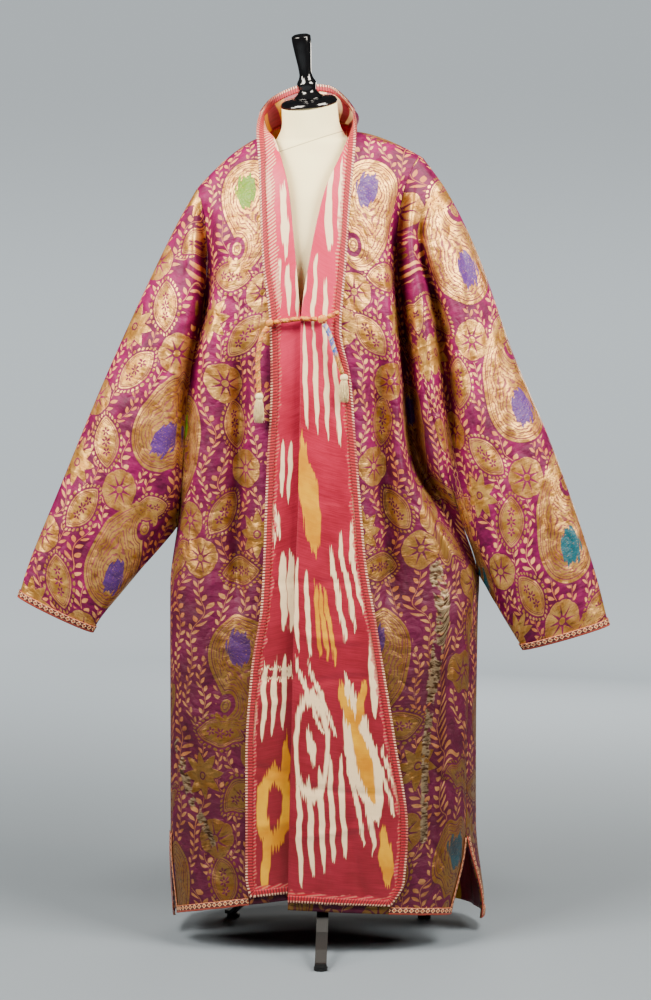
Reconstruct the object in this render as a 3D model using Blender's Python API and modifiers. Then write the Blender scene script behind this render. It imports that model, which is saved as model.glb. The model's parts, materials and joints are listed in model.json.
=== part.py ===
"""An Uzbek chapan robe on a dress form stand, built piece by piece as it is cut and sewn.

The frame is metres with +Z up.  The robe faces -Y, and the wearer's right side is at -X.
Every cloth panel is a surface worked out from short tables of its edges, given a wall with
Solidify.  A panel row is named by its station: 0 at the shoulder seam, 1 at the underarm and
2 at the hem.  Whatever lies on a panel is made from that panel's points, moved out.
"""

import math

import bmesh
import bpy
import numpy as np
from mathutils import Matrix, Vector
from mathutils.bvhtree import BVHTree

# ---------------------------------------------------------------- driving dimensions (metres)
CLOTH = 0.0022            # brocade, cotton backing and ikat lining, quilted together
SEAM_GAP = 0.0005         # between two panels along a seam
RIM_TWIST = 0.0012        # more under the revers braid, over the rows where the rim twists
TWISTED_ROWS = (4.0, 8.0)
CORNER_LIFT = 0.0006      # more under a braid from the corner that it turns at
ARMHOLE_GAP = {"right": 0.0009, "left": 0.0016}   # where a sleeve is set in
LAID_GAP = 0.0008         # between a panel and the braid that is sewn flat on it
REVERS_GAP = 0.0009       # between a front and the lining folded back on it
BRAID_WIDTH = 0.010
BRAID_WALL = 0.0012
UNDER_BRAID = 0.0135      # width of the panel column that a braid lies on
BRAID_HEIGHT = 0.5 * (CLOTH + BRAID_WALL) + LAID_GAP      # from a panel's mid-wall to the braid's
CUFF_DEPTH = 0.052        # thickness of the flattened cuff, front to back

ROWS_ABOVE = 15           # panel rows from the shoulder to the underarm
ROWS_BELOW = 10           # panel rows from the underarm to the hem
FRONT_COLUMNS = 14
BACK_COLUMNS = 23
GORE_COLUMNS = 5
REVERS_COLUMNS = 6
SLEEVE_RINGS = 13
COLLAR_COLUMNS = 13

POLE_RADIUS = 0.0125
HUB_RADIUS = 0.022
HUB_HEIGHT = 0.060
HUB_TOP = 0.300
LEG_WIDTH = 0.020
LEG_THICKNESS = 0.007
STAND_CENTRE = (0.020, -0.015)
SEAT_GAP = 0.00035        # between the form's shoulders and the cloth that rests on them
SEAT_SEARCH = 0.040       # the form's height is looked for this far up and down


def table(columns, *rows):
    """A table of sizes: one array for each named column."""
    values = np.array(rows, dtype=float)
    return {name: values[:, index] for index, name in enumerate(columns)}


def along(stations, values, at):
    """A smooth curve through the stations that never overshoots them (monotone cubic)."""
    at = np.clip(np.asarray(at, dtype=float), stations[0], stations[-1])
    step = np.diff(stations)
    rise = np.diff(values) / step
    slope = np.zeros(len(stations))
    slope[0], slope[-1] = rise[0], rise[-1]
    same_way = rise[:-1] * rise[1:] > 0
    both = np.where(same_way, rise[:-1] + rise[1:], 1.0)
    slope[1:-1] = np.where(same_way, 2.0 * rise[:-1] * rise[1:] / both, 0.0)
    cell = np.clip(np.searchsorted(stations, at, side="right") - 1, 0, len(step) - 1)
    width = step[cell]
    u = (at - stations[cell]) / width
    return ((2 * u**3 - 3 * u**2 + 1) * values[cell] + (u**3 - 2 * u**2 + u) * width * slope[cell]
            + (3 * u**2 - 2 * u**3) * values[cell + 1] + (u**3 - u**2) * width * slope[cell + 1])


def ease(value, low, high):
    """0 below low, 1 above high, and a soft step between them."""
    u = np.clip((np.asarray(value, dtype=float) - low) / (high - low), 0.0, 1.0)
    return u * u * (3.0 - 2.0 * u)


# ---------------------------------------------------------------- the fronts
# in: the fold edge, where the front turns back to show the lining.
# out: the armhole down to the underarm (station 1), then the side seam to the hem.
# turn: 0 where the cloth runs straight out into the sleeve, 1 where it turns round the side.
FRONT_COLUMN_NAMES = ("station", "x_in", "y_in", "z_in", "x_out", "y_out", "z_out", "turn")
FRONTS = {
    "right": table(
        FRONT_COLUMN_NAMES,
        (0.00, -0.080, 0.000, 1.410, -0.203, 0.000, 1.318, 0.0),
        (0.05, -0.0745, -0.020, 1.4085, -0.200, -0.019, 1.3160, 0.0),
        (0.10, -0.068, -0.038, 1.402, -0.196, -0.032, 1.302, 0.0),
        (0.20, -0.056, -0.066, 1.370, -0.188, -0.056, 1.262, 0.0),
        (0.32, -0.043, -0.090, 1.318, -0.185, -0.074, 1.208, 0.0),
        (0.46, -0.033, -0.108, 1.225, -0.190, -0.084, 1.120, 0.1),
        (0.60, -0.023, -0.117, 1.110, -0.208, -0.086, 1.035, 0.2),
        (0.75, -0.010, -0.120, 0.980, -0.221, -0.082, 0.935, 0.3),
        (0.90, -0.005, -0.122, 0.850, -0.229, -0.062, 0.810, 0.6),
        (1.00, -0.005, -0.124, 0.765, -0.238, -0.020, 0.731, 0.9),
        (1.15, -0.007, -0.128, 0.650, -0.249, -0.040, 0.625, 0.9),
        (1.50, -0.014, -0.138, 0.400, -0.250, -0.050, 0.390, 0.9),
        (1.80, -0.020, -0.150, 0.195, -0.251, -0.052, 0.180, 0.9),
        (2.00, -0.022, -0.158, 0.100, -0.240, -0.055, 0.048, 0.9),
    ),
    "left": table(
        FRONT_COLUMN_NAMES,
        (0.00, 0.074, 0.000, 1.416, 0.188, 0.000, 1.372, 0.0),
        (0.05, 0.0685, -0.020, 1.4145, 0.179, -0.019, 1.3695, 0.0),
        (0.10, 0.062, -0.038, 1.408, 0.168, -0.032, 1.350, 0.0),
        (0.20, 0.046, -0.067, 1.374, 0.153, -0.057, 1.305, 0.0),
        (0.32, 0.020, -0.093, 1.318, 0.143, -0.076, 1.225, 0.0),
        (0.46, -0.006, -0.114, 1.205, 0.159, -0.087, 1.115, 0.1),
        (0.60, -0.022, -0.128, 1.085, 0.187, -0.089, 0.990, 0.2),
        (0.75, -0.024, -0.132, 0.930, 0.221, -0.083, 0.865, 0.3),
        (0.90, -0.027, -0.135, 0.780, 0.258, -0.062, 0.740, 0.6),
        (1.00, -0.031, -0.138, 0.680, 0.286, -0.020, 0.648, 0.9),
        (1.15, -0.034, -0.142, 0.590, 0.275, -0.045, 0.572, 0.9),
        (1.50, -0.039, -0.152, 0.375, 0.268, -0.055, 0.360, 0.9),
        (1.78, -0.043, -0.163, 0.205, 0.266, -0.058, 0.186, 0.9),
        (2.00, -0.045, -0.170, 0.083, 0.238, -0.085, 0.054, 0.9),
    ),
}
# ---------------------------------------------------------------- the back
BACK_EDGES = {
    "right": table(
        ("station", "x_out", "y_out", "z_out", "turn"),
        (0.00, -0.203, 0.000, 1.318, 0.0),
        (0.05, -0.201, 0.019, 1.3165, 0.0),
        (0.10, -0.198, 0.032, 1.304, 0.0),
        (0.20, -0.192, 0.056, 1.266, 0.0),
        (0.32, -0.188, 0.073, 1.208, 0.0),
        (0.46, -0.192, 0.082, 1.120, 0.1),
        (0.60, -0.206, 0.084, 1.035, 0.2),
        (0.75, -0.220, 0.079, 0.935, 0.3),
        (0.90, -0.229, 0.060, 0.810, 0.6),
        (1.00, -0.238, 0.020, 0.731, 0.9),
        (1.15, -0.247, 0.052, 0.625, 0.9),
        (1.50, -0.244, 0.070, 0.390, 0.9),
        (1.80, -0.243, 0.076, 0.180, 0.9),
        (2.00, -0.242, 0.080, 0.036, 0.9),
    ),
    "left": table(
        ("station", "x_out", "y_out", "z_out", "turn"),
        (0.00, 0.188, 0.000, 1.372, 0.0),
        (0.05, 0.181, 0.019, 1.3700, 0.0),
        (0.10, 0.172, 0.032, 1.352, 0.0),
        (0.20, 0.160, 0.057, 1.306, 0.0),
        (0.32, 0.154, 0.076, 1.225, 0.0),
        (0.46, 0.166, 0.087, 1.115, 0.1),
        (0.60, 0.190, 0.089, 0.990, 0.2),
        (0.75, 0.222, 0.083, 0.865, 0.3),
        (0.90, 0.258, 0.062, 0.740, 0.6),
        (1.00, 0.286, 0.020, 0.648, 0.9),
        (1.15, 0.279, 0.052, 0.572, 0.9),
        (1.50, 0.276, 0.070, 0.360, 0.9),
        (1.78, 0.277, 0.078, 0.186, 0.9),
        (2.00, 0.290, 0.082, 0.026, 0.9),
    ),
}
BACK_CENTRE = table(
    ("station", "x", "y", "z"),
    (0.00, -0.003, 0.064, 1.438),
    (0.05, -0.003, 0.078, 1.434),
    (0.10, -0.002, 0.089, 1.414),
    (0.20, -0.002, 0.101, 1.358),
    (0.32, 0.000, 0.113, 1.295),
    (0.46, 0.000, 0.122, 1.190),
    (0.60, 0.002, 0.126, 1.070),
    (0.75, 0.005, 0.129, 0.935),
    (0.90, 0.008, 0.132, 0.790),
    (1.00, 0.010, 0.134, 0.700),
    (1.15, 0.012, 0.138, 0.600),
    (1.50, 0.015, 0.147, 0.375),
    (1.80, 0.016, 0.157, 0.185),
    (2.00, 0.016, 0.164, 0.034),
)
NECK_SHARE = 0.40         # share of the back's top edge that is neckline

# ---------------------------------------------------------------- folds
# A valley squeezes the garment towards its middle plane: share is how far, 0 to 1.
VALLEY_COLUMN_NAMES = ("z", "x", "half_width", "share")
FRONT_VALLEYS = (
    table(  # the right armhole
        VALLEY_COLUMN_NAMES,
        (0.700, -0.236, 0.016, 0.00), (0.800, -0.229, 0.016, 0.15), (0.935, -0.221, 0.016, 0.25),
        (1.035, -0.208, 0.016, 0.35), (1.120, -0.190, 0.016, 0.45), (1.208, -0.185, 0.016, 0.55),
        (1.262, -0.188, 0.015, 0.40), (1.305, -0.196, 0.014, 0.00),
    ),
    table(  # the left armhole
        VALLEY_COLUMN_NAMES,
        (0.680, 0.262, 0.018, 0.00), (0.760, 0.210, 0.020, 0.15), (0.865, 0.172, 0.018, 0.52),
        (0.990, 0.162, 0.017, 0.66), (1.115, 0.150, 0.016, 0.66), (1.225, 0.143, 0.016, 0.60),
        (1.305, 0.153, 0.015, 0.40), (1.355, 0.168, 0.014, 0.00),
    ),
    table(  # between the hanging fold and the front of the left sleeve
        VALLEY_COLUMN_NAMES,
        (0.700, 0.254, 0.020, 0.00), (0.780, 0.250, 0.020, 0.16), (0.870, 0.242, 0.019, 0.32),
        (0.990, 0.229, 0.018, 0.42), (1.100, 0.214, 0.015, 0.42), (1.245, 0.182, 0.012, 0.30),
        (1.320, 0.190, 0.012, 0.00),
    ),
)
BACK_VALLEYS = (
    table(  # the right armhole
        VALLEY_COLUMN_NAMES,
        (0.700, -0.236, 0.016, 0.00), (0.935, -0.220, 0.018, 0.40), (1.120, -0.192, 0.018, 0.50),
        (1.230, -0.189, 0.016, 0.35), (1.300, -0.196, 0.014, 0.00),
    ),
    table(  # the left armhole
        VALLEY_COLUMN_NAMES,
        (0.640, 0.286, 0.016, 0.00), (0.865, 0.192, 0.018, 0.50), (1.115, 0.162, 0.018, 0.50),
        (1.270, 0.157, 0.016, 0.30), (1.350, 0.170, 0.014, 0.00),
    ),
)
# A soft fold runs down a panel from top to low; depth is inwards, less than 0 for a ridge.
FOLD_COLUMN_NAMES = ("x_top", "z_top", "x_low", "z_low", "half_width", "depth")
FRONT_FOLDS = table(
    FOLD_COLUMN_NAMES,
    (0.110, 1.080, 0.142, 0.560, 0.019, 0.018),      # beside the left revers
    (0.140, 1.160, 0.152, 0.760, 0.016, -0.010),     # the left chest's edge
    (0.214, 0.640, 0.206, 0.120, 0.016, 0.012),
    (0.242, 0.560, 0.232, 0.060, 0.014, -0.006),
    (-0.150, 1.225, -0.200, 1.075, 0.012, 0.014),    # across the right shoulder
    (-0.134, 1.060, -0.146, 0.560, 0.020, 0.018),    # beside the right revers
    (-0.170, 0.980, -0.185, 0.420, 0.018, -0.008),
    (-0.226, 0.420, -0.170, 0.110, 0.014, 0.012),    # the low slanted crease
)
BACK_FOLDS = table(
    FOLD_COLUMN_NAMES,
    (-0.110, 1.120, -0.130, 0.180, 0.024, 0.022),
    (-0.052, 1.020, -0.060, 0.120, 0.022, -0.012),
    (0.012, 1.150, 0.020, 0.060, 0.026, 0.016),
    (0.085, 1.060, 0.092, 0.200, 0.022, -0.012),
    (0.124, 1.100, 0.160, 0.150, 0.024, 0.024),
    (0.205, 0.560, 0.222, 0.050, 0.018, -0.010),
)
# ---------------------------------------------------------------- revers, collar and sleeves
# x of the outer, braided edge of the turned-back lining at each station
REVERS_EDGE = {
    "right": table(("station", "x"), (0.00, -0.122), (0.20, -0.094), (0.46, -0.086), (0.60, -0.075),
                   (0.72, -0.073), (0.90, -0.080), (1.20, -0.090), (1.36, -0.107), (1.58, -0.117),
                   (1.90, -0.117), (2.00, -0.106)),
    "left": table(("station", "x"), (0.00, 0.112), (0.20, 0.070), (0.46, 0.053), (0.58, 0.046),
                  (0.66, 0.062), (0.80, 0.073), (0.94, 0.084), (1.20, 0.110), (1.50, 0.140),
                  (1.74, 0.161), (1.90, 0.155), (2.00, 0.122)),
}
REVERS_LOW = 1.975        # station where the turned-back lining ends
HEM_BARE = 0.006          # the front's hem braid starts this far past the revers
GORE_CORNER = {"right": (-0.008, 0.035, -0.014), "left": (0.058, 0.075, -0.028)}
GORE_BULGE = {"right": 0.05, "left": 0.12}        # share of the gore's width
CORNER_GAP = 0.0016       # more seam gap where three panels meet
HEM_END = 0.06            # share of its last column that a gore's hem braid leaves bare
HEM_ROW = 1.983           # station of the panel row at the hem braid's upper edge
SLIT_ROW = 21             # panel row where the side slits open
# the collar's rim stands up from the neckline and comes down to lie on the chest
RIM = {
    "right": table(("station", "x", "y", "z"), (0.00, -0.093, -0.004, 1.452),
                   (0.10, -0.096, -0.044, 1.428), (0.20, -0.092, -0.078, 1.378),
                   (0.32, -0.088, -0.100, 1.300)),
    "left": table(("station", "x", "y", "z"), (0.00, 0.070, -0.004, 1.456),
                  (0.10, 0.068, -0.046, 1.428), (0.20, 0.066, -0.080, 1.378),
                  (0.32, 0.060, -0.102, 1.300)),
}
COLLAR_SEAT = 0.0034      # the collar's lower edge above the neckline
STAND_ENDS = 0.32         # station below which the revers lies on the front
COLLAR_RIM = table(       # share: 0 at the right neck point, 1 at the left
    ("share", "x", "y", "z"),
    (0.00, -0.093, -0.004, 1.452), (0.20, -0.078, 0.036, 1.474), (0.35, -0.050, 0.062, 1.492),
    (0.50, -0.012, 0.078, 1.503), (0.65, 0.026, 0.070, 1.500), (0.80, 0.055, 0.040, 1.478),
    (1.00, 0.070, -0.004, 1.456),
)
SLEEVE_NAMES = ("share", "x_top", "z_top", "x_low", "z_low", "y_middle", "half_depth")
SLEEVES = {
    "right": table(
        SLEEVE_NAMES,
        (0.00, -0.203, 1.318, -0.238, 0.731, 0.000, 0.086),
        (0.06, -0.233, 1.266, -0.247, 0.719, 0.000, 0.086),
        (0.18, -0.286, 1.160, -0.265, 0.699, -0.002, 0.080),
        (0.40, -0.366, 0.986, -0.302, 0.657, -0.006, 0.066),
        (0.65, -0.441, 0.808, -0.341, 0.611, -0.012, 0.050),
        (0.90, -0.505, 0.652, -0.377, 0.567, -0.018, 0.034),
        (1.00, -0.519, 0.606, -0.391, 0.544, -0.020, 0.5 * CUFF_DEPTH),
    ),
    "left": table(
        SLEEVE_NAMES,
        (0.00, 0.188, 1.372, 0.286, 0.648, 0.000, 0.090),
        (0.06, 0.230, 1.314, 0.293, 0.637, 0.000, 0.092),
        (0.16, 0.280, 1.215, 0.303, 0.621, -0.002, 0.088),
        (0.36, 0.348, 1.030, 0.319, 0.594, -0.006, 0.072),
        (0.60, 0.419, 0.863, 0.336, 0.566, -0.012, 0.054),
        (0.88, 0.496, 0.640, 0.358, 0.530, -0.018, 0.035),
        (1.00, 0.518, 0.556, 0.369, 0.513, -0.020, 0.5 * CUFF_DEPTH),
    ),
}
# ---------------------------------------------------------------- dress form and stand
FORM = table(             # half sizes; lean: how far the ring tips, in degrees
    ("z", "x", "y", "half_width", "half_depth", "lean_left", "lean_forward"),
    (0.720, 0.010, 0.000, 0.128, 0.092, 0, 0),
    (0.735, 0.010, 0.000, 0.142, 0.100, 0, 0),
    (0.830, 0.008, 0.000, 0.158, 0.106, 0, 0),
    (0.920, 0.006, 0.000, 0.146, 0.098, 0, 0),
    (1.030, 0.002, -0.002, 0.118, 0.084, 0, 0),
    (1.130, 0.000, -0.004, 0.134, 0.094, 0, 0),
    (1.210, -0.002, -0.002, 0.138, 0.098, 0, 0),
    (1.290, -0.003, 0.002, 0.140, 0.086, 0, 0),
    (1.342, -0.004, 0.004, 0.130, 0.066, 0, 0),
    (1.374, -0.004, 0.002, 0.102, 0.054, 1, 1),
    (1.392, -0.004, 0.000, 0.076, 0.050, 2, 3),
    (1.406, -0.005, -0.001, 0.058, 0.048, 3, 6),
    (1.428, -0.006, -0.003, 0.0495, 0.047, 5, 9),
    (1.458, -0.008, -0.006, 0.0480, 0.0465, 7, 12),
)
FORM_SEGMENTS = 22
CAP_PROFILE = ((0.0, 0.0130), (0.0200, 0.0130), (0.0420, 0.0105), (0.0480, 0.0070), (0.0495, 0.0030),
               (0.0480, 0.0), (0.0, 0.0))
FINIAL_PROFILE = ((0.0, 0.1080), (0.0120, 0.1080), (0.0165, 0.1045), (0.0165, 0.1000),
                  (0.0150, 0.0830), (0.0108, 0.0400), (0.0125, 0.0330), (0.0168, 0.0240),
                  (0.0150, 0.0130), (0.0190, 0.0060), (0.0260, 0.0), (0.0, 0.0))
LEGS = {"front": (-92.0, 0.245), "right": (146.0, 0.215), "left": (30.0, 0.220)}
LEG_PATH = ((0.0, 0.272), (0.14, 0.240), (0.32, 0.150), (0.48, 0.080), (0.66, 0.046),
            (0.84, 0.026), (0.94, 0.0095), (1.0, 0.0095))     # (share of reach, height)
FOOT_RADIUS = 0.012
FOOT_HEIGHT = 0.006

# ---------------------------------------------------------------- the tie
CORD_RADIUS = 0.0042
KNOT_FLAT = 0.8           # a knot's depth as a share of its width
KNOTS = {"right": ((-0.0745, -0.1335, 1.0900), 0.0072), "left": ((0.0150, -0.1455, 1.0965), 0.0085)}
# the knot that each cord leaves, its route from there, and the knot that it ends at
TIE_CORDS = {
    "tie_band": ("right", ((-0.045, -0.1375, 1.0945), (-0.020, -0.1425, 1.0975)), "left"),
    "tie_loop": ("left", ((0.034, -0.1432, 1.1048), (0.043, -0.1423, 1.1090)), None),
    "tie_tail_right": ("right", ((-0.0890, -0.1375, 1.066), (-0.093, -0.1385, 1.045),
                                 (-0.095, -0.1390, 1.020), (-0.094, -0.1390, 0.995),
                                 (-0.093, -0.1385, 0.972)), None),
    "tie_tail_left": ("left", ((0.027, -0.1490, 1.070), (0.034, -0.1490, 1.048),
                               (0.041, -0.1480, 1.026), (0.049, -0.1470, 1.004)), None),
}
TIE_GAP = 0.0003          # between a cord's end and its knot or tassel
TIE_REACH = 0.020         # the tie is looked for this far in front of the robe and behind
TASSEL_LENGTH = {"right": 0.045, "left": 0.042}
TASSEL_HEAD = 0.0065
TASSEL_TALL = 1.1         # the head's height as a share of its width
TASSEL_DEEP = 0.9         # the same for its depth
TASSEL_STRANDS = 18
GOLDEN_TURN = 0.618034    # spaces the strands evenly round the tassel

COLOURS = {               # base colour, roughness, metallic
    "brocade": ((0.42, 0.11, 0.22, 1.0), 0.45, 0.15),
    "ikat": ((0.72, 0.09, 0.17, 1.0), 0.60, 0.0),
    "braid": ((0.75, 0.36, 0.30, 1.0), 0.70, 0.0),
    "tie": ((0.72, 0.50, 0.20, 1.0), 0.60, 0.0),
    "tassel": ((0.86, 0.78, 0.60, 1.0), 0.80, 0.0),
    "jersey": ((0.86, 0.80, 0.62, 1.0), 0.85, 0.0),
    "black": ((0.012, 0.012, 0.012, 1.0), 0.18, 0.0),
}
PARTS = "chapan_robe_on_dress_form"
CUTTERS = "cutters"
SIGN = {"right": -1.0, "left": 1.0}               # the wearer's sides along X


# ---------------------------------------------------------------- making objects
def clear_scene():
    for thing in list(bpy.data.objects):
        bpy.data.objects.remove(thing, do_unlink=True)


def material(name):
    found = bpy.data.materials.get(name)
    if found:
        return found
    colour, roughness, metallic = COLOURS[name]
    made = bpy.data.materials.new(name)
    made.use_nodes = True
    shader = made.node_tree.nodes["Principled BSDF"]
    shader.inputs["Base Color"].default_value = colour
    shader.inputs["Roughness"].default_value = roughness
    shader.inputs["Metallic"].default_value = metallic
    made.diffuse_color = colour
    return made


def add_object(name, data, finish):
    thing = bpy.data.objects.new(name, data)
    data.materials.append(material(finish))
    bpy.data.collections[PARTS].objects.link(thing)
    return thing


def cloth_object(name, grid, finish, facing, wall=CLOTH, closed=False):
    """A cloth piece: the grid of mid-wall points as an open surface with a Solidify wall.

    grid is (rows, columns, 3), closed joins the last row to the first, and facing is the way
    that the piece's outer side looks on the whole.  Each cell is two triangles across its
    shorter diagonal, so a braid bends just as the panel under it does.
    """
    rows, columns = grid.shape[:2]
    last = rows if closed else rows - 1
    points = [Vector(p) for p in grid.reshape(-1, 3)]
    faces = []
    for i in range(last):
        k = (i + 1) % rows
        for j in range(columns - 1):
            a, b, c, d = i * columns + j, k * columns + j, k * columns + j + 1, i * columns + j + 1
            if (points[a] - points[c]).length < (points[b] - points[d]).length:
                faces += [(a, b, c), (a, c, d)]
            else:
                faces += [(a, b, d), (b, c, d)]
    mesh = bpy.data.meshes.new(name)
    mesh.from_pydata([tuple(point) for point in points], [], faces)
    first_half = [face.normal * face.area for face in mesh.polygons[:len(faces) // (2 if closed else 1)]]
    if sum(first_half, Vector()).dot(Vector(facing)) < 0.0:
        mesh.flip_normals()
    mesh.shade_smooth()
    thing = add_object(name, mesh, finish)
    solid = thing.modifiers.new("wall", "SOLIDIFY")
    solid.thickness = wall
    solid.offset = 0.0
    solid.use_even_offset = True
    solid.thickness_clamp = 1.0
    return thing


def turned_object(name, profile, finish, place, segments=28):
    """A turned piece: its profile, run down the outer side at +X, swept round with Screw."""
    mesh = bpy.data.meshes.new(name)
    points = [(radius, 0.0, height) for radius, height in profile]
    mesh.from_pydata(points, [(i, i + 1) for i in range(len(points) - 1)], [])
    thing = add_object(name, mesh, finish)
    thing.matrix_world = place
    screw = thing.modifiers.new("turn", "SCREW")
    screw.steps = segments
    screw.render_steps = segments
    screw.use_merge_vertices = True
    screw.merge_threshold = 0.0001
    screw.use_smooth_shade = True
    return thing


def cord_object(name, route, radius, finish):
    """A round cord through a short route, read from a smooth curve."""
    route = np.array(route)
    reach = np.concatenate([[0.0], np.cumsum(np.linalg.norm(np.diff(route, axis=0), axis=1))])
    count = max(4, int(round(reach[-1] / (5.0 * radius))) + 1)
    at = np.linspace(0.0, reach[-1], count)
    points = np.stack([along(reach, route[:, axis], at) for axis in range(3)], axis=1)
    curve = bpy.data.curves.new(name, "CURVE")
    curve.dimensions = "3D"
    curve.bevel_depth = radius
    curve.bevel_resolution = 1
    curve.use_fill_caps = True
    spline = curve.splines.new("POLY")
    spline.points.add(count - 1)
    for point, place in zip(spline.points, points):
        point.co = (*place, 1.0)
    return add_object(name, curve, finish)


# ---------------------------------------------------------------- cloth surfaces
def squeeze(point, valleys):
    """Press the cloth towards the garment's middle plane along each valley."""
    keep = np.ones(point.shape[:-1])
    for valley in valleys:
        centre = along(valley["z"], valley["x"], point[..., 2])
        half = along(valley["z"], valley["half_width"], point[..., 2])
        share = along(valley["z"], valley["share"], point[..., 2])
        across = np.abs(point[..., 0] - centre) / half
        keep = keep * (1.0 - share * np.exp(-across**2.5))
    moved = point.copy()
    moved[..., 1] *= keep
    return moved


def crease(point, folds, inward):
    """Add the soft folds; inward is +1 on the front and -1 on the back."""
    moved = point.copy()
    for x_top, z_top, x_low, z_low, half, depth in zip(*(folds[n] for n in FOLD_COLUMN_NAMES)):
        down = (z_top - point[..., 2]) / (z_top - z_low)
        centre = x_top + (x_low - x_top) * down
        inside = ease(down, 0.0, 0.25) * (1.0 - ease(down, 0.78, 1.05))
        moved[..., 1] += inward * depth * inside * np.exp(-((point[..., 0] - centre) / half) ** 2)
    return moved


def fold_front(point):
    """The front's valleys and soft folds, and its half of the seam gap."""
    return crease(squeeze(point, FRONT_VALLEYS), FRONT_FOLDS, 1.0) - (0.0, 0.5 * SEAM_GAP, 0.0)


def fold_back(point):
    """The back's valleys and soft folds, and its half of the seam gap."""
    return crease(squeeze(point, BACK_VALLEYS), BACK_FOLDS, -1.0) + (0.0, 0.5 * SEAM_GAP, 0.0)


def section(across, turn):
    """How far x and depth have gone at a share of the way across, for each turn."""
    angle = 0.5 * math.pi * across
    straight_x, straight_y = across, across**2 * (1.4 - 0.4 * across)
    round_x, round_y = np.sin(angle) ** 0.92, 1.0 - np.cos(angle) ** 0.92
    return straight_x + (round_x - straight_x) * turn, straight_y + (round_y - straight_y) * turn


def front_plain(side, across, station):
    """Mid-wall points of a front before its folds; across runs from the fold edge, 0, to 1."""
    across, station = np.broadcast_arrays(np.clip(across, 0.0, 1.0), np.asarray(station, float))
    edges = FRONTS[side]
    at = {name: along(edges["station"], edges[name], station) for name in FRONT_COLUMN_NAMES[1:]}
    go_x, go_y = section(across, at["turn"])
    drop = across ** (1.0 + 0.5 * (1.0 - ease(station, 0.0, 0.4)))
    return np.stack([at["x_in"] + (at["x_out"] - at["x_in"]) * go_x,
                     at["y_in"] + (at["y_out"] - at["y_in"]) * go_y,
                     at["z_in"] + (at["z_out"] - at["z_in"]) * drop], axis=-1)


def front_surface(side, across, station):
    return fold_front(front_plain(side, across, station))


def shoulder_line(side, share):
    """The shoulder seam from the neck point (0) to the armhole (1)."""
    edges = FRONTS[side]
    return np.stack([edges["x_in"][0] + (edges["x_out"][0] - edges["x_in"][0]) * share,
                     np.zeros_like(share),
                     edges["z_in"][0] + (edges["z_out"][0] - edges["z_in"][0]) * share**1.5], axis=-1)


def neck_line(share):
    """The back neckline from the right neck point (0) round the nape to the left one (1)."""
    angle = math.pi * np.asarray(share, dtype=float)
    right, left = (np.array([FRONTS[side]["x_in"][0], 0.0, FRONTS[side]["z_in"][0]])
                   for side in ("right", "left"))
    nape = np.array([BACK_CENTRE[name][0] for name in "xyz"])
    middle = 0.5 * (right + left)
    return (middle - 0.5 * (left - right) * np.cos(angle)[..., None]
            + (nape - middle) * np.sin(angle)[..., None])


def back_rows(across, station):
    """The back's plain rows, from its centre line out to each armhole or side seam."""
    point = np.zeros(across.shape + (3,))
    centre = {name: along(BACK_CENTRE["station"], BACK_CENTRE[name], station) for name in "xyz"}
    for side, here in (("right", across < 0.0), ("left", across >= 0.0)):
        edges = BACK_EDGES[side]
        at = {name: along(edges["station"], edges[name], station)
              for name in ("x_out", "y_out", "z_out", "turn")}
        size = np.abs(across)
        go_x, go_y = section(size, at["turn"])
        row = np.stack([centre["x"] + (at["x_out"] - centre["x"]) * go_x,
                        centre["y"] + (at["y_out"] - centre["y"]) * go_y,
                        centre["z"] + (at["z_out"] - centre["z"]) * size**1.3], axis=-1)
        point[here] = row[here]
    return point


def back_top(across):
    """The back's top edge: a shoulder, the neckline and the other shoulder."""
    size = np.abs(across)
    top = neck_line(0.5 + 0.5 * np.clip(across / NECK_SHARE, -1.0, 1.0))
    for side, sign in (("right", -1.0), ("left", 1.0)):
        here = (size > NECK_SHARE) & (across * sign > 0.0)
        top[here] = shoulder_line(side, (size[here] - NECK_SHARE) / (1.0 - NECK_SHARE))
    return top


def back_plain(across, station):
    """Mid-wall points of the back before its folds; across is -1 on the wearer's right, 1 left."""
    across, station = np.broadcast_arrays(np.asarray(across, float), np.asarray(station, float))
    fade = (1.0 - ease(station, 0.0, 0.42))[..., None]
    return (back_rows(across, station)
            + (back_top(across) - back_rows(across, np.zeros_like(station))) * fade)


def back_surface(across, station):
    return fold_back(back_plain(across, station))


def stations():
    """Stations of the panel rows, closer together over the shoulder."""
    above = np.linspace(0.0, 1.0, ROWS_ABOVE) ** 1.15
    below = 1.0 + np.linspace(0.0, 1.0, ROWS_BELOW)[1:]
    return np.concatenate([above, below[:-1], [HEM_ROW], below[-1:]])


def front_grid(side):
    """A front, its columns closer together at the armhole's valley."""
    across = 1.0 - (1.0 - np.linspace(0.0, 1.0, FRONT_COLUMNS)) ** 1.5
    grid = front_surface(side, *np.meshgrid(across, stations()))
    grid[0, :, 1] -= 0.5 * CLOTH * np.abs(normals(grid, (0.0, -1.0, 0.0))[0, :, 1])
    return grid


def back_grid():
    size = 1.0 - (1.0 - np.linspace(0.0, 1.0, BACK_COLUMNS // 2 + 1)) ** 1.3
    across = np.concatenate([-size[:0:-1], size])
    grid = back_surface(*np.meshgrid(across, stations()))
    lean = np.abs(normals(grid, (0.0, 1.0, 0.0))[0, :, 1]) * (np.abs(across) > NECK_SHARE)
    grid[0, :, 1] += 0.5 * CLOTH * lean
    return grid


def gore_edges(side):
    """The side seams of the front and the back from the underarm to the hem."""
    column = 0 if side == "right" else -1
    return front_grid(side)[ROWS_ABOVE - 1:, -1], back_grid()[ROWS_ABOVE - 1:, column]


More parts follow.
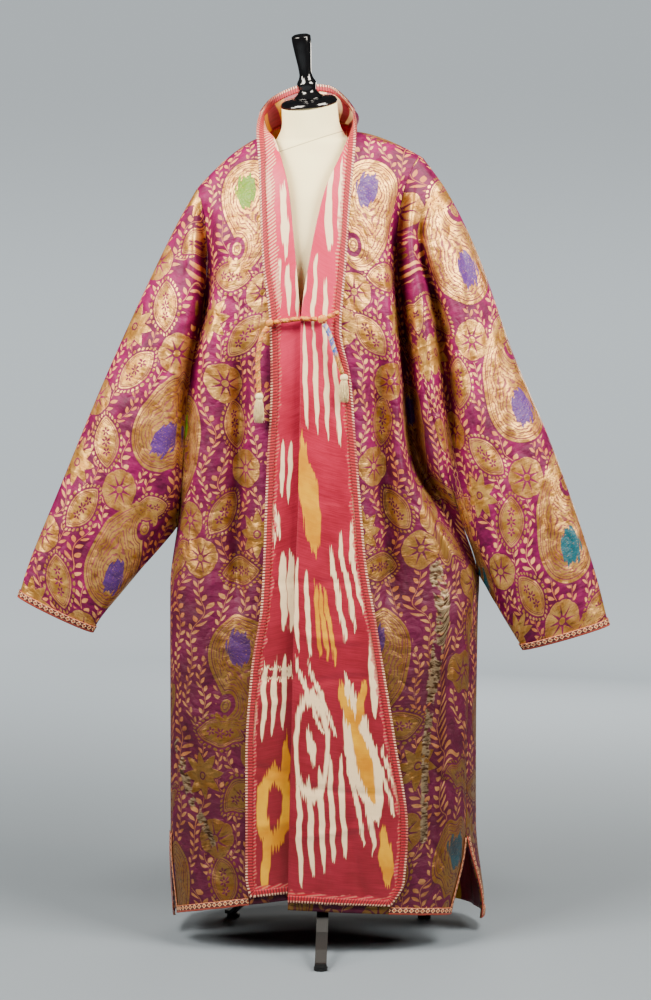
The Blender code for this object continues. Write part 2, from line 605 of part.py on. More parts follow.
def gore_grid(side):
    """The side gore, sewn to the back and, down to the slit, to the front."""
    front, back = gore_edges(side)
    slit = ease(stations()[ROWS_ABOVE - 1:], 1.76, 2.0)[:, None]
    front = front + np.array(GORE_CORNER[side]) * slit
    span = back - front
    width = np.linalg.norm(span, axis=1, keepdims=True)
    front, back = front + span / width * SEAM_GAP, back - span / width * SEAM_GAP
    share = np.linspace(0.0, 1.0, GORE_COLUMNS - 1)
    share = np.insert(share, 1, UNDER_BRAID / width[-1, 0])
    grid = front[:, None] + (back - front)[:, None] * share[:, None]
    grid[..., 0] += SIGN[side] * GORE_BULGE[side] * width * 4.0 * share * (1.0 - share)
    return grid


def armhole(side):
    """The armhole's points in order, the points one step inside it and the panels' normals."""
    front, gore, back = front_grid(side), gore_grid(side), back_grid()
    if side == "right":
        back = back[:, ::-1]
    lie = (normals(front, (0.0, -1.0, 0.0)), normals(gore, (SIGN[side], 0.0, 0.0)),
           normals(back, (0.0, 1.0, 0.0)))
    down, up = slice(0, ROWS_ABOVE), slice(ROWS_ABOVE - 1, 0, -1)
    edge = np.concatenate([front[down, -1], gore[0, 1:-1], back[up, -1]])
    before = np.concatenate([front[down, -2], gore[1, 1:-1], back[up, -2]])
    facing = np.concatenate([lie[0][down, -1], lie[1][0, 1:-1], lie[2][up, -1]])
    return edge, before, facing


def drawn_back(grid, edge, before, facing, gap):
    """A sleeve's seam edge, drawn back from the armhole until the two walls clear each other.

    Walls that meet at an angle would cross at their inner corners: the gap grows with it.
    """
    seam = np.roll(edge, -1, axis=0) - np.roll(edge, 1, axis=0)
    seam /= np.linalg.norm(seam, axis=1, keepdims=True)

    def square(way):
        way = way - seam * np.sum(way * seam, axis=1, keepdims=True)
        return way / np.linalg.norm(way, axis=1, keepdims=True)

    away = square(square(edge - before) + square(grid[:, 1] - edge))
    own = normals(grid, lambda g: g - g.mean(axis=0, keepdims=True), closed=True)[:, 0]
    lean = np.abs(np.sum(facing * away, axis=1)) + np.abs(np.sum(own * away, axis=1))
    corner = np.zeros(len(edge))
    corner[[ROWS_ABOVE - 1, ROWS_ABOVE + GORE_COLUMNS - 2]] = CORNER_GAP
    return edge + away * (gap + 0.5 * CLOTH * lean + corner)[:, None]


def sleeve_grid(side):
    """A sleeve in rings from the armhole to the cuff: (points round, rings along, 3).

    Its first ring runs down the front's edge, across the gore's top and up the back's edge, so
    the seam lines agree point for point.  Every ring is an oval between the sleeve's top and low
    lines, and the armhole's own shape fades out along the sleeve.
    """
    rows = stations()[:ROWS_ABOVE]
    front = front_plain(side, np.ones_like(rows), rows)
    back = back_plain(np.full_like(rows, SIGN[side]), rows)
    under = gore_grid(side)[0, 1:-1]
    ring = np.concatenate([front, under, back[:0:-1]])
    size = len(ring)
    order = np.arange(size)
    on_front = order < ROWS_ABOVE
    on_back = order >= ROWS_ABOVE + len(under)
    high, low = ring[0, 2], front[-1, 2]
    angle = np.arccos(np.clip(2.0 * (ring[:, 2] - low) / (high - low) - 1.0, -1.0, 1.0))
    angle = np.where(on_front, angle, np.where(on_back, 2.0 * math.pi - angle, math.pi))
    even = 2.0 * math.pi * order / size
    share = np.linspace(0.0, 1.0, SLEEVE_RINGS) ** 1.5
    cut = {name: along(SLEEVES[side]["share"], SLEEVES[side][name], share)
           for name in SLEEVE_NAMES[1:]}
    turn = angle[:, None] + (even - angle)[:, None] * ease(share, 0.0, 0.9)
    up, out = np.cos(turn), np.sin(turn)
    oval = np.stack([0.5 * (cut["x_top"] + cut["x_low"]) + 0.5 * (cut["x_top"] - cut["x_low"]) * up,
                     cut["y_middle"] - cut["half_depth"] * np.sign(out) * np.abs(out) ** 0.9,
                     0.5 * (cut["z_top"] + cut["z_low"]) + 0.5 * (cut["z_top"] - cut["z_low"]) * up],
                    axis=-1)
    grid = oval + (ring - oval[:, 0])[:, None] * (1.0 - ease(share, 0.0, 0.55))[:, None]
    grid[on_front] = fold_front(grid[on_front])
    grid[on_back] = fold_back(grid[on_back])
    grid[0, :, 1] = oval[0, :, 1]
    moved = drawn_back(grid, *armhole(side), ARMHOLE_GAP[side]) - grid[:, 0]
    return grid + moved[:, None] * (1.0 - ease(share, 0.0, 0.35))[:, None]


# ---------------------------------------------------------------- what lies on a panel
def normals(grid, toward, closed=False):
    """Outward directions at a grid's points, turned to agree with toward on the whole."""
    if closed:
        down = np.roll(grid, -1, axis=0) - np.roll(grid, 1, axis=0)
    else:
        down = np.gradient(grid, axis=0)
    normal = np.cross(down, np.gradient(grid, axis=1))
    normal /= np.linalg.norm(normal, axis=-1, keepdims=True)
    agree = np.sum(normal * toward(grid)) if callable(toward) else np.sum(normal @ np.array(toward))
    return normal if agree > 0.0 else -normal


def sample(grid, row, column):
    """The point of a grid at a fractional row and column."""
    i = int(min(max(math.floor(row), 0), grid.shape[0] - 2))
    j = int(min(max(math.floor(column), 0), grid.shape[1] - 2))
    u, v = row - i, column - j
    return ((grid[i, j] * (1 - u) + grid[i + 1, j] * u) * (1 - v)
            + (grid[i, j + 1] * (1 - u) + grid[i + 1, j + 1] * u) * v)


def inset(line, width):
    """The fractional index on a line of points at a width in from its last point."""
    reach = np.concatenate([[0.0], np.cumsum(np.linalg.norm(np.diff(line[::-1], axis=0), axis=1))])
    return len(line) - 1 - np.interp(width, reach, np.arange(len(line)))


def laid_strip(strip, facing, height=BRAID_HEIGHT):
    """A strip of points that lie on a panel, moved out square to the strip itself."""
    strip = np.array(strip)
    return strip + normals(strip, facing) * np.reshape(height, (-1, 1, 1))


def border(grid, facing, first_row, last_column, twist=0.0):
    """A braid down a grid's last column from first_row, round the corner and along its hem."""
    rows, columns = grid.shape[:2]
    low = inset(grid[:, -1], BRAID_WIDTH)
    turn = inset(grid[-1], BRAID_WIDTH)
    pairs = [((i, columns - 1), (i, inset(grid[i], BRAID_WIDTH)))
             for i in range(first_row, rows - 1) if i < low - 0.1]
    corner = len(pairs)
    pairs.append(((rows - 1, columns - 1), (low, turn)))
    hem = [j for j in range(columns - 2, math.floor(last_column), -1) if j < turn - 0.1]
    pairs += [((rows - 1, j), (np.interp(j, range(columns), hem_rows(grid)), j))
              for j in hem + [last_column]]
    order = np.arange(len(pairs))
    height = (BRAID_HEIGHT + twist * (1.0 - ease(order, *TWISTED_ROWS))
              + CORNER_LIFT * ease(order, corner - 2.0, corner))
    return laid_strip([[sample(grid, *place) for place in pair] for pair in pairs], facing, height)


def bare_column(side, front):
    """The fractional hem column where the revers stops and the front's hem lies bare."""
    reach = front[-1, :, 0] * SIGN[side]
    covered = REVERS_EDGE[side]["x"][-1] * SIGN[side] + HEM_BARE
    return float(np.interp(covered, reach, np.arange(len(reach))))


def hem_rows(grid):
    """The fractional row a braid's width above the hem, for each column."""
    return [inset(grid[:, j], BRAID_WIDTH) for j in range(grid.shape[1])]


def laid_on_front(side, across, station):
    """Points laid on a front: moved out along its normal, clear of its wall."""
    step = 0.01
    height = CLOTH + REVERS_GAP
    over = front_plain(side, across + step, station) - front_plain(side, across - step, station)
    down = (front_plain(side, across, np.clip(station + step, 0.0, 2.0))
            - front_plain(side, across, np.clip(station - step, 0.0, 2.0)))
    normal = np.cross(over, down)
    normal /= np.linalg.norm(normal, axis=-1, keepdims=True)
    normal *= -SIGN[side]
    return front_surface(side, across, station) + normal * height


def revers_share(side, station):
    """How far across the front the revers reaches at a station."""
    fine = np.linspace(0.0, 1.0, 200)
    reach = front_plain(side, fine, station)[:, 0] * SIGN[side]
    wanted = along(REVERS_EDGE[side]["station"], REVERS_EDGE[side]["x"], station) * SIGN[side]
    return float(np.interp(wanted, reach, fine))


def revers_grid(side):
    """The lining turned back: standing at the neck and lying on the front lower down."""
    rows = stations()
    rows = np.concatenate([[0.0015], rows[(rows > 0.0) & (rows < REVERS_LOW)], [REVERS_LOW]])
    across, station = np.meshgrid(np.linspace(0.0, 1.0, REVERS_COLUMNS), rows)
    share = np.array([revers_share(side, at) for at in rows])[:, None]
    wide = along(REVERS_EDGE[side]["station"], REVERS_EDGE[side]["x"], rows) - along(
        FRONTS[side]["station"], FRONTS[side]["x_in"], rows)
    under_braid = np.clip(UNDER_BRAID / np.abs(wide), 0.08, 0.4)[:, None]
    across = np.where(across < 1.0, across * (1.0 - under_braid) / across[0, -2], 1.0)
    lying = laid_on_front(side, share * across, station)
    rim = np.stack([along(RIM[side]["station"], RIM[side][name], station) for name in "xyz"], axis=-1)
    fold = lying[:, :1]
    standing = fold + (rim - fold) * across[..., None]
    return lying + (standing - lying) * (1.0 - ease(station, 0.0, STAND_ENDS))[..., None]


def collar_grid():
    """The standing collar round the nape, from the neckline to the rim."""
    share = np.linspace(0.003, 0.997, COLLAR_COLUMNS)
    base = neck_line(share) + (0.0, 0.0, COLLAR_SEAT)
    rim = np.stack([along(COLLAR_RIM["share"], COLLAR_RIM[name], share) for name in "xyz"], axis=-1)
    up = np.linspace(0.0, 1.0, 3)[:, None, None]
    return base + (rim - base) * up


def cuff_braid_grid(grid):
    """A ring of braid round the end of a sleeve, moved out from the sleeve's own points."""
    outward = normals(grid, lambda g: g - g.mean(axis=0, keepdims=True), closed=True)
    height = BRAID_HEIGHT
    last = grid.shape[1] - 1
    strip = [[sample(grid, i, at) + sample(outward, i, at) * height
              for at in (inset(grid[i], BRAID_WIDTH), last)] for i in range(grid.shape[0] - 1)]
    i = grid.shape[0] - 1
    strip.append([sample(grid[[i - 1, i]], 1, at) + sample(outward[[i - 1, i]], 1, at) * height
                  for at in (inset(grid[i], BRAID_WIDTH), last)])
    return np.array(strip)


def build_robe():
    """Cut and hang every cloth piece, then sew on the turned-back lining and the braids."""
    front_out, back_out = (0.0, -1.0, 0.0), (0.0, 1.0, 0.0)
    back = back_grid()
    cloth_object("back_panel", back, "brocade", back_out)
    for side in SIGN:
        front, gore, sleeve, revers = (front_grid(side), gore_grid(side), sleeve_grid(side),
                                       revers_grid(side))
        side_out = (SIGN[side], 0.0, 0.0)
        cloth_object("front_" + side, front, "brocade", front_out)
        cloth_object("gore_" + side, gore, "brocade", side_out)
        cloth_object("sleeve_" + side, sleeve, "brocade", front_out, closed=True)
        cloth_object("revers_" + side, revers, "ikat", front_out)
        strips = {
            "braid_front_": border(front, front_out, SLIT_ROW, bare_column(side, front)),
            "braid_revers_": border(revers, front_out, 0, 0, RIM_TWIST),
            "braid_gore_": border(gore[:, ::-1], side_out, SLIT_ROW - ROWS_ABOVE + 1, HEM_END),
        }
        for name, strip in strips.items():
            facing = side_out if name == "braid_gore_" else front_out
            cloth_object(name + side, strip, "braid", facing, wall=BRAID_WALL)
        cloth_object("braid_cuff_" + side, cuff_braid_grid(sleeve), "braid", front_out,
                     wall=BRAID_WALL, closed=True)
    collar = collar_grid()
    cloth_object("collar", collar, "ikat", back_out)
    inside = normals(collar, (0.0, -1.0, 0.0))
    height = BRAID_HEIGHT
    rim = [[sample(collar, at, j) + sample(inside, at, j) * height
            for at in (inset(collar[:, j], BRAID_WIDTH), 2)] for j in range(COLLAR_COLUMNS)]
    cloth_object("braid_collar", np.array(rim), "braid", front_out, wall=BRAID_WALL)
    out = normals(back, back_out)
    hem = [[sample(back, at, j) + sample(out, at, j) * height
            for at in (inset(back[:, j], BRAID_WIDTH), len(back) - 1)] for j in range(BACK_COLUMNS)]
    cloth_object("braid_back", np.array(hem), "braid", back_out, wall=BRAID_WALL)


# ---------------------------------------------------------------- the tie
def fuse(name, shapes, finish):
    """One closed body from shapes that run into each other, by a Boolean union."""
    base = add_object(name, mesh_from(name, shapes[0]), finish)
    for index, shape in enumerate(shapes[1:]):
        cutter = bpy.data.objects.new(f"{name}_add_{index}", mesh_from(f"{name}_add_{index}", shape))
        bpy.data.collections[CUTTERS].objects.link(cutter)
        cutter.parent = base
        cutter.hide_render = True
        cutter.display_type = "WIRE"
        union = base.modifiers.new(f"add_{index}", "BOOLEAN")
        union.operation = "UNION"
        union.object = cutter
    return base


def mesh_from(name, shape):
    mesh = bpy.data.meshes.new(name)
    shape.to_mesh(mesh)
    shape.free()
    mesh.shade_smooth()
    return mesh


def build_tassel(name, top, length):
    """A tassel: a round head that the roots of its 4-sided strands are fused into."""
    head = bmesh.new()
    made = bmesh.ops.create_uvsphere(head, u_segments=12, v_segments=8, radius=TASSEL_HEAD)
    bmesh.ops.scale(head, vec=(1.0, TASSEL_DEEP, TASSEL_TALL), verts=made["verts"])
    bmesh.ops.translate(head, vec=top, verts=made["verts"])
    strands = bmesh.new()
    for k in range(TASSEL_STRANDS):
        angle = 2.0 * math.pi * (k * GOLDEN_TURN % 1.0)
        spread = math.sqrt((k + 0.5) / TASSEL_STRANDS)
        aside = Vector((math.cos(angle), 0.8 * math.sin(angle), 0.0)) * spread
        root = Vector(top) + aside * 0.0040 + Vector((0.0, 0.0, -0.0020))
        tip = Vector(top) + aside * 0.0078
        tip.z -= length * (0.88 + 0.12 * math.cos(1.7 * k))
        made = bmesh.ops.create_cone(strands, cap_ends=True, segments=4, radius1=0.00042,
                                     radius2=0.00042, depth=(tip - root).length)
        tilt = (root - tip).to_track_quat("Z", "Y").to_matrix().to_4x4()
        bmesh.ops.transform(strands, matrix=Matrix.Translation((root + tip) / 2) @ tilt,
                            verts=made["verts"])
    return fuse(name, [head, strands], "tassel")


def knot_side(knot, toward):
    """The point just off a knot's surface on the way to another point."""
    centre, radius = Vector(KNOTS[knot][0]), KNOTS[knot][1]
    way = (Vector(toward) - centre).normalized()
    reach = 1.0 / Vector((way.x / radius, way.y / (radius * KNOT_FLAT), way.z / radius)).length
    return tuple(centre + way * (reach + TIE_GAP))


def build_tie():
    """The twisted silk tie: a band between two knots, a loop, two hanging tails, two tassels."""
    made = []
    for name, (start, route, end) in TIE_CORDS.items():
        route = (knot_side(start, route[0]), *route)
        if end:
            route = (*route, knot_side(end, route[-1]))
        made.append(cord_object(name, route, CORD_RADIUS, "tie"))
    for side, (place, radius) in KNOTS.items():
        knot = bmesh.new()
        ball = bmesh.ops.create_uvsphere(knot, u_segments=12, v_segments=8, radius=radius)
        bmesh.ops.scale(knot, vec=(1.0, KNOT_FLAT, 1.0), verts=ball["verts"])
        bmesh.ops.translate(knot, vec=place, verts=ball["verts"])
        made.append(add_object("tie_knot_" + side, mesh_from("tie_knot_" + side, knot), "tie"))
    for side, length in TASSEL_LENGTH.items():
        before, end = (Vector(place) for place in TIE_CORDS["tie_tail_" + side][1][-2:])
        way = (end - before).normalized()
        reach = TASSEL_HEAD / Vector((way.x, way.y / TASSEL_DEEP, way.z / TASSEL_TALL)).length
        made.append(build_tassel("tassel_" + side, end + way * (reach + TIE_GAP), length))
    return made


# ---------------------------------------------------------------- dress form and stand
def tip_of(left, forward):
    """The turn of a ring that leans by two angles in degrees."""
    return Matrix.Rotation(-math.radians(left), 4, "Y") @ Matrix.Rotation(math.radians(forward), 4, "X")


def build_form():
    """The torso: a loft of ovals from the hips to the neck, closed at both ends."""
    n = FORM_SEGMENTS
    points = []
    for z, x, y, half_width, half_depth, left, forward in zip(*FORM.values()):
        place = Matrix.Translation((x, y, z)) @ tip_of(left, forward)
        for k in range(n):
            angle = 2.0 * math.pi * k / n
            points.append(place @ Vector((half_width * math.cos(angle), half_depth * math.sin(angle), 0.0)))
    rings = len(points) // n
    faces = [(r * n + k, r * n + (k + 1) % n, (r + 1) * n + (k + 1) % n, (r + 1) * n + k)
             for r in range(rings - 1) for k in range(n)]
    faces += [tuple(reversed(range(n))), tuple((rings - 1) * n + k for k in range(n))]
    mesh = bpy.data.meshes.new("form_torso")
    mesh.from_pydata([tuple(point) for point in points], [], faces)
    mesh.shade_smooth()
    return add_object("form_torso", mesh, "jersey")


def tree_of(points, polygons):
    return BVHTree.FromPolygons(points, [tuple(face.vertices) for face in polygons])


def wall_tree(thing):
    shell = thing.evaluated_get(bpy.context.evaluated_depsgraph_get())
    mesh = shell.to_mesh()
    tree = tree_of([shell.matrix_world @ vertex.co for vertex in mesh.vertices], mesh.polygons)
    shell.to_mesh_clear()
    return tree


def seat(things, walls, way, reach, gap):
    """Move things along a way until they just meet the walls, less a gap.

    The distance is halved in on: things that have gone too far cut through a wall.
    """
    trees = [wall_tree(wall) for wall in walls]
    graph = bpy.context.evaluated_depsgraph_get()
    meshes = [thing.evaluated_get(graph).to_mesh() for thing in things]
    bodies = [([vertex.co.copy() for vertex in mesh.vertices], mesh.polygons) for mesh in meshes]
    way = Vector(way)
    clear, cutting = -reach, reach
    while cutting - clear > 0.1 * gap:
        middle = 0.5 * (clear + cutting)
        moved = [tree_of([point + way * middle for point in points], faces) for points, faces in bodies]
        if any(body.overlap(tree) for body in moved for tree in trees):
            cutting = middle
        else:
            clear = middle
    for thing in things:
        thing.location += way * (clear - gap)
    return clear - gap


def build_leg(name, azimuth, reach):
    """A flat leg: its side outline as a filled 2D curve, extruded to the leg's width."""
    start = HUB_RADIUS + SEAT_GAP
    path = [Vector((start + (reach - start) * share, height)) for share, height in LEG_PATH]
    upper, lower = [], []
    for index, point in enumerate(path):
        before, after = path[max(index - 1, 0)], path[min(index + 1, len(path) - 1)]
        along_leg = (after - before).normalized()
        aside = Vector((-along_leg.y, along_leg.x)) * LEG_THICKNESS / 2
        if index in (0, len(path) - 1):
            aside = Vector((0.0, LEG_THICKNESS / 2))
        upper.append(point + aside)
        lower.append(point - aside)
    curve = bpy.data.curves.new(name, "CURVE")
    curve.dimensions = "2D"
    curve.fill_mode = "BOTH"
    curve.extrude = LEG_WIDTH / 2
    spline = curve.splines.new("POLY")
    outline = upper + lower[::-1]
    spline.points.add(len(outline) - 1)
    for point, place in zip(spline.points, outline):
        point.co = (place.x, place.y, 0.0, 1.0)
    spline.use_cyclic_u = True
    leg = add_object(name, curve, "black")
    leg.matrix_world = (Matrix.Translation((*STAND_CENTRE, 0.0)) @ Matrix.Rotation(math.radians(azimuth), 4, "Z")
                        @ Matrix.Rotation(math.radians(90.0), 4, "X"))
    leg.data.fill_mode = "BOTH"
    return leg


def build_stand(rise):
    """The pole, hub and legs, and the black cap and finial on the form's neck."""
    centre = Matrix.Translation((*STAND_CENTRE, 0.0))
    floor = FORM["z"][0] + rise
    turned_object("pole", ((0.0, floor - SEAT_GAP), (POLE_RADIUS, floor - SEAT_GAP),
                           (POLE_RADIUS, HUB_TOP + SEAT_GAP), (0.0, HUB_TOP + SEAT_GAP)),
                  "black", centre, segments=20)
    turned_object("hub", ((0.0, HUB_TOP), (HUB_RADIUS - 0.003, HUB_TOP), (HUB_RADIUS, HUB_TOP - 0.003),
                          (HUB_RADIUS, HUB_TOP - HUB_HEIGHT + 0.003),
                          (HUB_RADIUS - 0.003, HUB_TOP - HUB_HEIGHT), (0.0, HUB_TOP - HUB_HEIGHT)),
                  "black", centre, segments=20)
    for side, (azimuth, reach) in LEGS.items():
        build_leg("leg_" + side, azimuth, reach)
        turned_object("foot_" + side, ((0.0, FOOT_HEIGHT), (FOOT_RADIUS - 0.001, FOOT_HEIGHT),
                                              (FOOT_RADIUS, FOOT_HEIGHT - 0.001), (FOOT_RADIUS, 0.0), (0.0, 0.0)),
                             "black", centre @ Matrix.Rotation(math.radians(azimuth), 4, "Z")
                             @ Matrix.Translation((reach - FOOT_RADIUS, 0.0, 0.0)), segments=14)
    top = {name: values[-1] for name, values in FORM.items()}
    neck = (Matrix.Translation((top["x"], top["y"], top["z"] + rise))
            @ tip_of(top["lean_left"], top["lean_forward"]))
    turned_object("neck_cap", CAP_PROFILE, "black", neck @ Matrix.Translation((0.0, 0.0, SEAT_GAP)),
                  segments=22)
    cap_height = CAP_PROFILE[0][1]
    turned_object("finial", FINIAL_PROFILE, "black",
                  neck @ Matrix.Translation((0.0, 0.0, cap_height + 2.0 * SEAT_GAP)), segments=16)


def centre_on_floor():
    """Move everything so that the bounding box's bottom centre is the origin."""
    graph = bpy.context.evaluated_depsgraph_get()
    low, high = Vector((math.inf,) * 3), Vector((-math.inf,) * 3)
    for thing in bpy.data.collections[PARTS].objects:
        shell = thing.evaluated_get(graph)
        mesh = shell.to_mesh()
        for vertex in mesh.vertices:
            place = shell.matrix_world @ vertex.co
            low = Vector(map(min, low, place))
            high = Vector(map(max, high, place))
        shell.to_mesh_clear()
    shift = Vector((-0.5 * (low.x + high.x), -0.5 * (low.y + high.y), -low.z))
    for thing in bpy.data.collections[PARTS].objects:
        thing.location += shift


def main():
    clear_scene()
    for name in (PARTS, CUTTERS):
        bpy.context.scene.collection.children.link(bpy.data.collections.new(name))
    build_robe()
    things = bpy.data.objects
    fronts = [things[name + side] for name in ("revers_", "braid_revers_", "front_") for side in SIGN]
    seat(build_tie(), fronts, (0.0, 1.0, 0.0), TIE_REACH, LAID_GAP)
    form = build_form()
    panels = [things[name] for name in ("back_panel", "front_right", "front_left")]
    build_stand(seat([form], panels, (0.0, 0.0, 1.0), SEAT_SEARCH, SEAT_GAP))
    centre_on_floor()


main()
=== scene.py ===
# %% [markdown]
# # A chapan robe on a dress form
# This lesson dresses a finished set of solids with cloth that looks woven and worn.  The solids
# come from the frame and are measured in metres, with +Z up and the robe's open front at -Y.
# Each cloth piece is drawn again as a thin shell on its solid's form, with finer folds, and
# each surface is a grid of points over two numbers that run across it and down it.

# %% Load the frame
import json
import math

import bpy
import numpy as np
from mathutils import Matrix, Vector

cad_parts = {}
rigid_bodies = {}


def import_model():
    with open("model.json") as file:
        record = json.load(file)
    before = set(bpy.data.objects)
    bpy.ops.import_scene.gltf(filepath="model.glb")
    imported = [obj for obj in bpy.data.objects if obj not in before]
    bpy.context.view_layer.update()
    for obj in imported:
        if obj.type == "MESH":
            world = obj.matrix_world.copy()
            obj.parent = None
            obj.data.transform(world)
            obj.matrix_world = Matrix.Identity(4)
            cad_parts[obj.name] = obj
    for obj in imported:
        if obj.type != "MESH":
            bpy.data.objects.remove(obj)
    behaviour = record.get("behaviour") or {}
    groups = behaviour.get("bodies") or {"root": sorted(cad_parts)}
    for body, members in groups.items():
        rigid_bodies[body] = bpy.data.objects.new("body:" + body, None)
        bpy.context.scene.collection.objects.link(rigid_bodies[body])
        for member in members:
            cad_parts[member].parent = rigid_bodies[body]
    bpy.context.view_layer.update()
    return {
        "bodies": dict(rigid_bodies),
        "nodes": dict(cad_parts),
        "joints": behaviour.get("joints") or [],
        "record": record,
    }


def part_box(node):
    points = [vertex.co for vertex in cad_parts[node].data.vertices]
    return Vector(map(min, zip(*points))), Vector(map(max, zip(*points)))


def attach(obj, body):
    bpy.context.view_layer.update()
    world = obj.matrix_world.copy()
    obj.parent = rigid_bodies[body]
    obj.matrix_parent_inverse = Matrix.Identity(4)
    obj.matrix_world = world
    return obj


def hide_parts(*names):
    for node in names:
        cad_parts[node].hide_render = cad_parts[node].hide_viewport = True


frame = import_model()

FINE = 1
SHIFT = np.array((0.000478, 0.046635, 0.0))     # from the cutting tables' origin to the frame's
SIGN = {"right": -1.0, "left": 1.0}             # the wearer's sides along X

# %% [markdown]
# ## The camera and the two free cords
# The camera stands four and a half metres away with a long lens and looks a little down.
# The tie's two tails hang free, so their centre lines are worked out here, before anything else.
# They start at the side of a knot and run down through a few places; a smooth curve joins these.

# %% Camera and cord lines
CAMERA_PLACE = (0.0205, -4.4534, 1.232)
CAMERA_TILT = 5.8            # degrees below level
CAMERA_LENS = 92.55          # millimetres, on a sensor 36 mm high


def make_camera():
    """A camera at its place, tilted down about X by its tilt."""
    lens = bpy.data.cameras.new("camera")
    lens.lens = CAMERA_LENS
    lens.sensor_fit = "VERTICAL"
    lens.sensor_height = 36.0
    lens.clip_end = 100.0
    camera = bpy.data.objects.new("camera", lens)
    camera.location = CAMERA_PLACE
    camera.rotation_euler = (math.radians(90.0 - CAMERA_TILT), 0.0, 0.0)
    bpy.context.scene.collection.objects.link(camera)
    bpy.context.scene.camera = camera
    return camera


def along(stations, values, at):
    """A smooth curve through the stations that never overshoots them (monotone cubic)."""
    stations, values = np.asarray(stations, float), np.asarray(values, float)
    at = np.clip(np.asarray(at, dtype=float), stations[0], stations[-1])
    step = np.diff(stations)
    rise = np.diff(values) / step
    slope = np.zeros(len(stations))
    slope[0], slope[-1] = rise[0], rise[-1]
    same_way = rise[:-1] * rise[1:] > 0
    both = np.where(same_way, rise[:-1] + rise[1:], 1.0)
    slope[1:-1] = np.where(same_way, 2.0 * rise[:-1] * rise[1:] / both, 0.0)
    cell = np.clip(np.searchsorted(stations, at, side="right") - 1, 0, len(step) - 1)
    width = step[cell]
    u = (at - stations[cell]) / width
    return ((2 * u**3 - 3 * u**2 + 1) * values[cell] + (u**3 - 2 * u**2 + u) * width * slope[cell]
            + (3 * u**2 - 2 * u**3) * values[cell + 1] + (u**3 - u**2) * width * slope[cell + 1])


def ease(value, low, high):
    """0 below low, 1 above high, and a soft step between them: 3u^2 - 2u^3."""
    u = np.clip((np.asarray(value, dtype=float) - low) / (high - low), 0.0, 1.0)
    return u * u * (3.0 - 2.0 * u)


def reaches(route):
    """Distance from a route's first point to each of its points, along the straight steps."""
    return np.concatenate([[0.0], np.cumsum(np.linalg.norm(np.diff(route, axis=0), axis=1))])


def smooth_route(route, step):
    """Points every step along a smooth curve through a route's points."""
    route = np.array(route, float)
    reach = reaches(route)
    at = np.linspace(0.0, reach[-1], max(4, int(round(reach[-1] / step)) + 1))
    return np.stack([along(reach, route[:, axis], at) for axis in range(3)], axis=1)


CORD_RADIUS = 0.0042
TIE_GAP = 0.0003             # between a cord's end and its knot or tassel
KNOT_FLAT = 0.8              # a knot's depth as a share of its width
KNOTS = {"right": ((-0.0745, -0.1335, 1.0900), 0.0072), "left": ((0.0150, -0.1455, 1.0965), 0.0085)}
TIE_CORDS = {                # the knot that a cord leaves, its route, and the knot it ends at
    "tie_band": ("right", ((-0.045, -0.1375, 1.0945), (-0.020, -0.1425, 1.0975)), "left"),
    "tie_loop": ("left", ((0.034, -0.1432, 1.1048), (0.043, -0.1423, 1.1090)), None),
    "tie_tail_right": ("right", ((-0.0890, -0.1375, 1.066), (-0.093, -0.1385, 1.045),
                                 (-0.095, -0.1390, 1.020), (-0.094, -0.1390, 0.995),
                                 (-0.093, -0.1385, 0.972)), None),
    "tie_tail_left": ("left", ((0.027, -0.1490, 1.070), (0.034, -0.1490, 1.048),
                               (0.041, -0.1480, 1.026), (0.049, -0.1470, 1.004)), None),
}
TASSEL_LENGTH = {"right": 0.045, "left": 0.042}
TASSEL_HEAD = 0.0065
TASSEL_TALL = 1.1
TASSEL_DEEP = 0.9


def box_middle(name):
    """The middle of a solid's box."""
    low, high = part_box(name)
    return 0.5 * (np.array(low) + np.array(high))


TIE_SHIFT = box_middle("tie_knot_right") - np.array(KNOTS["right"][0])


def knot_side(knot, toward):
    """The point just off a knot's surface on the way to another point."""
    centre, radius = np.array(KNOTS[knot][0]), KNOTS[knot][1]
    way = np.array(toward) - centre
    way /= np.linalg.norm(way)
    reach = 1.0 / np.linalg.norm(way / np.array((radius, radius * KNOT_FLAT, radius)))
    return centre + way * (reach + TIE_GAP)


def cord_line(name):
    """A tie cord's centre line in the frame, from its knot to its end."""
    start, route, end = TIE_CORDS[name]
    route = [knot_side(start, route[0]), *route]
    if end:
        route.append(knot_side(end, route[-1]))
    return smooth_route(route, 0.0012) + TIE_SHIFT


make_camera()
CORD_LINES = {name: cord_line(name) for name in TIE_CORDS}
print("the tie sits", [round(float(v), 4) for v in TIE_SHIFT], "from its table;",
      "tails", [round(float(reaches(CORD_LINES[n])[-1]), 4) for n in ("tie_tail_right", "tie_tail_left")])

# %% [markdown]
# ## The cutting tables
# A panel row is named by its station: 0 at the shoulder seam, 1 at the underarm and 2 at the hem.
# Each table has a row for each place that was measured, and a smooth curve joins the rows.
# The fronts' tables hold the fold edge, where the lining turns back, and the outer seam.

# %% Tables of the cut


def table(columns, *rows):
    """A table of sizes: one array for each named column."""
    values = np.array(rows, dtype=float)
    return {name: values[:, index] for index, name in enumerate(columns)}


CLOTH = 0.0022            # brocade, cotton backing and ikat lining, quilted together
SEAM_GAP = 0.0001         # between two panels along a seam
ARMHOLE_GAP = {"right": 0.0002, "left": 0.0002}   # where a sleeve is set in
LAID_GAP = 0.0008         # between a panel and the braid that is sewn flat on it
REVERS_GAP = 0.0009       # between a front and the lining folded back on it
BRAID_WIDTH = 0.0125
BRAID_WALL = 0.0012
BRAID_HEIGHT = 0.5 * (CLOTH + BRAID_WALL) + LAID_GAP      # from a panel's mid-wall to the braid's
CUFF_DEPTH = 0.052        # thickness of the flattened cuff, front to back
SEAT_GAP = 0.00035        # between parts of the stand that rest on each other

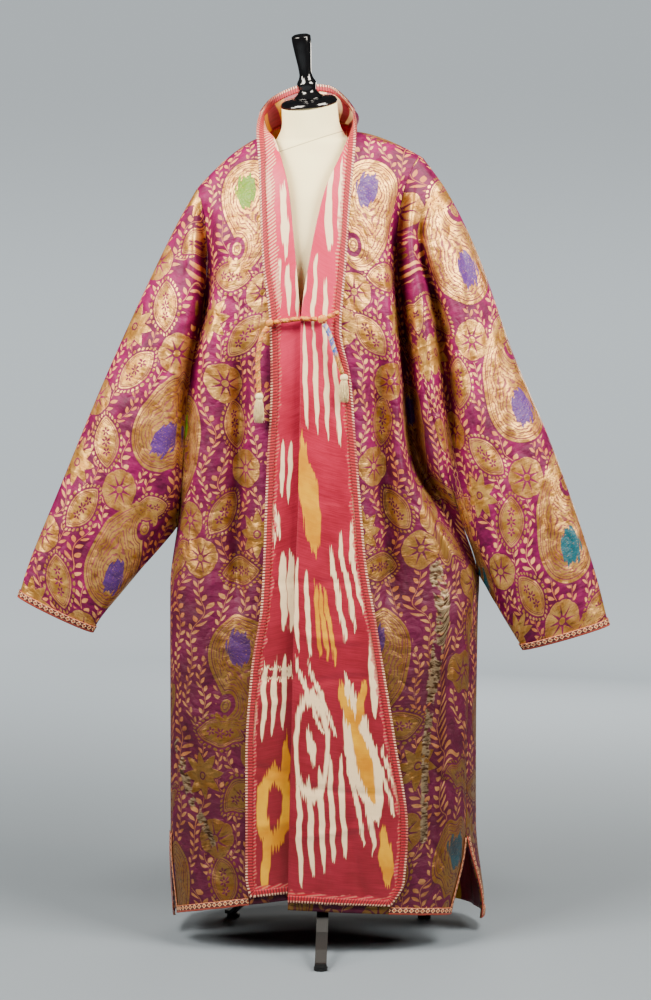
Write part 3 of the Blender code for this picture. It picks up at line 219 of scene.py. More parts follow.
# ---- the fronts
# in: the fold edge, where the front turns back to show the lining.
# out: the armhole down to the underarm (station 1), then the side seam to the hem.
# turn: 0 where the cloth runs straight out into the sleeve, 1 where it turns round the side.
FRONT_COLUMN_NAMES = ("station", "x_in", "y_in", "z_in", "x_out", "y_out", "z_out", "turn")
FRONTS = {
    "right": table(
        FRONT_COLUMN_NAMES,
        (0.00, -0.080, 0.000, 1.410, -0.203, 0.000, 1.318, 0.0),
        (0.05, -0.0745, -0.020, 1.4085, -0.200, -0.019, 1.3160, 0.0),
        (0.10, -0.068, -0.038, 1.402, -0.196, -0.032, 1.302, 0.0),
        (0.20, -0.056, -0.066, 1.370, -0.188, -0.056, 1.262, 0.0),
        (0.32, -0.043, -0.090, 1.318, -0.185, -0.074, 1.208, 0.0),
        (0.46, -0.033, -0.108, 1.225, -0.190, -0.084, 1.120, 0.1),
        (0.60, -0.023, -0.117, 1.110, -0.208, -0.086, 1.035, 0.2),
        (0.75, -0.010, -0.120, 0.980, -0.221, -0.082, 0.935, 0.3),
        (0.90, -0.005, -0.122, 0.850, -0.229, -0.062, 0.810, 0.6),
        (1.00, -0.005, -0.124, 0.765, -0.238, -0.020, 0.731, 0.9),
        (1.15, -0.007, -0.128, 0.650, -0.249, -0.040, 0.625, 0.9),
        (1.50, -0.014, -0.138, 0.400, -0.250, -0.050, 0.390, 0.9),
        (1.80, -0.020, -0.150, 0.195, -0.251, -0.052, 0.180, 0.9),
        (2.00, -0.022, -0.158, 0.100, -0.240, -0.055, 0.048, 0.9),
    ),
    "left": table(
        FRONT_COLUMN_NAMES,
        (0.00, 0.074, 0.000, 1.416, 0.188, 0.000, 1.372, 0.0),
        (0.05, 0.0685, -0.020, 1.4145, 0.179, -0.019, 1.3695, 0.0),
        (0.10, 0.062, -0.038, 1.408, 0.168, -0.032, 1.350, 0.0),
        (0.20, 0.046, -0.067, 1.374, 0.153, -0.057, 1.305, 0.0),
        (0.32, 0.020, -0.093, 1.318, 0.143, -0.076, 1.225, 0.0),
        (0.46, -0.006, -0.114, 1.205, 0.159, -0.087, 1.115, 0.1),
        (0.60, -0.022, -0.128, 1.085, 0.187, -0.089, 0.990, 0.2),
        (0.75, -0.024, -0.132, 0.930, 0.221, -0.083, 0.865, 0.3),
        (0.90, -0.027, -0.135, 0.780, 0.258, -0.062, 0.740, 0.6),
        (1.00, -0.031, -0.138, 0.680, 0.286, -0.020, 0.648, 0.9),
        (1.15, -0.034, -0.142, 0.590, 0.275, -0.045, 0.572, 0.9),
        (1.50, -0.039, -0.152, 0.375, 0.268, -0.055, 0.360, 0.9),
        (1.78, -0.043, -0.163, 0.205, 0.266, -0.058, 0.186, 0.9),
        (2.00, -0.045, -0.170, 0.083, 0.238, -0.085, 0.054, 0.9),
    ),
}
# ---- the back
BACK_EDGES = {
    "right": table(
        ("station", "x_out", "y_out", "z_out", "turn"),
        (0.00, -0.203, 0.000, 1.318, 0.0),
        (0.05, -0.201, 0.019, 1.3165, 0.0),
        (0.10, -0.198, 0.032, 1.304, 0.0),
        (0.20, -0.192, 0.056, 1.266, 0.0),
        (0.32, -0.188, 0.073, 1.208, 0.0),
        (0.46, -0.192, 0.082, 1.120, 0.1),
        (0.60, -0.206, 0.084, 1.035, 0.2),
        (0.75, -0.220, 0.079, 0.935, 0.3),
        (0.90, -0.229, 0.060, 0.810, 0.6),
        (1.00, -0.238, 0.020, 0.731, 0.9),
        (1.15, -0.247, 0.052, 0.625, 0.9),
        (1.50, -0.244, 0.070, 0.390, 0.9),
        (1.80, -0.243, 0.076, 0.180, 0.9),
        (2.00, -0.242, 0.080, 0.036, 0.9),
    ),
    "left": table(
        ("station", "x_out", "y_out", "z_out", "turn"),
        (0.00, 0.188, 0.000, 1.372, 0.0),
        (0.05, 0.181, 0.019, 1.3700, 0.0),
        (0.10, 0.172, 0.032, 1.352, 0.0),
        (0.20, 0.160, 0.057, 1.306, 0.0),
        (0.32, 0.154, 0.076, 1.225, 0.0),
        (0.46, 0.166, 0.087, 1.115, 0.1),
        (0.60, 0.190, 0.089, 0.990, 0.2),
        (0.75, 0.222, 0.083, 0.865, 0.3),
        (0.90, 0.258, 0.062, 0.740, 0.6),
        (1.00, 0.286, 0.020, 0.648, 0.9),
        (1.15, 0.279, 0.052, 0.572, 0.9),
        (1.50, 0.276, 0.070, 0.360, 0.9),
        (1.78, 0.277, 0.078, 0.186, 0.9),
        (2.00, 0.290, 0.082, 0.026, 0.9),
    ),
}
BACK_CENTRE = table(
    ("station", "x", "y", "z"),
    (0.00, -0.003, 0.064, 1.438),
    (0.05, -0.003, 0.078, 1.434),
    (0.10, -0.002, 0.089, 1.414),
    (0.20, -0.002, 0.101, 1.358),
    (0.32, 0.000, 0.113, 1.295),
    (0.46, 0.000, 0.122, 1.190),
    (0.60, 0.002, 0.126, 1.070),
    (0.75, 0.005, 0.129, 0.935),
    (0.90, 0.008, 0.132, 0.790),
    (1.00, 0.010, 0.134, 0.700),
    (1.15, 0.012, 0.138, 0.600),
    (1.50, 0.015, 0.147, 0.375),
    (1.80, 0.016, 0.157, 0.185),
    (2.00, 0.016, 0.164, 0.034),
)
NECK_SHARE = 0.40         # share of the back's top edge that is neckline

# ---- folds
# A valley squeezes the garment towards its middle plane: share is how far, 0 to 1.
VALLEY_COLUMN_NAMES = ("z", "x", "half_width", "share")
FRONT_VALLEYS = (
    table(  # the right armhole
        VALLEY_COLUMN_NAMES,
        (0.700, -0.236, 0.016, 0.00), (0.800, -0.229, 0.016, 0.20), (0.935, -0.221, 0.016, 0.42),
        (1.035, -0.208, 0.015, 0.55), (1.120, -0.192, 0.014, 0.66), (1.208, -0.185, 0.014, 0.72),
        (1.262, -0.188, 0.014, 0.52), (1.305, -0.196, 0.014, 0.00),
    ),
    table(  # the left armhole
        VALLEY_COLUMN_NAMES,
        (0.640, 0.288, 0.016, 0.00), (0.700, 0.264, 0.018, 0.42), (0.770, 0.222, 0.020, 0.62),
        (0.865, 0.176, 0.018, 0.74),
        (0.990, 0.162, 0.015, 0.82), (1.115, 0.150, 0.014, 0.82), (1.225, 0.143, 0.014, 0.74),
        (1.305, 0.153, 0.015, 0.40), (1.355, 0.168, 0.014, 0.00),
    ),
    table(  # between the hanging fold and the front of the left sleeve
        VALLEY_COLUMN_NAMES,
        (0.700, 0.254, 0.020, 0.00), (0.780, 0.250, 0.020, 0.24), (0.870, 0.242, 0.018, 0.46),
        (0.990, 0.229, 0.016, 0.62), (1.100, 0.214, 0.013, 0.62), (1.245, 0.182, 0.011, 0.42),
        (1.320, 0.190, 0.012, 0.00),
    ),
)
BACK_VALLEYS = (
    table(  # the right armhole
        VALLEY_COLUMN_NAMES,
        (0.700, -0.236, 0.016, 0.00), (0.935, -0.220, 0.018, 0.40), (1.120, -0.192, 0.018, 0.50),
        (1.230, -0.189, 0.016, 0.35), (1.300, -0.196, 0.014, 0.00),
    ),
    table(  # the left armhole
        VALLEY_COLUMN_NAMES,
        (0.640, 0.286, 0.016, 0.00), (0.865, 0.192, 0.018, 0.50), (1.115, 0.162, 0.018, 0.50),
        (1.270, 0.157, 0.016, 0.30), (1.350, 0.170, 0.014, 0.00),
    ),
)
# A soft fold runs down a panel from top to low; depth is inwards, less than 0 for a ridge.
FOLD_COLUMN_NAMES = ("x_top", "z_top", "x_low", "z_low", "half_width", "depth")
FRONT_FOLDS = table(
    FOLD_COLUMN_NAMES,
    (0.106, 1.080, 0.136, 0.560, 0.021, 0.034),      # beside the left revers
    (0.140, 1.160, 0.152, 0.760, 0.016, -0.010),     # the left chest's edge
    (0.214, 0.640, 0.206, 0.120, 0.016, 0.012),
    (0.242, 0.560, 0.232, 0.060, 0.014, -0.006),
    (-0.150, 1.225, -0.200, 1.075, 0.012, 0.014),    # across the right shoulder
    (-0.124, 1.090, -0.136, 0.560, 0.019, 0.032),    # beside the right revers
    (-0.170, 0.980, -0.185, 0.420, 0.018, -0.008),
    (-0.226, 0.420, -0.170, 0.110, 0.014, 0.012),    # the low slanted crease
)
BACK_FOLDS = table(
    FOLD_COLUMN_NAMES,
    (-0.110, 1.120, -0.130, 0.180, 0.024, 0.022),
    (-0.052, 1.020, -0.060, 0.120, 0.022, -0.012),
    (0.012, 1.150, 0.020, 0.060, 0.026, 0.016),
    (0.085, 1.060, 0.092, 0.200, 0.022, -0.012),
    (0.124, 1.100, 0.160, 0.150, 0.024, 0.024),
    (0.205, 0.560, 0.222, 0.050, 0.018, -0.010),
)
# ---- revers, collar and sleeves
# x of the outer, braided edge of the turned-back lining at each station
REVERS_EDGE = {
    "right": table(("station", "x"), (0.00, -0.122), (0.20, -0.094), (0.46, -0.086), (0.60, -0.075),
                   (0.72, -0.073), (0.90, -0.080), (1.20, -0.090), (1.36, -0.107), (1.58, -0.117),
                   (1.90, -0.117), (2.00, -0.106)),
    "left": table(("station", "x"), (0.00, 0.112), (0.20, 0.070), (0.46, 0.053), (0.58, 0.046),
                  (0.66, 0.062), (0.80, 0.073), (0.94, 0.084), (1.20, 0.110), (1.50, 0.140),
                  (1.74, 0.161), (1.90, 0.155), (2.00, 0.122)),
}
REVERS_LOW = 1.975        # station where the turned-back lining ends
HEM_BARE = 0.006          # the front's hem braid starts this far past the revers
GORE_CORNER = {"right": (-0.008, 0.035, -0.014), "left": (0.058, 0.075, -0.028)}
GORE_BULGE = {"right": 0.05, "left": 0.12}        # share of the gore's width
# the collar's rim stands up from the neckline and comes down to lie on the chest
RIM = {
    "right": table(("station", "x", "y", "z"), (0.00, -0.093, -0.004, 1.452),
                   (0.10, -0.096, -0.044, 1.428), (0.20, -0.092, -0.078, 1.378),
                   (0.32, -0.088, -0.100, 1.300)),
    "left": table(("station", "x", "y", "z"), (0.00, 0.070, -0.004, 1.456),
                  (0.10, 0.068, -0.046, 1.428), (0.20, 0.066, -0.080, 1.378),
                  (0.32, 0.060, -0.102, 1.300)),
}
COLLAR_SEAT = 0.0004      # the collar's lower edge above the neckline
STAND_ENDS = 0.32         # station below which the revers lies on the front
COLLAR_RIM = table(       # share: 0 at the right neck point, 1 at the left
    ("share", "x", "y", "z"),
    (0.00, -0.093, -0.004, 1.452), (0.20, -0.078, 0.036, 1.474), (0.35, -0.050, 0.062, 1.492),
    (0.50, -0.012, 0.078, 1.503), (0.65, 0.026, 0.070, 1.500), (0.80, 0.055, 0.040, 1.478),
    (1.00, 0.070, -0.004, 1.456),
)
SLEEVE_NAMES = ("share", "x_top", "z_top", "x_low", "z_low", "y_middle", "half_depth")
SLEEVES = {
    "right": table(
        SLEEVE_NAMES,
        (0.00, -0.203, 1.318, -0.238, 0.731, 0.000, 0.086),
        (0.06, -0.233, 1.266, -0.247, 0.719, 0.000, 0.086),
        (0.18, -0.286, 1.160, -0.265, 0.699, -0.002, 0.080),
        (0.40, -0.366, 0.986, -0.302, 0.657, -0.006, 0.066),
        (0.65, -0.441, 0.808, -0.341, 0.611, -0.012, 0.050),
        (0.90, -0.505, 0.652, -0.377, 0.567, -0.018, 0.034),
        (1.00, -0.519, 0.606, -0.391, 0.544, -0.020, 0.5 * CUFF_DEPTH),
    ),
    "left": table(
        SLEEVE_NAMES,
        (0.00, 0.188, 1.372, 0.286, 0.648, 0.000, 0.090),
        (0.06, 0.230, 1.314, 0.293, 0.637, 0.000, 0.092),
        (0.16, 0.280, 1.215, 0.303, 0.621, -0.002, 0.088),
        (0.36, 0.348, 1.030, 0.319, 0.594, -0.006, 0.072),
        (0.60, 0.419, 0.863, 0.336, 0.566, -0.012, 0.054),
        (0.88, 0.496, 0.640, 0.358, 0.530, -0.018, 0.035),
        (1.00, 0.518, 0.556, 0.369, 0.513, -0.020, 0.5 * CUFF_DEPTH),
    ),
}
# ---- dress form and stand
FORM = table(             # half sizes; lean: how far the ring tips, in degrees
    ("z", "x", "y", "half_width", "half_depth", "lean_left", "lean_forward"),
    (0.720, 0.010, 0.000, 0.128, 0.092, 0, 0),
    (0.735, 0.010, 0.000, 0.142, 0.100, 0, 0),
    (0.830, 0.008, 0.000, 0.158, 0.106, 0, 0),
    (0.920, 0.006, 0.000, 0.146, 0.098, 0, 0),
    (1.030, 0.002, -0.002, 0.118, 0.084, 0, 0),
    (1.130, 0.000, -0.004, 0.134, 0.094, 0, 0),
    (1.210, -0.002, -0.002, 0.138, 0.098, 0, 0),
    (1.290, -0.003, 0.002, 0.140, 0.086, 0, 0),
    (1.342, -0.004, 0.004, 0.130, 0.066, 0, 0),
    (1.374, -0.004, 0.002, 0.102, 0.054, 1, 1),
    (1.392, -0.004, 0.000, 0.076, 0.050, 2, 3),
    (1.406, -0.005, -0.001, 0.058, 0.048, 3, 6),
    (1.428, -0.006, -0.003, 0.0495, 0.047, 5, 9),
    (1.458, -0.008, -0.006, 0.0480, 0.0465, 7, 12),
)
CAP_PROFILE = ((0.0, 0.0130), (0.0200, 0.0130), (0.0420, 0.0105), (0.0480, 0.0070), (0.0495, 0.0030),
               (0.0480, 0.0), (0.0, 0.0))
FINIAL_PROFILE = ((0.0, 0.1080), (0.0120, 0.1080), (0.0165, 0.1045), (0.0165, 0.1000),
                  (0.0150, 0.0830), (0.0108, 0.0400), (0.0125, 0.0330), (0.0168, 0.0240),
                  (0.0150, 0.0130), (0.0190, 0.0060), (0.0260, 0.0), (0.0, 0.0))
print("tables for", len(FRONTS), "fronts, a back,", len(SLEEVES), "sleeves and a collar")

# %% [markdown]
# ## Fine creases, placed one by one
# Each row is one crease seen from the front: where it starts and ends across and up, how far
# its middle bows to one side, its half width, its depth (less than 0 for a raised ridge) and
# how much steeper one flank is than the other.  No two are alike, as in pulled silk.

# %% Tables of creases (x_0, z_0, x_1, z_1, bow, half_width, depth, steep)
FRONT_CREASES = (
    # right chest and shoulder
    (-0.196, 1.262, -0.110, 1.338, 0.004, 0.0050, 0.0022, 0.3),
    (-0.186, 1.236, -0.120, 1.270, -0.003, 0.0045, 0.0018, -0.2),
    (-0.200, 1.196, -0.138, 1.246, 0.006, 0.0060, -0.0020, 0.2),
    (-0.178, 1.160, -0.100, 1.105, 0.005, 0.0060, 0.0024, 0.3),
    (-0.194, 1.120, -0.128, 1.050, -0.006, 0.0070, 0.0026, -0.3),
    (-0.156, 1.190, -0.112, 1.165, 0.002, 0.0040, -0.0014, 0.1),
    # right skirt
    (-0.200, 1.020, -0.188, 0.860, 0.004, 0.0070, 0.0026, 0.2),
    (-0.112, 1.010, -0.108, 0.860, -0.003, 0.0060, -0.0022, 0.1),
    (-0.215, 0.900, -0.196, 0.640, 0.006, 0.0080, 0.0030, -0.2),
    (-0.160, 0.760, -0.172, 0.420, -0.005, 0.0085, 0.0030, 0.3),
    (-0.232, 0.640, -0.222, 0.330, 0.003, 0.0070, -0.0022, 0.2),
    (-0.140, 0.520, -0.150, 0.200, 0.004, 0.0080, -0.0028, -0.2),
    (-0.238, 0.300, -0.196, 0.120, -0.006, 0.0070, 0.0030, 0.3),
    (-0.222, 0.250, -0.160, 0.085, 0.005, 0.0060, -0.0026, 0.1),
    (-0.150, 0.150, -0.120, 0.070, 0.002, 0.0050, 0.0024, 0.2),
    (-0.205, 0.180, -0.180, 0.070, 0.003, 0.0050, 0.0020, -0.3),
    # right revers, short pulls across it
    (-0.086, 1.085, -0.014, 1.082, 0.003, 0.0040, 0.0022, 0.2),
    (-0.080, 0.640, -0.016, 0.646, -0.004, 0.0035, 0.0020, 0.3),
    (-0.104, 0.478, -0.020, 0.492, 0.005, 0.0050, 0.0022, -0.2),
    (-0.108, 0.430, -0.030, 0.440, -0.003, 0.0040, -0.0016, 0.2),
    (-0.112, 0.330, -0.026, 0.318, 0.003, 0.0050, 0.0018, 0.1),
    (-0.110, 0.220, -0.024, 0.232, -0.003, 0.0040, -0.0016, 0.2),
    (-0.082, 0.960, -0.010, 0.952, 0.002, 0.0035, 0.0014, 0.2),
    (-0.078, 0.850, -0.010, 0.842, -0.002, 0.0035, -0.0012, 0.2),
    # left chest and shoulder
    (0.084, 1.352, 0.128, 1.392, 0.003, 0.0045, 0.0024, 0.4),
    (0.072, 1.290, 0.140, 1.322, -0.004, 0.0050, 0.0020, 0.2),
    (0.068, 1.205, 0.128, 1.168, 0.004, 0.0055, 0.0022, -0.2),
    (0.060, 1.130, 0.122, 1.080, 0.006, 0.0060, 0.0026, 0.3),
    (0.076, 1.050, 0.150, 0.985, -0.005, 0.0060, 0.0024, 0.2),
    (0.066, 0.990, 0.132, 0.920, 0.004, 0.0065, -0.0022, 0.1),
    # left skirt
    (0.160, 0.930, 0.178, 0.640, 0.006, 0.0080, 0.0030, 0.3),
    (0.098, 0.860, 0.118, 0.560, -0.004, 0.0070, -0.0024, 0.2),
    (0.196, 0.800, 0.252, 0.600, 0.006, 0.0075, 0.0028, -0.3),
    (0.186, 0.560, 0.176, 0.250, 0.005, 0.0080, 0.0030, 0.2),
    (0.150, 0.470, 0.160, 0.180, -0.004, 0.0070, -0.0024, 0.3),
    (0.226, 0.500, 0.218, 0.330, 0.003, 0.0055, 0.0026, 0.1),
    (0.200, 0.330, 0.240, 0.280, 0.002, 0.0050, 0.0022, 0.2),
    (0.196, 0.200, 0.236, 0.120, -0.003, 0.0050, 0.0026, -0.2),
    (0.172, 0.150, 0.186, 0.068, 0.002, 0.0055, -0.0022, 0.2),
    # left revers
    (-0.020, 1.082, 0.052, 1.094, -0.003, 0.0042, 0.0024, 0.3),
    (-0.022, 0.800, 0.062, 0.788, 0.003, 0.0040, 0.0014, 0.2),
    (-0.026, 0.648, 0.086, 0.642, -0.002, 0.0036, 0.0018, 0.2),
    (-0.028, 0.560, 0.096, 0.548, 0.005, 0.0060, -0.0018, 0.1),
    (-0.030, 0.470, 0.110, 0.482, -0.004, 0.0050, 0.0018, -0.2),
    (-0.034, 0.300, 0.140, 0.280, 0.005, 0.0060, 0.0020, 0.2),
    (-0.036, 0.210, 0.120, 0.236, 0.004, 0.0050, -0.0018, 0.3),
    (0.060, 0.240, 0.092, 0.080, 0.004, 0.0080, 0.0030, 0.2),
    (0.010, 0.200, 0.022, 0.080, -0.003, 0.0070, -0.0024, 0.2),
    (0.026, 1.010, 0.050, 0.900, 0.004, 0.0060, 0.0022, 0.2),
)
BACK_CREASES = (
    (-0.170, 1.270, -0.070, 1.230, 0.006, 0.0070, 0.0026, 0.3),
    (0.080, 1.260, 0.150, 1.300, -0.005, 0.0060, 0.0022, 0.2),
    (-0.120, 1.330, -0.030, 1.385, 0.004, 0.0050, 0.0018, -0.2),
    (-0.175, 1.130, -0.120, 0.940, 0.006, 0.0080, 0.0030, 0.2),
    (0.150, 1.090, 0.175, 0.840, -0.006, 0.0085, 0.0030, -0.2),
    (-0.080, 0.930, -0.090, 0.560, 0.005, 0.0080, 0.0030, 0.3),
    (0.045, 0.980, 0.056, 0.640, -0.004, 0.0070, -0.0026, 0.1),
    (-0.016, 0.760, -0.022, 0.330, 0.004, 0.0080, -0.0028, 0.2),
    (0.170, 0.720, 0.196, 0.340, 0.006, 0.0085, 0.0032, 0.2),
    (-0.190, 0.720, -0.200, 0.330, -0.005, 0.0080, 0.0030, -0.3),
    (-0.150, 0.420, -0.160, 0.120, 0.005, 0.0075, -0.0028, 0.2),
    (0.090, 0.470, 0.110, 0.120, -0.005, 0.0080, 0.0030, 0.3),
    (-0.050, 0.300, -0.038, 0.070, 0.003, 0.0070, 0.0028, 0.2),
    (0.235, 0.330, 0.250, 0.080, 0.003, 0.0070, 0.0026, -0.2),
    (0.150, 0.260, 0.130, 0.070, 0.004, 0.0060, -0.0024, 0.1),
    (-0.215, 0.240, -0.190, 0.070, -0.003, 0.0060, 0.0024, 0.2),
    (-0.070, 1.130, 0.020, 1.100, 0.006, 0.0080, 0.0020, 0.2),
)
SLEEVE_CREASES = {
    "right": (
        (-0.222, 1.240, -0.206, 1.050, 0.006, 0.0080, 0.0050, 0.3),
        (-0.214, 1.262, -0.232, 1.085, -0.004, 0.0060, -0.0034, 0.2),
        (-0.262, 1.150, -0.240, 0.960, 0.006, 0.0075, 0.0036, -0.2),
        (-0.226, 1.020, -0.262, 0.800, -0.006, 0.0080, 0.0042, 0.3),
        (-0.300, 1.060, -0.286, 0.860, 0.005, 0.0080, -0.0032, 0.1),
        (-0.335, 0.950, -0.318, 0.740, 0.006, 0.0085, 0.0040, 0.2),
        (-0.270, 0.860, -0.318, 0.690, -0.004, 0.0065, 0.0030, 0.3),
        (-0.380, 0.850, -0.362, 0.660, 0.005, 0.0075, -0.0030, -0.3),
        (-0.415, 0.790, -0.402, 0.620, -0.004, 0.0070, 0.0034, 0.2),
        (-0.452, 0.720, -0.440, 0.600, 0.003, 0.0060, 0.0028, 0.2),
        (-0.345, 0.760, -0.392, 0.640, 0.003, 0.0050, -0.0022, 0.1),
        (-0.480, 0.660, -0.430, 0.640, 0.003, 0.0045, 0.0022, 0.2),
        (-0.470, 0.620, -0.410, 0.600, -0.003, 0.0040, 0.0018, 0.2),
        (-0.246, 1.165, -0.220, 1.150, 0.002, 0.0040, 0.0020, 0.2),
        (-0.290, 1.000, -0.262, 0.985, 0.002, 0.0045, 0.0022, 0.2),
        (-0.400, 0.740, -0.370, 0.715, 0.002, 0.0045, 0.0020, -0.2),
    ),
    "left": (
        (0.210, 1.290, 0.222, 1.120, 0.006, 0.0075, 0.0050, 0.3),
        (0.240, 1.240, 0.258, 1.050, -0.005, 0.0080, -0.0036, 0.2),
        (0.262, 1.150, 0.282, 0.930, 0.006, 0.0080, 0.0042, -0.2),
        (0.300, 1.120, 0.318, 0.930, 0.005, 0.0075, 0.0032, 0.2),
        (0.284, 0.960, 0.304, 0.720, -0.005, 0.0085, -0.0036, 0.3),
        (0.330, 0.970, 0.352, 0.740, 0.006, 0.0080, 0.0040, 0.2),
        (0.312, 0.800, 0.340, 0.600, 0.004, 0.0075, 0.0034, -0.3),
        (0.372, 0.900, 0.392, 0.700, -0.005, 0.0080, -0.0030, 0.1),
        (0.400, 0.830, 0.420, 0.620, 0.005, 0.0075, 0.0036, 0.2),
        (0.440, 0.740, 0.452, 0.590, -0.004, 0.0060, 0.0028, 0.2),
        (0.372, 0.690, 0.402, 0.560, 0.003, 0.0060, -0.0026, 0.3),
        (0.250, 1.180, 0.290, 1.160, 0.002, 0.0040, 0.0020, 0.2),
        (0.300, 0.870, 0.350, 0.850, 0.003, 0.0045, 0.0022, -0.2),
        (0.400, 0.650, 0.450, 0.640, 0.003, 0.0045, 0.0020, 0.2),
        (0.420, 0.580, 0.470, 0.572, -0.002, 0.0040, 0.0018, 0.2),
    ),
}
SLEEVE_BACK_CREASES = {
    "right": (
        (-0.225, 1.220, -0.232, 0.980, 0.006, 0.0090, 0.0044, 0.3),
        (-0.270, 1.120, -0.262, 0.880, -0.006, 0.0090, 0.0040, 0.2),
        (-0.310, 1.040, -0.320, 0.780, 0.006, 0.0085, -0.0034, -0.2),
        (-0.360, 0.920, -0.372, 0.700, -0.005, 0.0080, 0.0036, 0.2),
        (-0.400, 0.830, -0.420, 0.640, 0.005, 0.0075, 0.0034, 0.3),
        (-0.300, 0.860, -0.350, 0.690, 0.004, 0.0065, 0.0030, 0.2),
        (-0.450, 0.740, -0.450, 0.610, 0.003, 0.0060, -0.0024, 0.2),
    ),
    "left": (
        (0.225, 1.270, 0.236, 1.010, -0.006, 0.0090, 0.0044, 0.3),
        (0.268, 1.150, 0.282, 0.890, 0.006, 0.0090, 0.0040, -0.2),
        (0.310, 1.060, 0.322, 0.780, -0.006, 0.0085, -0.0034, 0.2),
        (0.352, 0.930, 0.372, 0.690, 0.005, 0.0080, 0.0036, 0.2),
        (0.400, 0.850, 0.416, 0.640, -0.005, 0.0075, 0.0034, 0.3),
        (0.330, 0.760, 0.360, 0.600, 0.004, 0.0065, 0.0030, -0.2),
        (0.446, 0.730, 0.452, 0.590, 0.003, 0.0060, -0.0024, 0.2),
    ),
}
print("creases placed:", len(FRONT_CREASES) + len(BACK_CREASES)
      + sum(len(t[side]) for t in (SLEEVE_CREASES, SLEEVE_BACK_CREASES) for side in SIGN))

# %% [markdown]
# ## From tables to surfaces
# A panel is a sheet of points: one number runs across it and the other down it.
# First comes the plain sheet, then valleys that press it towards the middle, then soft folds.
# The finer creases at the end are the small ones that a heavy silk makes where it is pulled.

# %% Plain sheets and folds
def squeeze(point, valleys):
    """Press the cloth towards the middle plane: y becomes y times (1 - share e^-(x/w)^2.5)."""
    keep = np.ones(point.shape[:-1])
    for valley in valleys:
        centre = along(valley["z"], valley["x"], point[..., 2])
        half = along(valley["z"], valley["half_width"], point[..., 2])
        share = along(valley["z"], valley["share"], point[..., 2])
        across = np.abs(point[..., 0] - centre) / half
        keep = keep * (1.0 - share * np.exp(-across**2.5))
    moved = point.copy()
    moved[..., 1] *= keep
    return moved


def soft_folds(point, folds, inward):
    """Add the soft folds, each a bell across its line; inward is +1 in front and -1 behind."""
    moved = point.copy()
    for x_top, z_top, x_low, z_low, half, depth in zip(*(folds[n] for n in FOLD_COLUMN_NAMES)):
        down = (z_top - point[..., 2]) / (z_top - z_low)
        centre = x_top + (x_low - x_top) * down
        inside = ease(down, 0.0, 0.25) * (1.0 - ease(down, 0.78, 1.05))
        moved[..., 1] += inward * depth * inside * np.exp(-((point[..., 0] - centre) / half) ** 2)
    return moved


def line_creases(point, creases, inward):
    """Add creases that run any way: a bell across each line, fading out at both its ends.

    x_0, z_0 and x_1, z_1 are a line's ends, bow bends its middle to one side, and steep
    makes one flank of the trough shorter than the other, as a pulled crease has it.
    """
    moved = point.copy()
    x, z = point[..., 0], point[..., 2]
    for x_0, z_0, x_1, z_1, bow, half, depth, steep in creases:
        run = np.array((x_1 - x_0, z_1 - z_0))
        length = float(np.hypot(*run))
        run /= length
        down = ((x - x_0) * run[0] + (z - z_0) * run[1]) / length
        aside = (x - x_0) * run[1] - (z - z_0) * run[0] - bow * 4.0 * down * (1.0 - down)
        width = half * (1.0 + steep * np.tanh(aside / half))
        ends = ease(down, -0.06, 0.22) * (1.0 - ease(down, 0.74, 1.06))
        moved[..., 1] += inward * depth * ends * np.exp(-(aside / width) ** 2)
    return moved


def section(across, turn):
    """How far x and depth have gone at a share of the way across, for each turn."""
    angle = 0.5 * math.pi * across
    straight_x, straight_y = across, across**2 * (1.4 - 0.4 * across)
    round_x, round_y = np.sin(angle) ** 0.92, 1.0 - np.cos(angle) ** 0.92
    return straight_x + (round_x - straight_x) * turn, straight_y + (round_y - straight_y) * turn


def fold_front(point):
    """The front's valleys and folds, and its half of the seam gap."""
    point = soft_folds(squeeze(point, FRONT_VALLEYS), FRONT_FOLDS, 1.0)
    return point - (0.0, 0.5 * SEAM_GAP, 0.0)


def fold_back(point):
    """The back's valleys and folds, and its half of the seam gap."""
    point = soft_folds(squeeze(point, BACK_VALLEYS), BACK_FOLDS, -1.0)
    return point + (0.0, 0.5 * SEAM_GAP, 0.0)


def front_plain(side, across, station):
    """A front before its folds; across runs from the fold edge, 0, to the outer seam, 1."""
    across, station = np.broadcast_arrays(np.clip(across, 0.0, 1.0), np.asarray(station, float))
    edges = FRONTS[side]
    at = {name: along(edges["station"], edges[name], station) for name in FRONT_COLUMN_NAMES[1:]}
    go_x, go_y = section(across, at["turn"])
    drop = across ** (1.0 + 0.5 * (1.0 - ease(station, 0.0, 0.4)))
    return np.stack([at["x_in"] + (at["x_out"] - at["x_in"]) * go_x,
                     at["y_in"] + (at["y_out"] - at["y_in"]) * go_y,
                     at["z_in"] + (at["z_out"] - at["z_in"]) * drop], axis=-1)


def front_surface(side, across, station):
    """A front with its folds and its fine creases, which fade out at the outer seam."""
    across, station = np.broadcast_arrays(np.clip(across, 0.0, 1.0), np.asarray(station, float))
    folded = fold_front(front_plain(side, across, station))
    creased = line_creases(folded, FRONT_CREASES, 1.0)
    inside = (1.0 - ease(across, 0.90, 1.0)) * ease(station, 0.03, 0.14)
    return folded + (creased - folded) * inside[..., None]


def shoulder_line(side, share):
    """The shoulder seam from the neck point (0) to the armhole (1)."""
    edges = FRONTS[side]
    return np.stack([edges["x_in"][0] + (edges["x_out"][0] - edges["x_in"][0]) * share,
                     np.zeros_like(share),
                     edges["z_in"][0] + (edges["z_out"][0] - edges["z_in"][0]) * share**1.5], axis=-1)


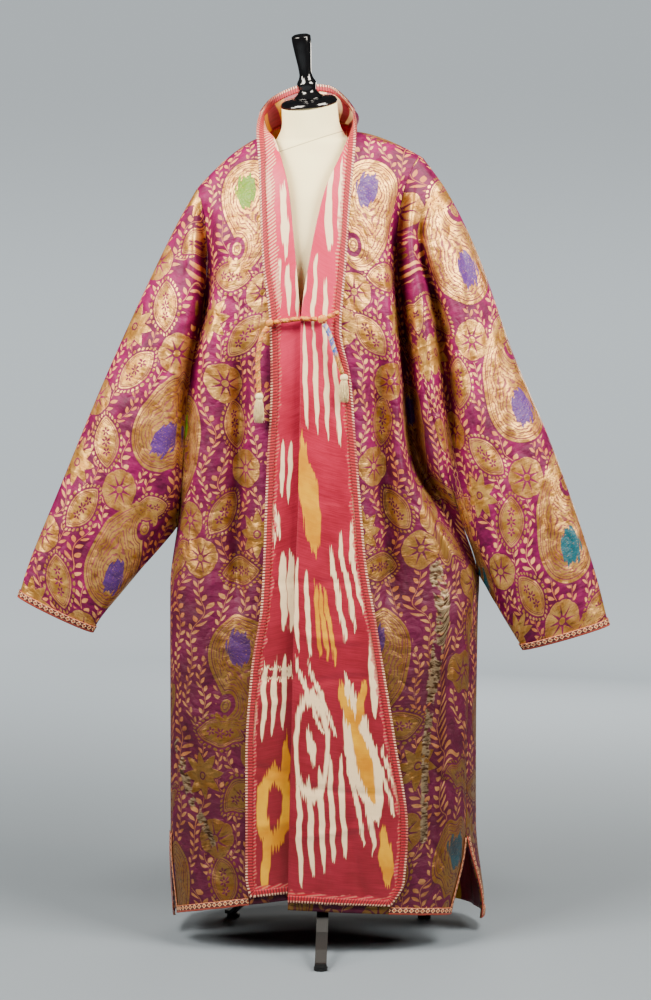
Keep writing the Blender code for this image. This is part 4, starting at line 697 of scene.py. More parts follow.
def neck_line(share):
    """The back neckline from the right neck point (0) round the nape to the left one (1)."""
    angle = math.pi * np.asarray(share, dtype=float)
    right, left = (np.array([FRONTS[side]["x_in"][0], 0.0, FRONTS[side]["z_in"][0]])
                   for side in ("right", "left"))
    nape = np.array([BACK_CENTRE[name][0] for name in "xyz"])
    middle = 0.5 * (right + left)
    return (middle - 0.5 * (left - right) * np.cos(angle)[..., None]
            + (nape - middle) * np.sin(angle)[..., None])


def back_rows(across, station):
    """The back's plain rows, from its centre line out to each armhole or side seam."""
    point = np.zeros(across.shape + (3,))
    centre = {name: along(BACK_CENTRE["station"], BACK_CENTRE[name], station) for name in "xyz"}
    for side, here in (("right", across < 0.0), ("left", across >= 0.0)):
        edges = BACK_EDGES[side]
        at = {name: along(edges["station"], edges[name], station)
              for name in ("x_out", "y_out", "z_out", "turn")}
        size = np.abs(across)
        go_x, go_y = section(size, at["turn"])
        row = np.stack([centre["x"] + (at["x_out"] - centre["x"]) * go_x,
                        centre["y"] + (at["y_out"] - centre["y"]) * go_y,
                        centre["z"] + (at["z_out"] - centre["z"]) * size**1.3], axis=-1)
        point[here] = row[here]
    return point


def back_top(across):
    """The back's top edge: a shoulder, the neckline and the other shoulder."""
    size = np.abs(across)
    top = neck_line(0.5 + 0.5 * np.clip(across / NECK_SHARE, -1.0, 1.0))
    for side, sign in (("right", -1.0), ("left", 1.0)):
        here = (size > NECK_SHARE) & (across * sign > 0.0)
        top[here] = shoulder_line(side, (size[here] - NECK_SHARE) / (1.0 - NECK_SHARE))
    return top


def back_plain(across, station):
    """The back before its folds; across is -1 on the wearer's right and 1 on the left."""
    across, station = np.broadcast_arrays(np.asarray(across, float), np.asarray(station, float))
    fade = (1.0 - ease(station, 0.0, 0.42))[..., None]
    return (back_rows(across, station)
            + (back_top(across) - back_rows(across, np.zeros_like(station))) * fade)


def back_surface(across, station):
    """The back with its folds and its fine creases, which fade out at both seams."""
    across, station = np.broadcast_arrays(np.asarray(across, float), np.asarray(station, float))
    folded = fold_back(back_plain(across, station))
    creased = line_creases(folded, BACK_CREASES, -1.0)
    inside = (1.0 - ease(np.abs(across), 0.92, 1.0)) * ease(station, 0.05, 0.16)
    return folded + (creased - folded) * inside[..., None]


def shoulder_apart(grid, facing, where=1.0):
    """Draw a panel's first row half a wall's thickness off the seam, towards its own side."""
    lean = np.abs(normals(grid, facing)[0, :, 1]) * where
    reach = np.arange(grid.shape[0])[:, None] / (0.02 * grid.shape[0] + 1.0)
    grid[..., 1] += np.sign(facing[1]) * 0.5 * CLOTH * lean * (1.0 - ease(reach, 0.0, 1.0))
    return grid


def normals(grid, toward, closed=False):
    """Directions square to a grid of points, turned to agree with toward on the whole."""
    if closed:
        down = np.roll(grid, -1, axis=0) - np.roll(grid, 1, axis=0)
    else:
        down = np.gradient(grid, axis=0)
    normal = np.cross(down, np.gradient(grid, axis=1))
    normal /= np.maximum(np.linalg.norm(normal, axis=-1, keepdims=True), 1e-12)
    agree = np.sum(normal * toward(grid)) if callable(toward) else np.sum(normal @ np.array(toward))
    return normal if agree > 0.0 else -normal


def fine_stations(count_above, count_below, last=2.0):
    """Stations of a panel's rows, closer together over the shoulder."""
    above = np.linspace(0.0, 1.0, count_above) ** 1.15
    return np.concatenate([above, np.linspace(1.0, last, count_below)[1:]])


# %% [markdown]
# ## Shells with a pattern sheet
# Each grid of points becomes a mesh, and a Solidify modifier gives it its wall.
# Every mesh carries a sheet of coordinates in metres, as the flat cloth had before it was sewn:
# the first number runs across the cloth and the second runs down it.  The patterns use these,
# so they bend and vanish into the folds with the cloth.

# %% Making meshes
def place_mesh(name, points, faces, materials, node=None, uv=None, shift=True):
    """A mesh object from points and faces, riding on the stand and standing for its solid."""
    mesh = bpy.data.meshes.new(name)
    where = np.asarray(points, float) + (SHIFT if shift else 0.0)
    mesh.from_pydata(where.tolist(), [], [list(face) for face in faces])
    for material in materials:
        mesh.materials.append(material)
    mesh.polygons.foreach_set("use_smooth", np.ones(len(mesh.polygons), dtype=bool))
    if uv is not None:
        layer = mesh.uv_layers.new(name="cloth")
        layer.data.foreach_set("uv", np.asarray(uv, float).reshape(-1))
    mesh.update()
    thing = bpy.data.objects.new(name, mesh)
    bpy.context.scene.collection.objects.link(thing)
    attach(thing, "root")
    if node:
        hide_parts(*([node] if isinstance(node, str) else node))
    return thing


def grid_faces(rows, columns, closed):
    """Quads of a grid of points; closed joins the last row to the first."""
    i = np.arange(rows if closed else rows - 1)[:, None]
    j = np.arange(columns - 1)[None, :]
    k = (i + 1) % rows
    return np.stack([i * columns + j, k * columns + j, k * columns + j + 1, i * columns + j + 1],
                    axis=-1).reshape(-1, 4)


def grid_uv(flat):
    """The flat coordinates at each quad's corners; a closed grid's sheet has one more row."""
    rows = flat.shape[0] - 1
    i = np.arange(rows)[:, None]
    j = np.arange(flat.shape[1] - 1)[None, :]
    return np.stack([flat[i, j], flat[i + 1, j], flat[i + 1, j + 1], flat[i, j + 1]], axis=-2)


def shell(name, grid, flat, materials, node, facing, wall=CLOTH, closed=False):
    """A cloth piece: a grid of mid-wall points given a wall, its outer side facing as told.

    With two materials, the first is the outer face's and the second the inner one's.
    """
    rows, columns = grid.shape[:2]
    faces = grid_faces(rows, columns, closed)
    corners = grid_uv(flat).reshape(-1, 4, 2)
    ring = grid.reshape(-1, 3)
    half = faces[: len(faces) // (2 if closed else 1)]
    square = np.cross(ring[half[:, 2]] - ring[half[:, 0]], ring[half[:, 3]] - ring[half[:, 1]])
    if float(np.sum(square, axis=0) @ np.array(facing)) < 0.0:
        faces, corners = faces[:, ::-1], corners[:, ::-1]
    thing = place_mesh(name, ring, faces, materials, node, corners)
    solid = thing.modifiers.new("wall", "SOLIDIFY")
    solid.thickness = wall
    solid.offset = 0.0
    solid.use_even_offset = True
    solid.thickness_clamp = 1.0
    solid.use_rim = True
    if len(materials) > 1:
        solid.material_offset = 1
    return thing


def run_along(grid, axis):
    """Distance along the points of a grid, from its first row or column."""
    step = np.linalg.norm(np.diff(grid, axis=axis), axis=-1)
    zero = np.zeros_like(np.take(step, [0], axis=axis))
    return np.concatenate([zero, np.cumsum(step, axis=axis)], axis=axis)


def flat_sheet(grid, start_across, top=1.45):
    """A panel's flat coordinates: across from its first column, down from its own top edge.

    start_across is the first column's place in each row, so the weave's lengthwise threads
    stay upright where an edge slants.
    """
    across = start_across[:, None] + sign_of(grid) * run_along(grid, 1)
    down = (top - grid[:1, :, 2]) + run_along(grid, 0)
    return np.stack([across, down], axis=-1)


def sign_of(grid):
    """+1 where a panel's columns run towards +X, and -1 where they run towards -X."""
    return 1.0 if grid[:, -1, 0].mean() > grid[:, 0, 0].mean() else -1.0


def surface_area(thing):
    """A mesh's own area in square metres, one side, before its wall is added."""
    return sum(polygon.area for polygon in thing.data.polygons)


# %% [markdown]
# ## The fronts, the back and the gores
# The two fronts and the back hang from the shoulders, and a small gore joins them at each side.
# Their grids are much finer than the solids', so the folds are smooth.

# %% Panel grids
ROWS_HIGH = 120 // FINE
ROWS_DOWN = 120 // FINE


def front_grid(side):
    """A front's points: rows down it, columns from the fold edge to the outer seam."""
    across = 1.0 - (1.0 - np.linspace(0.0, 1.0, 96 // FINE)) ** 1.35
    grid = front_surface(side, *np.meshgrid(across, fine_stations(ROWS_HIGH, ROWS_DOWN)))
    return shoulder_apart(grid, (0.0, -1.0, 0.0))


def back_grid():
    """The back's points, from the right side (-1) across to the left side (1)."""
    size = 1.0 - (1.0 - np.linspace(0.0, 1.0, 80 // FINE)) ** 1.25
    across = np.concatenate([-size[:0:-1], size])
    grid = back_surface(*np.meshgrid(across, fine_stations(ROWS_HIGH, ROWS_DOWN)))
    where = ease(np.abs(across), NECK_SHARE - 0.01, NECK_SHARE + 0.01)
    return shoulder_apart(grid, (0.0, 1.0, 0.0), where)


FRONT = {side: front_grid(side) for side in SIGN}
BACK = back_grid()
UNDERARM = ROWS_HIGH - 1


def gore_grid(side):
    """The side gore, sewn to the back and, down to the slit, to the front."""
    front = FRONT[side][UNDERARM:, -1]
    back = BACK[UNDERARM:, 0 if side == "right" else -1]
    slit = ease(fine_stations(ROWS_HIGH, ROWS_DOWN)[UNDERARM:], 1.76, 2.0)[:, None]
    front = front + np.array(GORE_CORNER[side]) * slit
    span = back - front
    width = np.linalg.norm(span, axis=1, keepdims=True)
    front, back = front + span / width * SEAM_GAP, back - span / width * SEAM_GAP
    share = np.linspace(0.0, 1.0, 26 // FINE)
    grid = front[:, None] + (back - front)[:, None] * share[:, None]
    grid[..., 0] += SIGN[side] * GORE_BULGE[side] * width * 4.0 * share * (1.0 - share)
    return grid


GORE = {side: gore_grid(side) for side in SIGN}


def laid_on_front(side, across, station):
    """Points laid on a front: moved out along its plain normal, clear of its wall."""
    step = 0.01
    over = front_plain(side, across + step, station) - front_plain(side, across - step, station)
    down = (front_plain(side, across, np.clip(station + step, 0.0, 2.0))
            - front_plain(side, across, np.clip(station - step, 0.0, 2.0)))
    normal = np.cross(over, down)
    normal /= np.linalg.norm(normal, axis=-1, keepdims=True)
    return front_surface(side, across, station) - SIGN[side] * normal * (CLOTH + REVERS_GAP)


def revers_shares(side, rows):
    """How far across the front the revers reaches at each station."""
    fine = np.linspace(0.0, 1.0, 200)
    wanted = along(REVERS_EDGE[side]["station"], REVERS_EDGE[side]["x"], rows) * SIGN[side]
    reach = front_plain(side, *np.meshgrid(fine, rows))[..., 0] * SIGN[side]
    return np.array([np.interp(want, line, fine) for want, line in zip(wanted, reach)])


def revers_grid(side):
    """The lining turned back: standing at the neck and lying on the front lower down."""
    rows = np.concatenate([[0.0015], fine_stations(ROWS_HIGH, ROWS_DOWN, REVERS_LOW)[1:]])
    across, station = np.meshgrid(np.linspace(0.0, 1.0, 44 // FINE), rows)
    share = revers_shares(side, rows)[:, None]
    lying = laid_on_front(side, share * across, station)
    rim = np.stack([along(RIM[side]["station"], RIM[side][name], station) for name in "xyz"], axis=-1)
    fold = lying[:, :1]
    standing = fold + (rim - fold) * across[..., None]
    grid = lying + (standing - lying) * (1.0 - ease(station, 0.0, STAND_ENDS))[..., None]
    return grid


REVERS = {side: revers_grid(side) for side in SIGN}
print("points in a front:", FRONT["right"].shape[:2], "in the back:", BACK.shape[:2])

# %% [markdown]
# ## The sleeves, the collar and the braids
# A sleeve is a tube of rings from the armhole to the cuff.  Its first ring follows the
# armhole, so the seam lines agree, and each later ring is an oval between two lines.

# %% Sleeve, collar and braid grids
def drawn_back(grid, edge, before, facing, gap):
    """A sleeve's seam edge, drawn back from the armhole until the two walls are clear."""
    seam = np.roll(edge, -1, axis=0) - np.roll(edge, 1, axis=0)
    seam /= np.linalg.norm(seam, axis=1, keepdims=True)

    def square(way):
        way = way - seam * np.sum(way * seam, axis=1, keepdims=True)
        return way / np.linalg.norm(way, axis=1, keepdims=True)

    away = square(square(edge - before) + square(grid[:, 2] - edge))
    own = normals(grid, lambda g: g - g.mean(axis=0, keepdims=True), closed=True)[:, 0]
    lean = np.abs(np.sum(facing * away, axis=1)) + np.abs(np.sum(own * away, axis=1))
    return edge + away * (gap + 0.5 * CLOTH * lean)[:, None]


def armhole(side):
    """The armhole's points in order, the points inside it and the panels' directions."""
    front, gore, back = FRONT[side], GORE[side], BACK
    if side == "right":
        back = back[:, ::-1]
    lie = (normals(front, (0.0, -1.0, 0.0)), normals(gore, (SIGN[side], 0.0, 0.0)),
           normals(back, (0.0, 1.0, 0.0)))
    down, up = slice(0, ROWS_HIGH), slice(ROWS_HIGH - 1, 0, -1)
    edge = np.concatenate([front[down, -1], gore[0, 1:-1], back[up, -1]])
    before = np.concatenate([front[down, -3], gore[2, 1:-1], back[up, -3]])
    facing = np.concatenate([lie[0][down, -1], lie[1][0, 1:-1], lie[2][up, -1]])
    return edge, before, facing


def sleeve_grid(side):
    """A sleeve in rings from the armhole to the cuff: (points round, rings along, 3)."""
    rows = fine_stations(ROWS_HIGH, ROWS_DOWN)[:ROWS_HIGH]
    front = front_plain(side, np.ones_like(rows), rows)
    back = back_plain(np.full_like(rows, SIGN[side]), rows)
    under = GORE[side][0, 1:-1]
    ring = np.concatenate([front, under, back[:0:-1]])
    size = len(ring)
    order = np.arange(size)
    on_front = order < ROWS_HIGH
    on_back = order >= ROWS_HIGH + len(under)
    high, low = ring[0, 2], front[-1, 2]
    angle = np.arccos(np.clip(2.0 * (ring[:, 2] - low) / (high - low) - 1.0, -1.0, 1.0))
    angle = np.where(on_front, angle, np.where(on_back, 2.0 * math.pi - angle, math.pi))
    even = 2.0 * math.pi * order / size
    share = np.linspace(0.0, 1.0, 110 // FINE) ** 1.3
    cut = {name: along(SLEEVES[side]["share"], SLEEVES[side][name], share)
           for name in SLEEVE_NAMES[1:]}
    turn = angle[:, None] + (even - angle)[:, None] * ease(share, 0.0, 0.9)
    up, out = np.cos(turn), np.sin(turn)
    oval = np.stack([0.5 * (cut["x_top"] + cut["x_low"]) + 0.5 * (cut["x_top"] - cut["x_low"]) * up,
                     cut["y_middle"] - cut["half_depth"] * np.sign(out) * np.abs(out) ** 0.9,
                     0.5 * (cut["z_top"] + cut["z_low"]) + 0.5 * (cut["z_top"] - cut["z_low"]) * up],
                    axis=-1)
    grid = oval + (ring - oval[:, 0])[:, None] * (1.0 - ease(share, 0.0, 0.55))[:, None]
    clear = ease(np.abs(np.sin(turn)), 0.10, 0.45) * ease(share, 0.0, 0.10) * (1.0 - ease(share, 0.93, 1.0))
    for here, fold, creases, inward in ((on_front, fold_front, SLEEVE_CREASES[side], 1.0),
                                        (on_back, fold_back, SLEEVE_BACK_CREASES[side], -1.0)):
        folded = fold(grid[here])
        creased = line_creases(folded, creases, inward)
        grid[here] = folded + (creased - folded) * clear[here][..., None]
    grid[0, :, 1] = oval[0, :, 1]
    moved = drawn_back(grid, *armhole(side), ARMHOLE_GAP[side]) - grid[:, 0]
    return grid + moved[:, None] * (1.0 - ease(share, 0.0, 0.35))[:, None]


def collar_grid():
    """The standing collar round the nape, from the neckline to the rim."""
    share = np.linspace(0.003, 0.997, 61 // FINE)
    base = neck_line(share) + (0.0, 0.0, COLLAR_SEAT)
    rim = np.stack([along(COLLAR_RIM["share"], COLLAR_RIM[name], share) for name in "xyz"], axis=-1)
    up = np.linspace(0.0, 1.0, 14 // FINE)[:, None]
    bulge = 0.011 * np.sin(math.pi * np.minimum(up * 1.2, 1.0)) * ease(share, 0.58,
                0.86) * (1.0 - ease(share, 0.88, 1.0))
    grid = base + (rim - base) * up[..., None]
    grid[..., 0] += bulge
    return grid


SLEEVE = {side: sleeve_grid(side) for side in SIGN}
COLLAR = collar_grid()


def sample(grid, row, column):
    """Points of a grid at fractional rows and columns, blended between the four around each."""
    i = np.clip(np.floor(row).astype(int), 0, grid.shape[0] - 2)
    j = np.clip(np.floor(column).astype(int), 0, grid.shape[1] - 2)
    u, v = (row - i)[..., None], (column - j)[..., None]
    return ((grid[i, j] * (1 - u) + grid[i + 1, j] * u) * (1 - v)
            + (grid[i, j + 1] * (1 - u) + grid[i + 1, j + 1] * u) * v)


def inset(line, width):
    """The fractional index on a line of points at a width in from its last point."""
    return len(line) - 1 - np.interp(width, reaches(line[::-1]), np.arange(len(line)))


def strip_on(grid, directions, edge, inner, height=BRAID_HEIGHT, closed=False, steps=5):
    """A braid between two lines of (row, column) places on a grid, moved out from the cloth.

    Returns its points, (places, steps, 3), and its sheet: 0 to 1 across and metres along.
    """
    edge, inner = np.asarray(edge, float), np.asarray(inner, float)
    share = np.linspace(0.0, 1.0, steps)[:, None]
    place = edge[:, None] + (inner - edge)[:, None] * share
    points = (sample(grid, place[..., 0], place[..., 1])
              + sample(directions, place[..., 0], place[..., 1]) * height)
    middle = points[:, steps // 2]
    if closed:
        middle = np.concatenate([middle, middle[:1]])
    return points, np.stack(np.meshgrid(share[:, 0], reaches(middle)), axis=-1)


def border(grid, facing, first_row, last_column):
    """A braid down a grid's last column from first_row, round the corner and along its hem."""
    rows, columns = grid.shape[:2]
    low = inset(grid[:, -1], BRAID_WIDTH)
    turn = inset(grid[-1], BRAID_WIDTH)
    side_rows = np.arange(math.ceil(first_row), math.floor(low))
    hem = np.arange(math.floor(turn), math.ceil(last_column), -1).astype(float)
    hem = np.append(hem, last_column)
    above = np.interp(hem, np.arange(columns), [inset(grid[:, j], BRAID_WIDTH) for j in range(columns)])
    edge = [(i, columns - 1) for i in side_rows] + [(rows - 1, columns - 1)]
    inner = [(i, inset(grid[i], BRAID_WIDTH)) for i in side_rows] + [(low, turn)]
    edge += [(rows - 1, j) for j in hem]
    inner += list(zip(above, hem))
    return strip_on(grid, normals(grid, facing), edge, inner)


SLIT_STATION = 1.0 + 7.0 / 9.0       # where the side slits open
SLIT_ROW = float(np.interp(SLIT_STATION, fine_stations(ROWS_HIGH, ROWS_DOWN),
                           np.arange(ROWS_HIGH + ROWS_DOWN - 1)))


def bare_column(side):
    """The hem column where the revers stops and the front's hem lies bare."""
    reach = FRONT[side][-1, :, 0] * SIGN[side]
    covered = REVERS_EDGE[side]["x"][-1] * SIGN[side] + HEM_BARE
    return float(np.interp(covered, reach, np.arange(len(reach))))


def cuff_strip(side):
    """A ring of braid round the end of a sleeve."""
    grid = SLEEVE[side]
    outward = normals(grid, lambda g: g - g.mean(axis=0, keepdims=True), closed=True)
    last = grid.shape[1] - 1
    edge = [(i, last) for i in range(grid.shape[0])]
    inner = [(i, inset(grid[i], BRAID_WIDTH)) for i in range(grid.shape[0])]
    grid, outward = (np.concatenate([part, part[:1]]) for part in (grid, outward))
    return strip_on(grid, outward, edge, inner, closed=True)


def collar_strip():
    """The braid along the inside of the collar's rim."""
    inside = normals(COLLAR, (0.0, -1.0, 0.0))
    columns = range(COLLAR.shape[1])
    edge = [(COLLAR.shape[0] - 1, j) for j in columns]
    inner = [(inset(COLLAR[:, j], BRAID_WIDTH), j) for j in columns]
    return strip_on(COLLAR, inside, edge, inner)


def back_strip():
    """The braid along the back's hem."""
    columns = range(BACK.shape[1])
    edge = [(BACK.shape[0] - 1, j) for j in columns]
    inner = [(inset(BACK[:, j], BRAID_WIDTH), j) for j in columns]
    return strip_on(BACK, normals(BACK, (0.0, 1.0, 0.0)), edge, inner)


FRONT_OUT, BACK_OUT = (0.0, -1.0, 0.0), (0.0, 1.0, 0.0)
SIDE_OUT = {side: (SIGN[side], 0.0, 0.0) for side in SIGN}
STRIPS = {"braid_collar": collar_strip(), "braid_back": back_strip()}
for _side in SIGN:
    STRIPS["braid_front_" + _side] = border(FRONT[_side], FRONT_OUT, SLIT_ROW, bare_column(_side))
    STRIPS["braid_revers_" + _side] = border(REVERS[_side], FRONT_OUT, 0.0, 0.0)
    STRIPS["braid_gore_" + _side] = border(GORE[_side][:, ::-1], SIDE_OUT[_side],
                                           SLIT_ROW - UNDERARM, 0.06 * 26 / 5 / FINE)
    STRIPS["braid_cuff_" + _side] = cuff_strip(_side)
print("braids:", {name: round(float(flat[-1, 0, 1]), 3) for name, (points, flat) in STRIPS.items()},
      "m long")


# %% [markdown]
# ## A short way to write shader sums
# A pattern is a sum worked out at each point of the cloth.  This small class writes the nodes of
# such a sum: each call adds one node and gives back its output, so a formula reads as one line.
# A number may stand wherever an output may.

# %% The shader writer
class Net:
    """Adds nodes to a tree; numbers, triples and outputs can all be given as values."""

    def __init__(self, tree):
        self.tree = tree

    def put(self, kind, values=(), **settings):
        node = self.tree.nodes.new(kind)
        for name, value in settings.items():
            setattr(node, name, value)
        for index, value in enumerate(values):
            self.give(node.inputs[index], value)
        return node

    def give(self, socket, value):
        if isinstance(value, bpy.types.NodeSocket):
            self.tree.links.new(value, socket)
        elif value is not None:
            socket.default_value = value

    def sum(self, operation, *values, clamp=False):
        node = self.put("ShaderNodeMath", operation=operation, use_clamp=clamp)
        for index, value in enumerate(values):
            self.give(node.inputs[index], value)
        return node.outputs[0]

    def times(self, *values, **how):
        return self.sum("MULTIPLY", *values, **how)

    def plus(self, *values, **how):
        return self.sum("ADD", *values, **how)

    def minus(self, *values, **how):
        return self.sum("SUBTRACT", *values, **how)

    def over(self, *values, **how):
        return self.sum("DIVIDE", *values, **how)

    def size(self, *values, **how):
        return self.sum("ABSOLUTE", *values, **how)

    def most(self, *values, **how):
        return self.sum("MAXIMUM", *values, **how)

    def least(self, *values, **how):
        return self.sum("MINIMUM", *values, **how)

    def beyond(self, *values, **how):
        return self.sum("FRACT", *values, **how)

    def vector(self, operation, *values):
        node = self.put("ShaderNodeVectorMath", operation=operation)
        for index, value in enumerate(values):
            self.give(node.inputs[index], value)
        return node.outputs["Value" if operation in ("LENGTH", "DOT_PRODUCT") else "Vector"]

    def split(self, value):
        node = self.put("ShaderNodeSeparateXYZ", (value,))
        return node.outputs

    def join(self, x, y, z=0.0):
        return self.put("ShaderNodeCombineXYZ", (x, y, z)).outputs[0]

    def step(self, value, low, high):
        """A soft step: 0 at low and 1 at high, or the other way when low is the larger."""
        node = self.put("ShaderNodeMapRange", interpolation_type="SMOOTHSTEP")
        for name, item in (("Value", value), ("From Min", low), ("From Max", high)):
            self.give(node.inputs[name], item)
        return node.outputs[0]

    def under(self, value, edge, soft):
        """1 where value is less than edge, falling to 0 over a soft width."""
        return self.step(self.minus(value, edge), soft, -soft)

    def mix(self, share, first, second):
        node = self.put("ShaderNodeMix", data_type="RGBA")
        for index, value in ((0, share), (6, first), (7, second)):
            self.give(node.inputs[index], value)
        return node.outputs[2]

    def blend(self, share, first, second):
        node = self.put("ShaderNodeMix", data_type="FLOAT")
        for index, value in ((0, share), (2, first), (3, second)):
            self.give(node.inputs[index], value)
        return node.outputs[0]

    def choose(self, share, first, second):
        node = self.put("ShaderNodeMix", data_type="VECTOR")
        for index, value in ((0, share), (4, first), (5, second)):
            self.give(node.inputs[index], value)
        return node.outputs[1]

    def noise(self, place, scale, detail=2.0, roughness=0.5):
        node = self.put("ShaderNodeTexNoise")
        for name, value in (("Vector", place), ("Scale", scale), ("Detail", detail),
                            ("Roughness", roughness)):
            self.give(node.inputs[name], value)
        return node.outputs[0]

    def group(self, tree, **values):
        node = self.put("ShaderNodeGroup", node_tree=tree)
        for name, value in values.items():
            self.give(node.inputs[name], value)
        return node.outputs


def colour(red, green, blue):
    """A colour given as 0 to 255 on a screen, turned into the even scale that shaders use."""
    values = np.array((red, green, blue)) / 255.0
    even = np.where(values <= 0.04045, values / 12.92, ((values + 0.055) / 1.055) ** 2.4)
    return (*(float(v) for v in even), 1.0)


def new_group(name, inputs, outputs):
    """A shader node group with its inputs and outputs, and the net that fills it."""
    tree = bpy.data.node_groups.new(name, "ShaderNodeTree")
    for socket, kind in inputs:
        tree.interface.new_socket(socket, in_out="INPUT", socket_type="NodeSocket" + kind)
    for socket, kind in outputs:
        tree.interface.new_socket(socket, in_out="OUTPUT", socket_type="NodeSocket" + kind)
    net = Net(tree)
    return tree, net, net.put("NodeGroupInput").outputs, net.put("NodeGroupOutput").inputs


def new_material(name, roughness, metallic=0.0, **settings):
    """A material with its one Principled shader, and the net that feeds it."""
    made = bpy.data.materials.new(name)
    made.use_nodes = True
    shader = made.node_tree.nodes["Principled BSDF"]
    shader.inputs["Roughness"].default_value = roughness
    shader.inputs["Metallic"].default_value = metallic
    for socket, value in settings.items():
        shader.inputs[socket.replace("_", " ")].default_value = value
    return made, Net(made.node_tree), shader


def cloth_place(net):
    """The flat cloth coordinates, in metres."""
    return net.put("ShaderNodeUVMap", uv_map="cloth").outputs[0]


# %% [markdown]
# ## The brocade's motifs
# Four traditional motifs fill the cloth: a large bent drop, an oval medallion ringed with pearls,
# an eight-petalled flower and an eight-pointed star.  Each is a node group that takes a place in
# metres from the motif's middle.  It gives back where the motif lies and where its gold shows.

# %% Motif groups
SOFT = 0.00045           # half the soft edge of a woven line, in metres


def polar(net, place):
    """Distance from the middle and the angle round it."""
    x, y, _ = net.split(place)
    return net.vector("LENGTH", net.join(x, y)), net.sum("ARCTAN2", y, x)


def any_of(net, first, *others):
    """The largest of some masks."""
    for other in others:
        first = net.most(first, other)
    return first


def band(net, value, centre, half):
    """1 on a line where value is within half of centre."""
    return net.under(net.size(net.minus(value, centre)), half, SOFT)


def drop_group():
    """The bent drop: a round body and a tip that bends over and round a small bay of ground.

    The body's edge is |(x / R, y / 1.12 R)| - 1, times R, joined softly to a smaller disc above.
    The tip is a band round the bay whose width shrinks as it goes from the body over the top;
    past its end the width is below 0.  The bay is cut out, with a seed left in it.
    """
    tree, net, given, out = new_group("drop", [("Place", "Vector")],
                                      [("Body", "Float"), ("Gold", "Float"), ("Heart", "Float")])
    radius, bay = 0.056, 0.0165
    x, y, _ = net.split(given["Place"])
    body = net.vector("LENGTH", net.join(net.over(x, radius), net.over(y, 1.12 * radius)))
    body = net.times(net.minus(body, 1.0), radius)
    shoulder = net.vector("LENGTH", net.vector("SUBTRACT", given["Place"], (-0.014, 0.048, 0.0)))
    body = net.sum("SMOOTH_MIN", body, net.minus(shoulder, 0.034), 0.050)
    from_bay = net.vector("SUBTRACT", given["Place"], (0.017, 0.086, 0.0))
    reach, angle = polar(net, net.vector("MULTIPLY", from_bay, (1.0, 0.86, 1.0)))
    turn = net.beyond(net.minus(200.0 / 360.0, net.over(angle, 2.0 * math.pi)))
    left = net.minus(1.0, net.over(turn, 0.47), clamp=True)
    wide = net.plus(0.005, net.times(net.sum("POWER", left, 1.25), 0.034))
    wide = net.blend(net.step(turn, 0.44, 0.49), wide, -0.020)
    wide = net.blend(net.step(turn, 0.86, 1.0), wide, 0.039)
    band_edge = net.minus(reach, net.plus(wide, bay))
    edge = net.sum("SMOOTH_MIN", body, band_edge, 0.045)
    edge = net.most(edge, net.minus(bay, reach))
    waved = net.plus(edge, net.times(net.minus(net.noise(given["Place"], 60.0, 2.0), 0.5), 0.012))
    depth = net.beyond(net.over(waved, 0.0054))
    stroke = net.under(net.size(net.minus(depth, 0.5)), 0.17, 0.07)
    broken = net.step(net.noise(given["Place"], 95.0, 1.0), 0.34, 0.46)
    stroke = net.times(net.times(stroke, broken), net.under(edge, -0.0108, 0.001))
    rim = any_of(net, band(net, edge, -0.0052, 0.0007), band(net, edge, -0.0086, 0.0004))
    radial, _ = polar(net, net.vector("MULTIPLY", net.vector("SUBTRACT", given["Place"], (0.006, -0.008,
                0.0)),
                                      (1.0, 0.70, 1.0)))
    brush = net.noise(net.vector("MULTIPLY", given["Place"], (170.0, 34.0, 1.0)), 1.0, 1.0)
    ragged = net.times(net.minus(brush, 0.5), 0.024)
    heart = net.under(net.plus(radial, ragged), 0.0195, 0.0008)
    seed = net.minus(net.under(reach, 0.0090, SOFT), net.times(band(net, reach, 0.0052, 0.0008), 0.9))
    dark = any_of(net, net.times(stroke, 0.8), rim)
    inside = net.under(edge, 0.0, SOFT)
    net.give(out["Body"], any_of(net, net.under(edge, 0.0034, 0.001), net.under(reach, bay, SOFT)))
    net.give(out["Gold"], net.most(net.times(inside, net.minus(1.0, dark)), seed))
    net.give(out["Heart"], net.times(heart, inside))
    return tree


def oval_group():
    """The pointed oval: |y| / b + (x / a) squared - 1, with outlines, florets and a ring of pearls."""
    tree, net, given, out = new_group("oval", [("Place", "Vector")], [("Body", "Float"), ("Gold", "Float")])
    x, y, _ = net.split(given["Place"])
    qx, qy = net.over(x, 0.0445), net.over(y, 0.0245)
    edge = net.plus(net.sum("POWER", net.size(qy), 1.25), net.sum("POWER", net.size(qx), 1.9))
    edge = net.times(net.minus(edge, 1.0), 0.0190)
    lines = any_of(net, band(net, edge, -0.0030, 0.0006), band(net, edge, -0.0056, 0.0004))
    aside = net.minus(net.size(x), 0.0175)
    reach, angle = polar(net, net.join(aside, y))
    petal = net.times(net.size(net.sum("COSINE", net.times(angle, 2.5))), 0.0080)
    floret = net.times(net.under(net.minus(reach, petal), 0.0, SOFT), net.step(reach, 0.0012, 0.0024))
    middle, turn = polar(net, given["Place"])
    flower = net.times(net.size(net.sum("COSINE", net.times(turn, 3.0))), 0.0098)
    flower = net.times(net.under(net.minus(middle, flower), 0.0, SOFT), net.step(middle, 0.0018, 0.0030))
    dark = any_of(net, lines, floret, flower)
    around = net.sum("ARCTAN2", qy, qx)
    beat = net.minus(net.beyond(net.times(around, 28.0 / (2.0 * math.pi))), 0.5)
    bead = net.vector("LENGTH", net.join(net.times(beat, 0.0084), net.minus(edge, 0.0058)))
    bead = net.under(bead, 0.0027, SOFT)
    inside = net.times(net.under(edge, 0.0, SOFT), net.minus(1.0, dark))
    net.give(out["Body"], net.under(edge, 0.0098, 0.001))
    net.give(out["Gold"], net.most(inside, bead))
    return tree


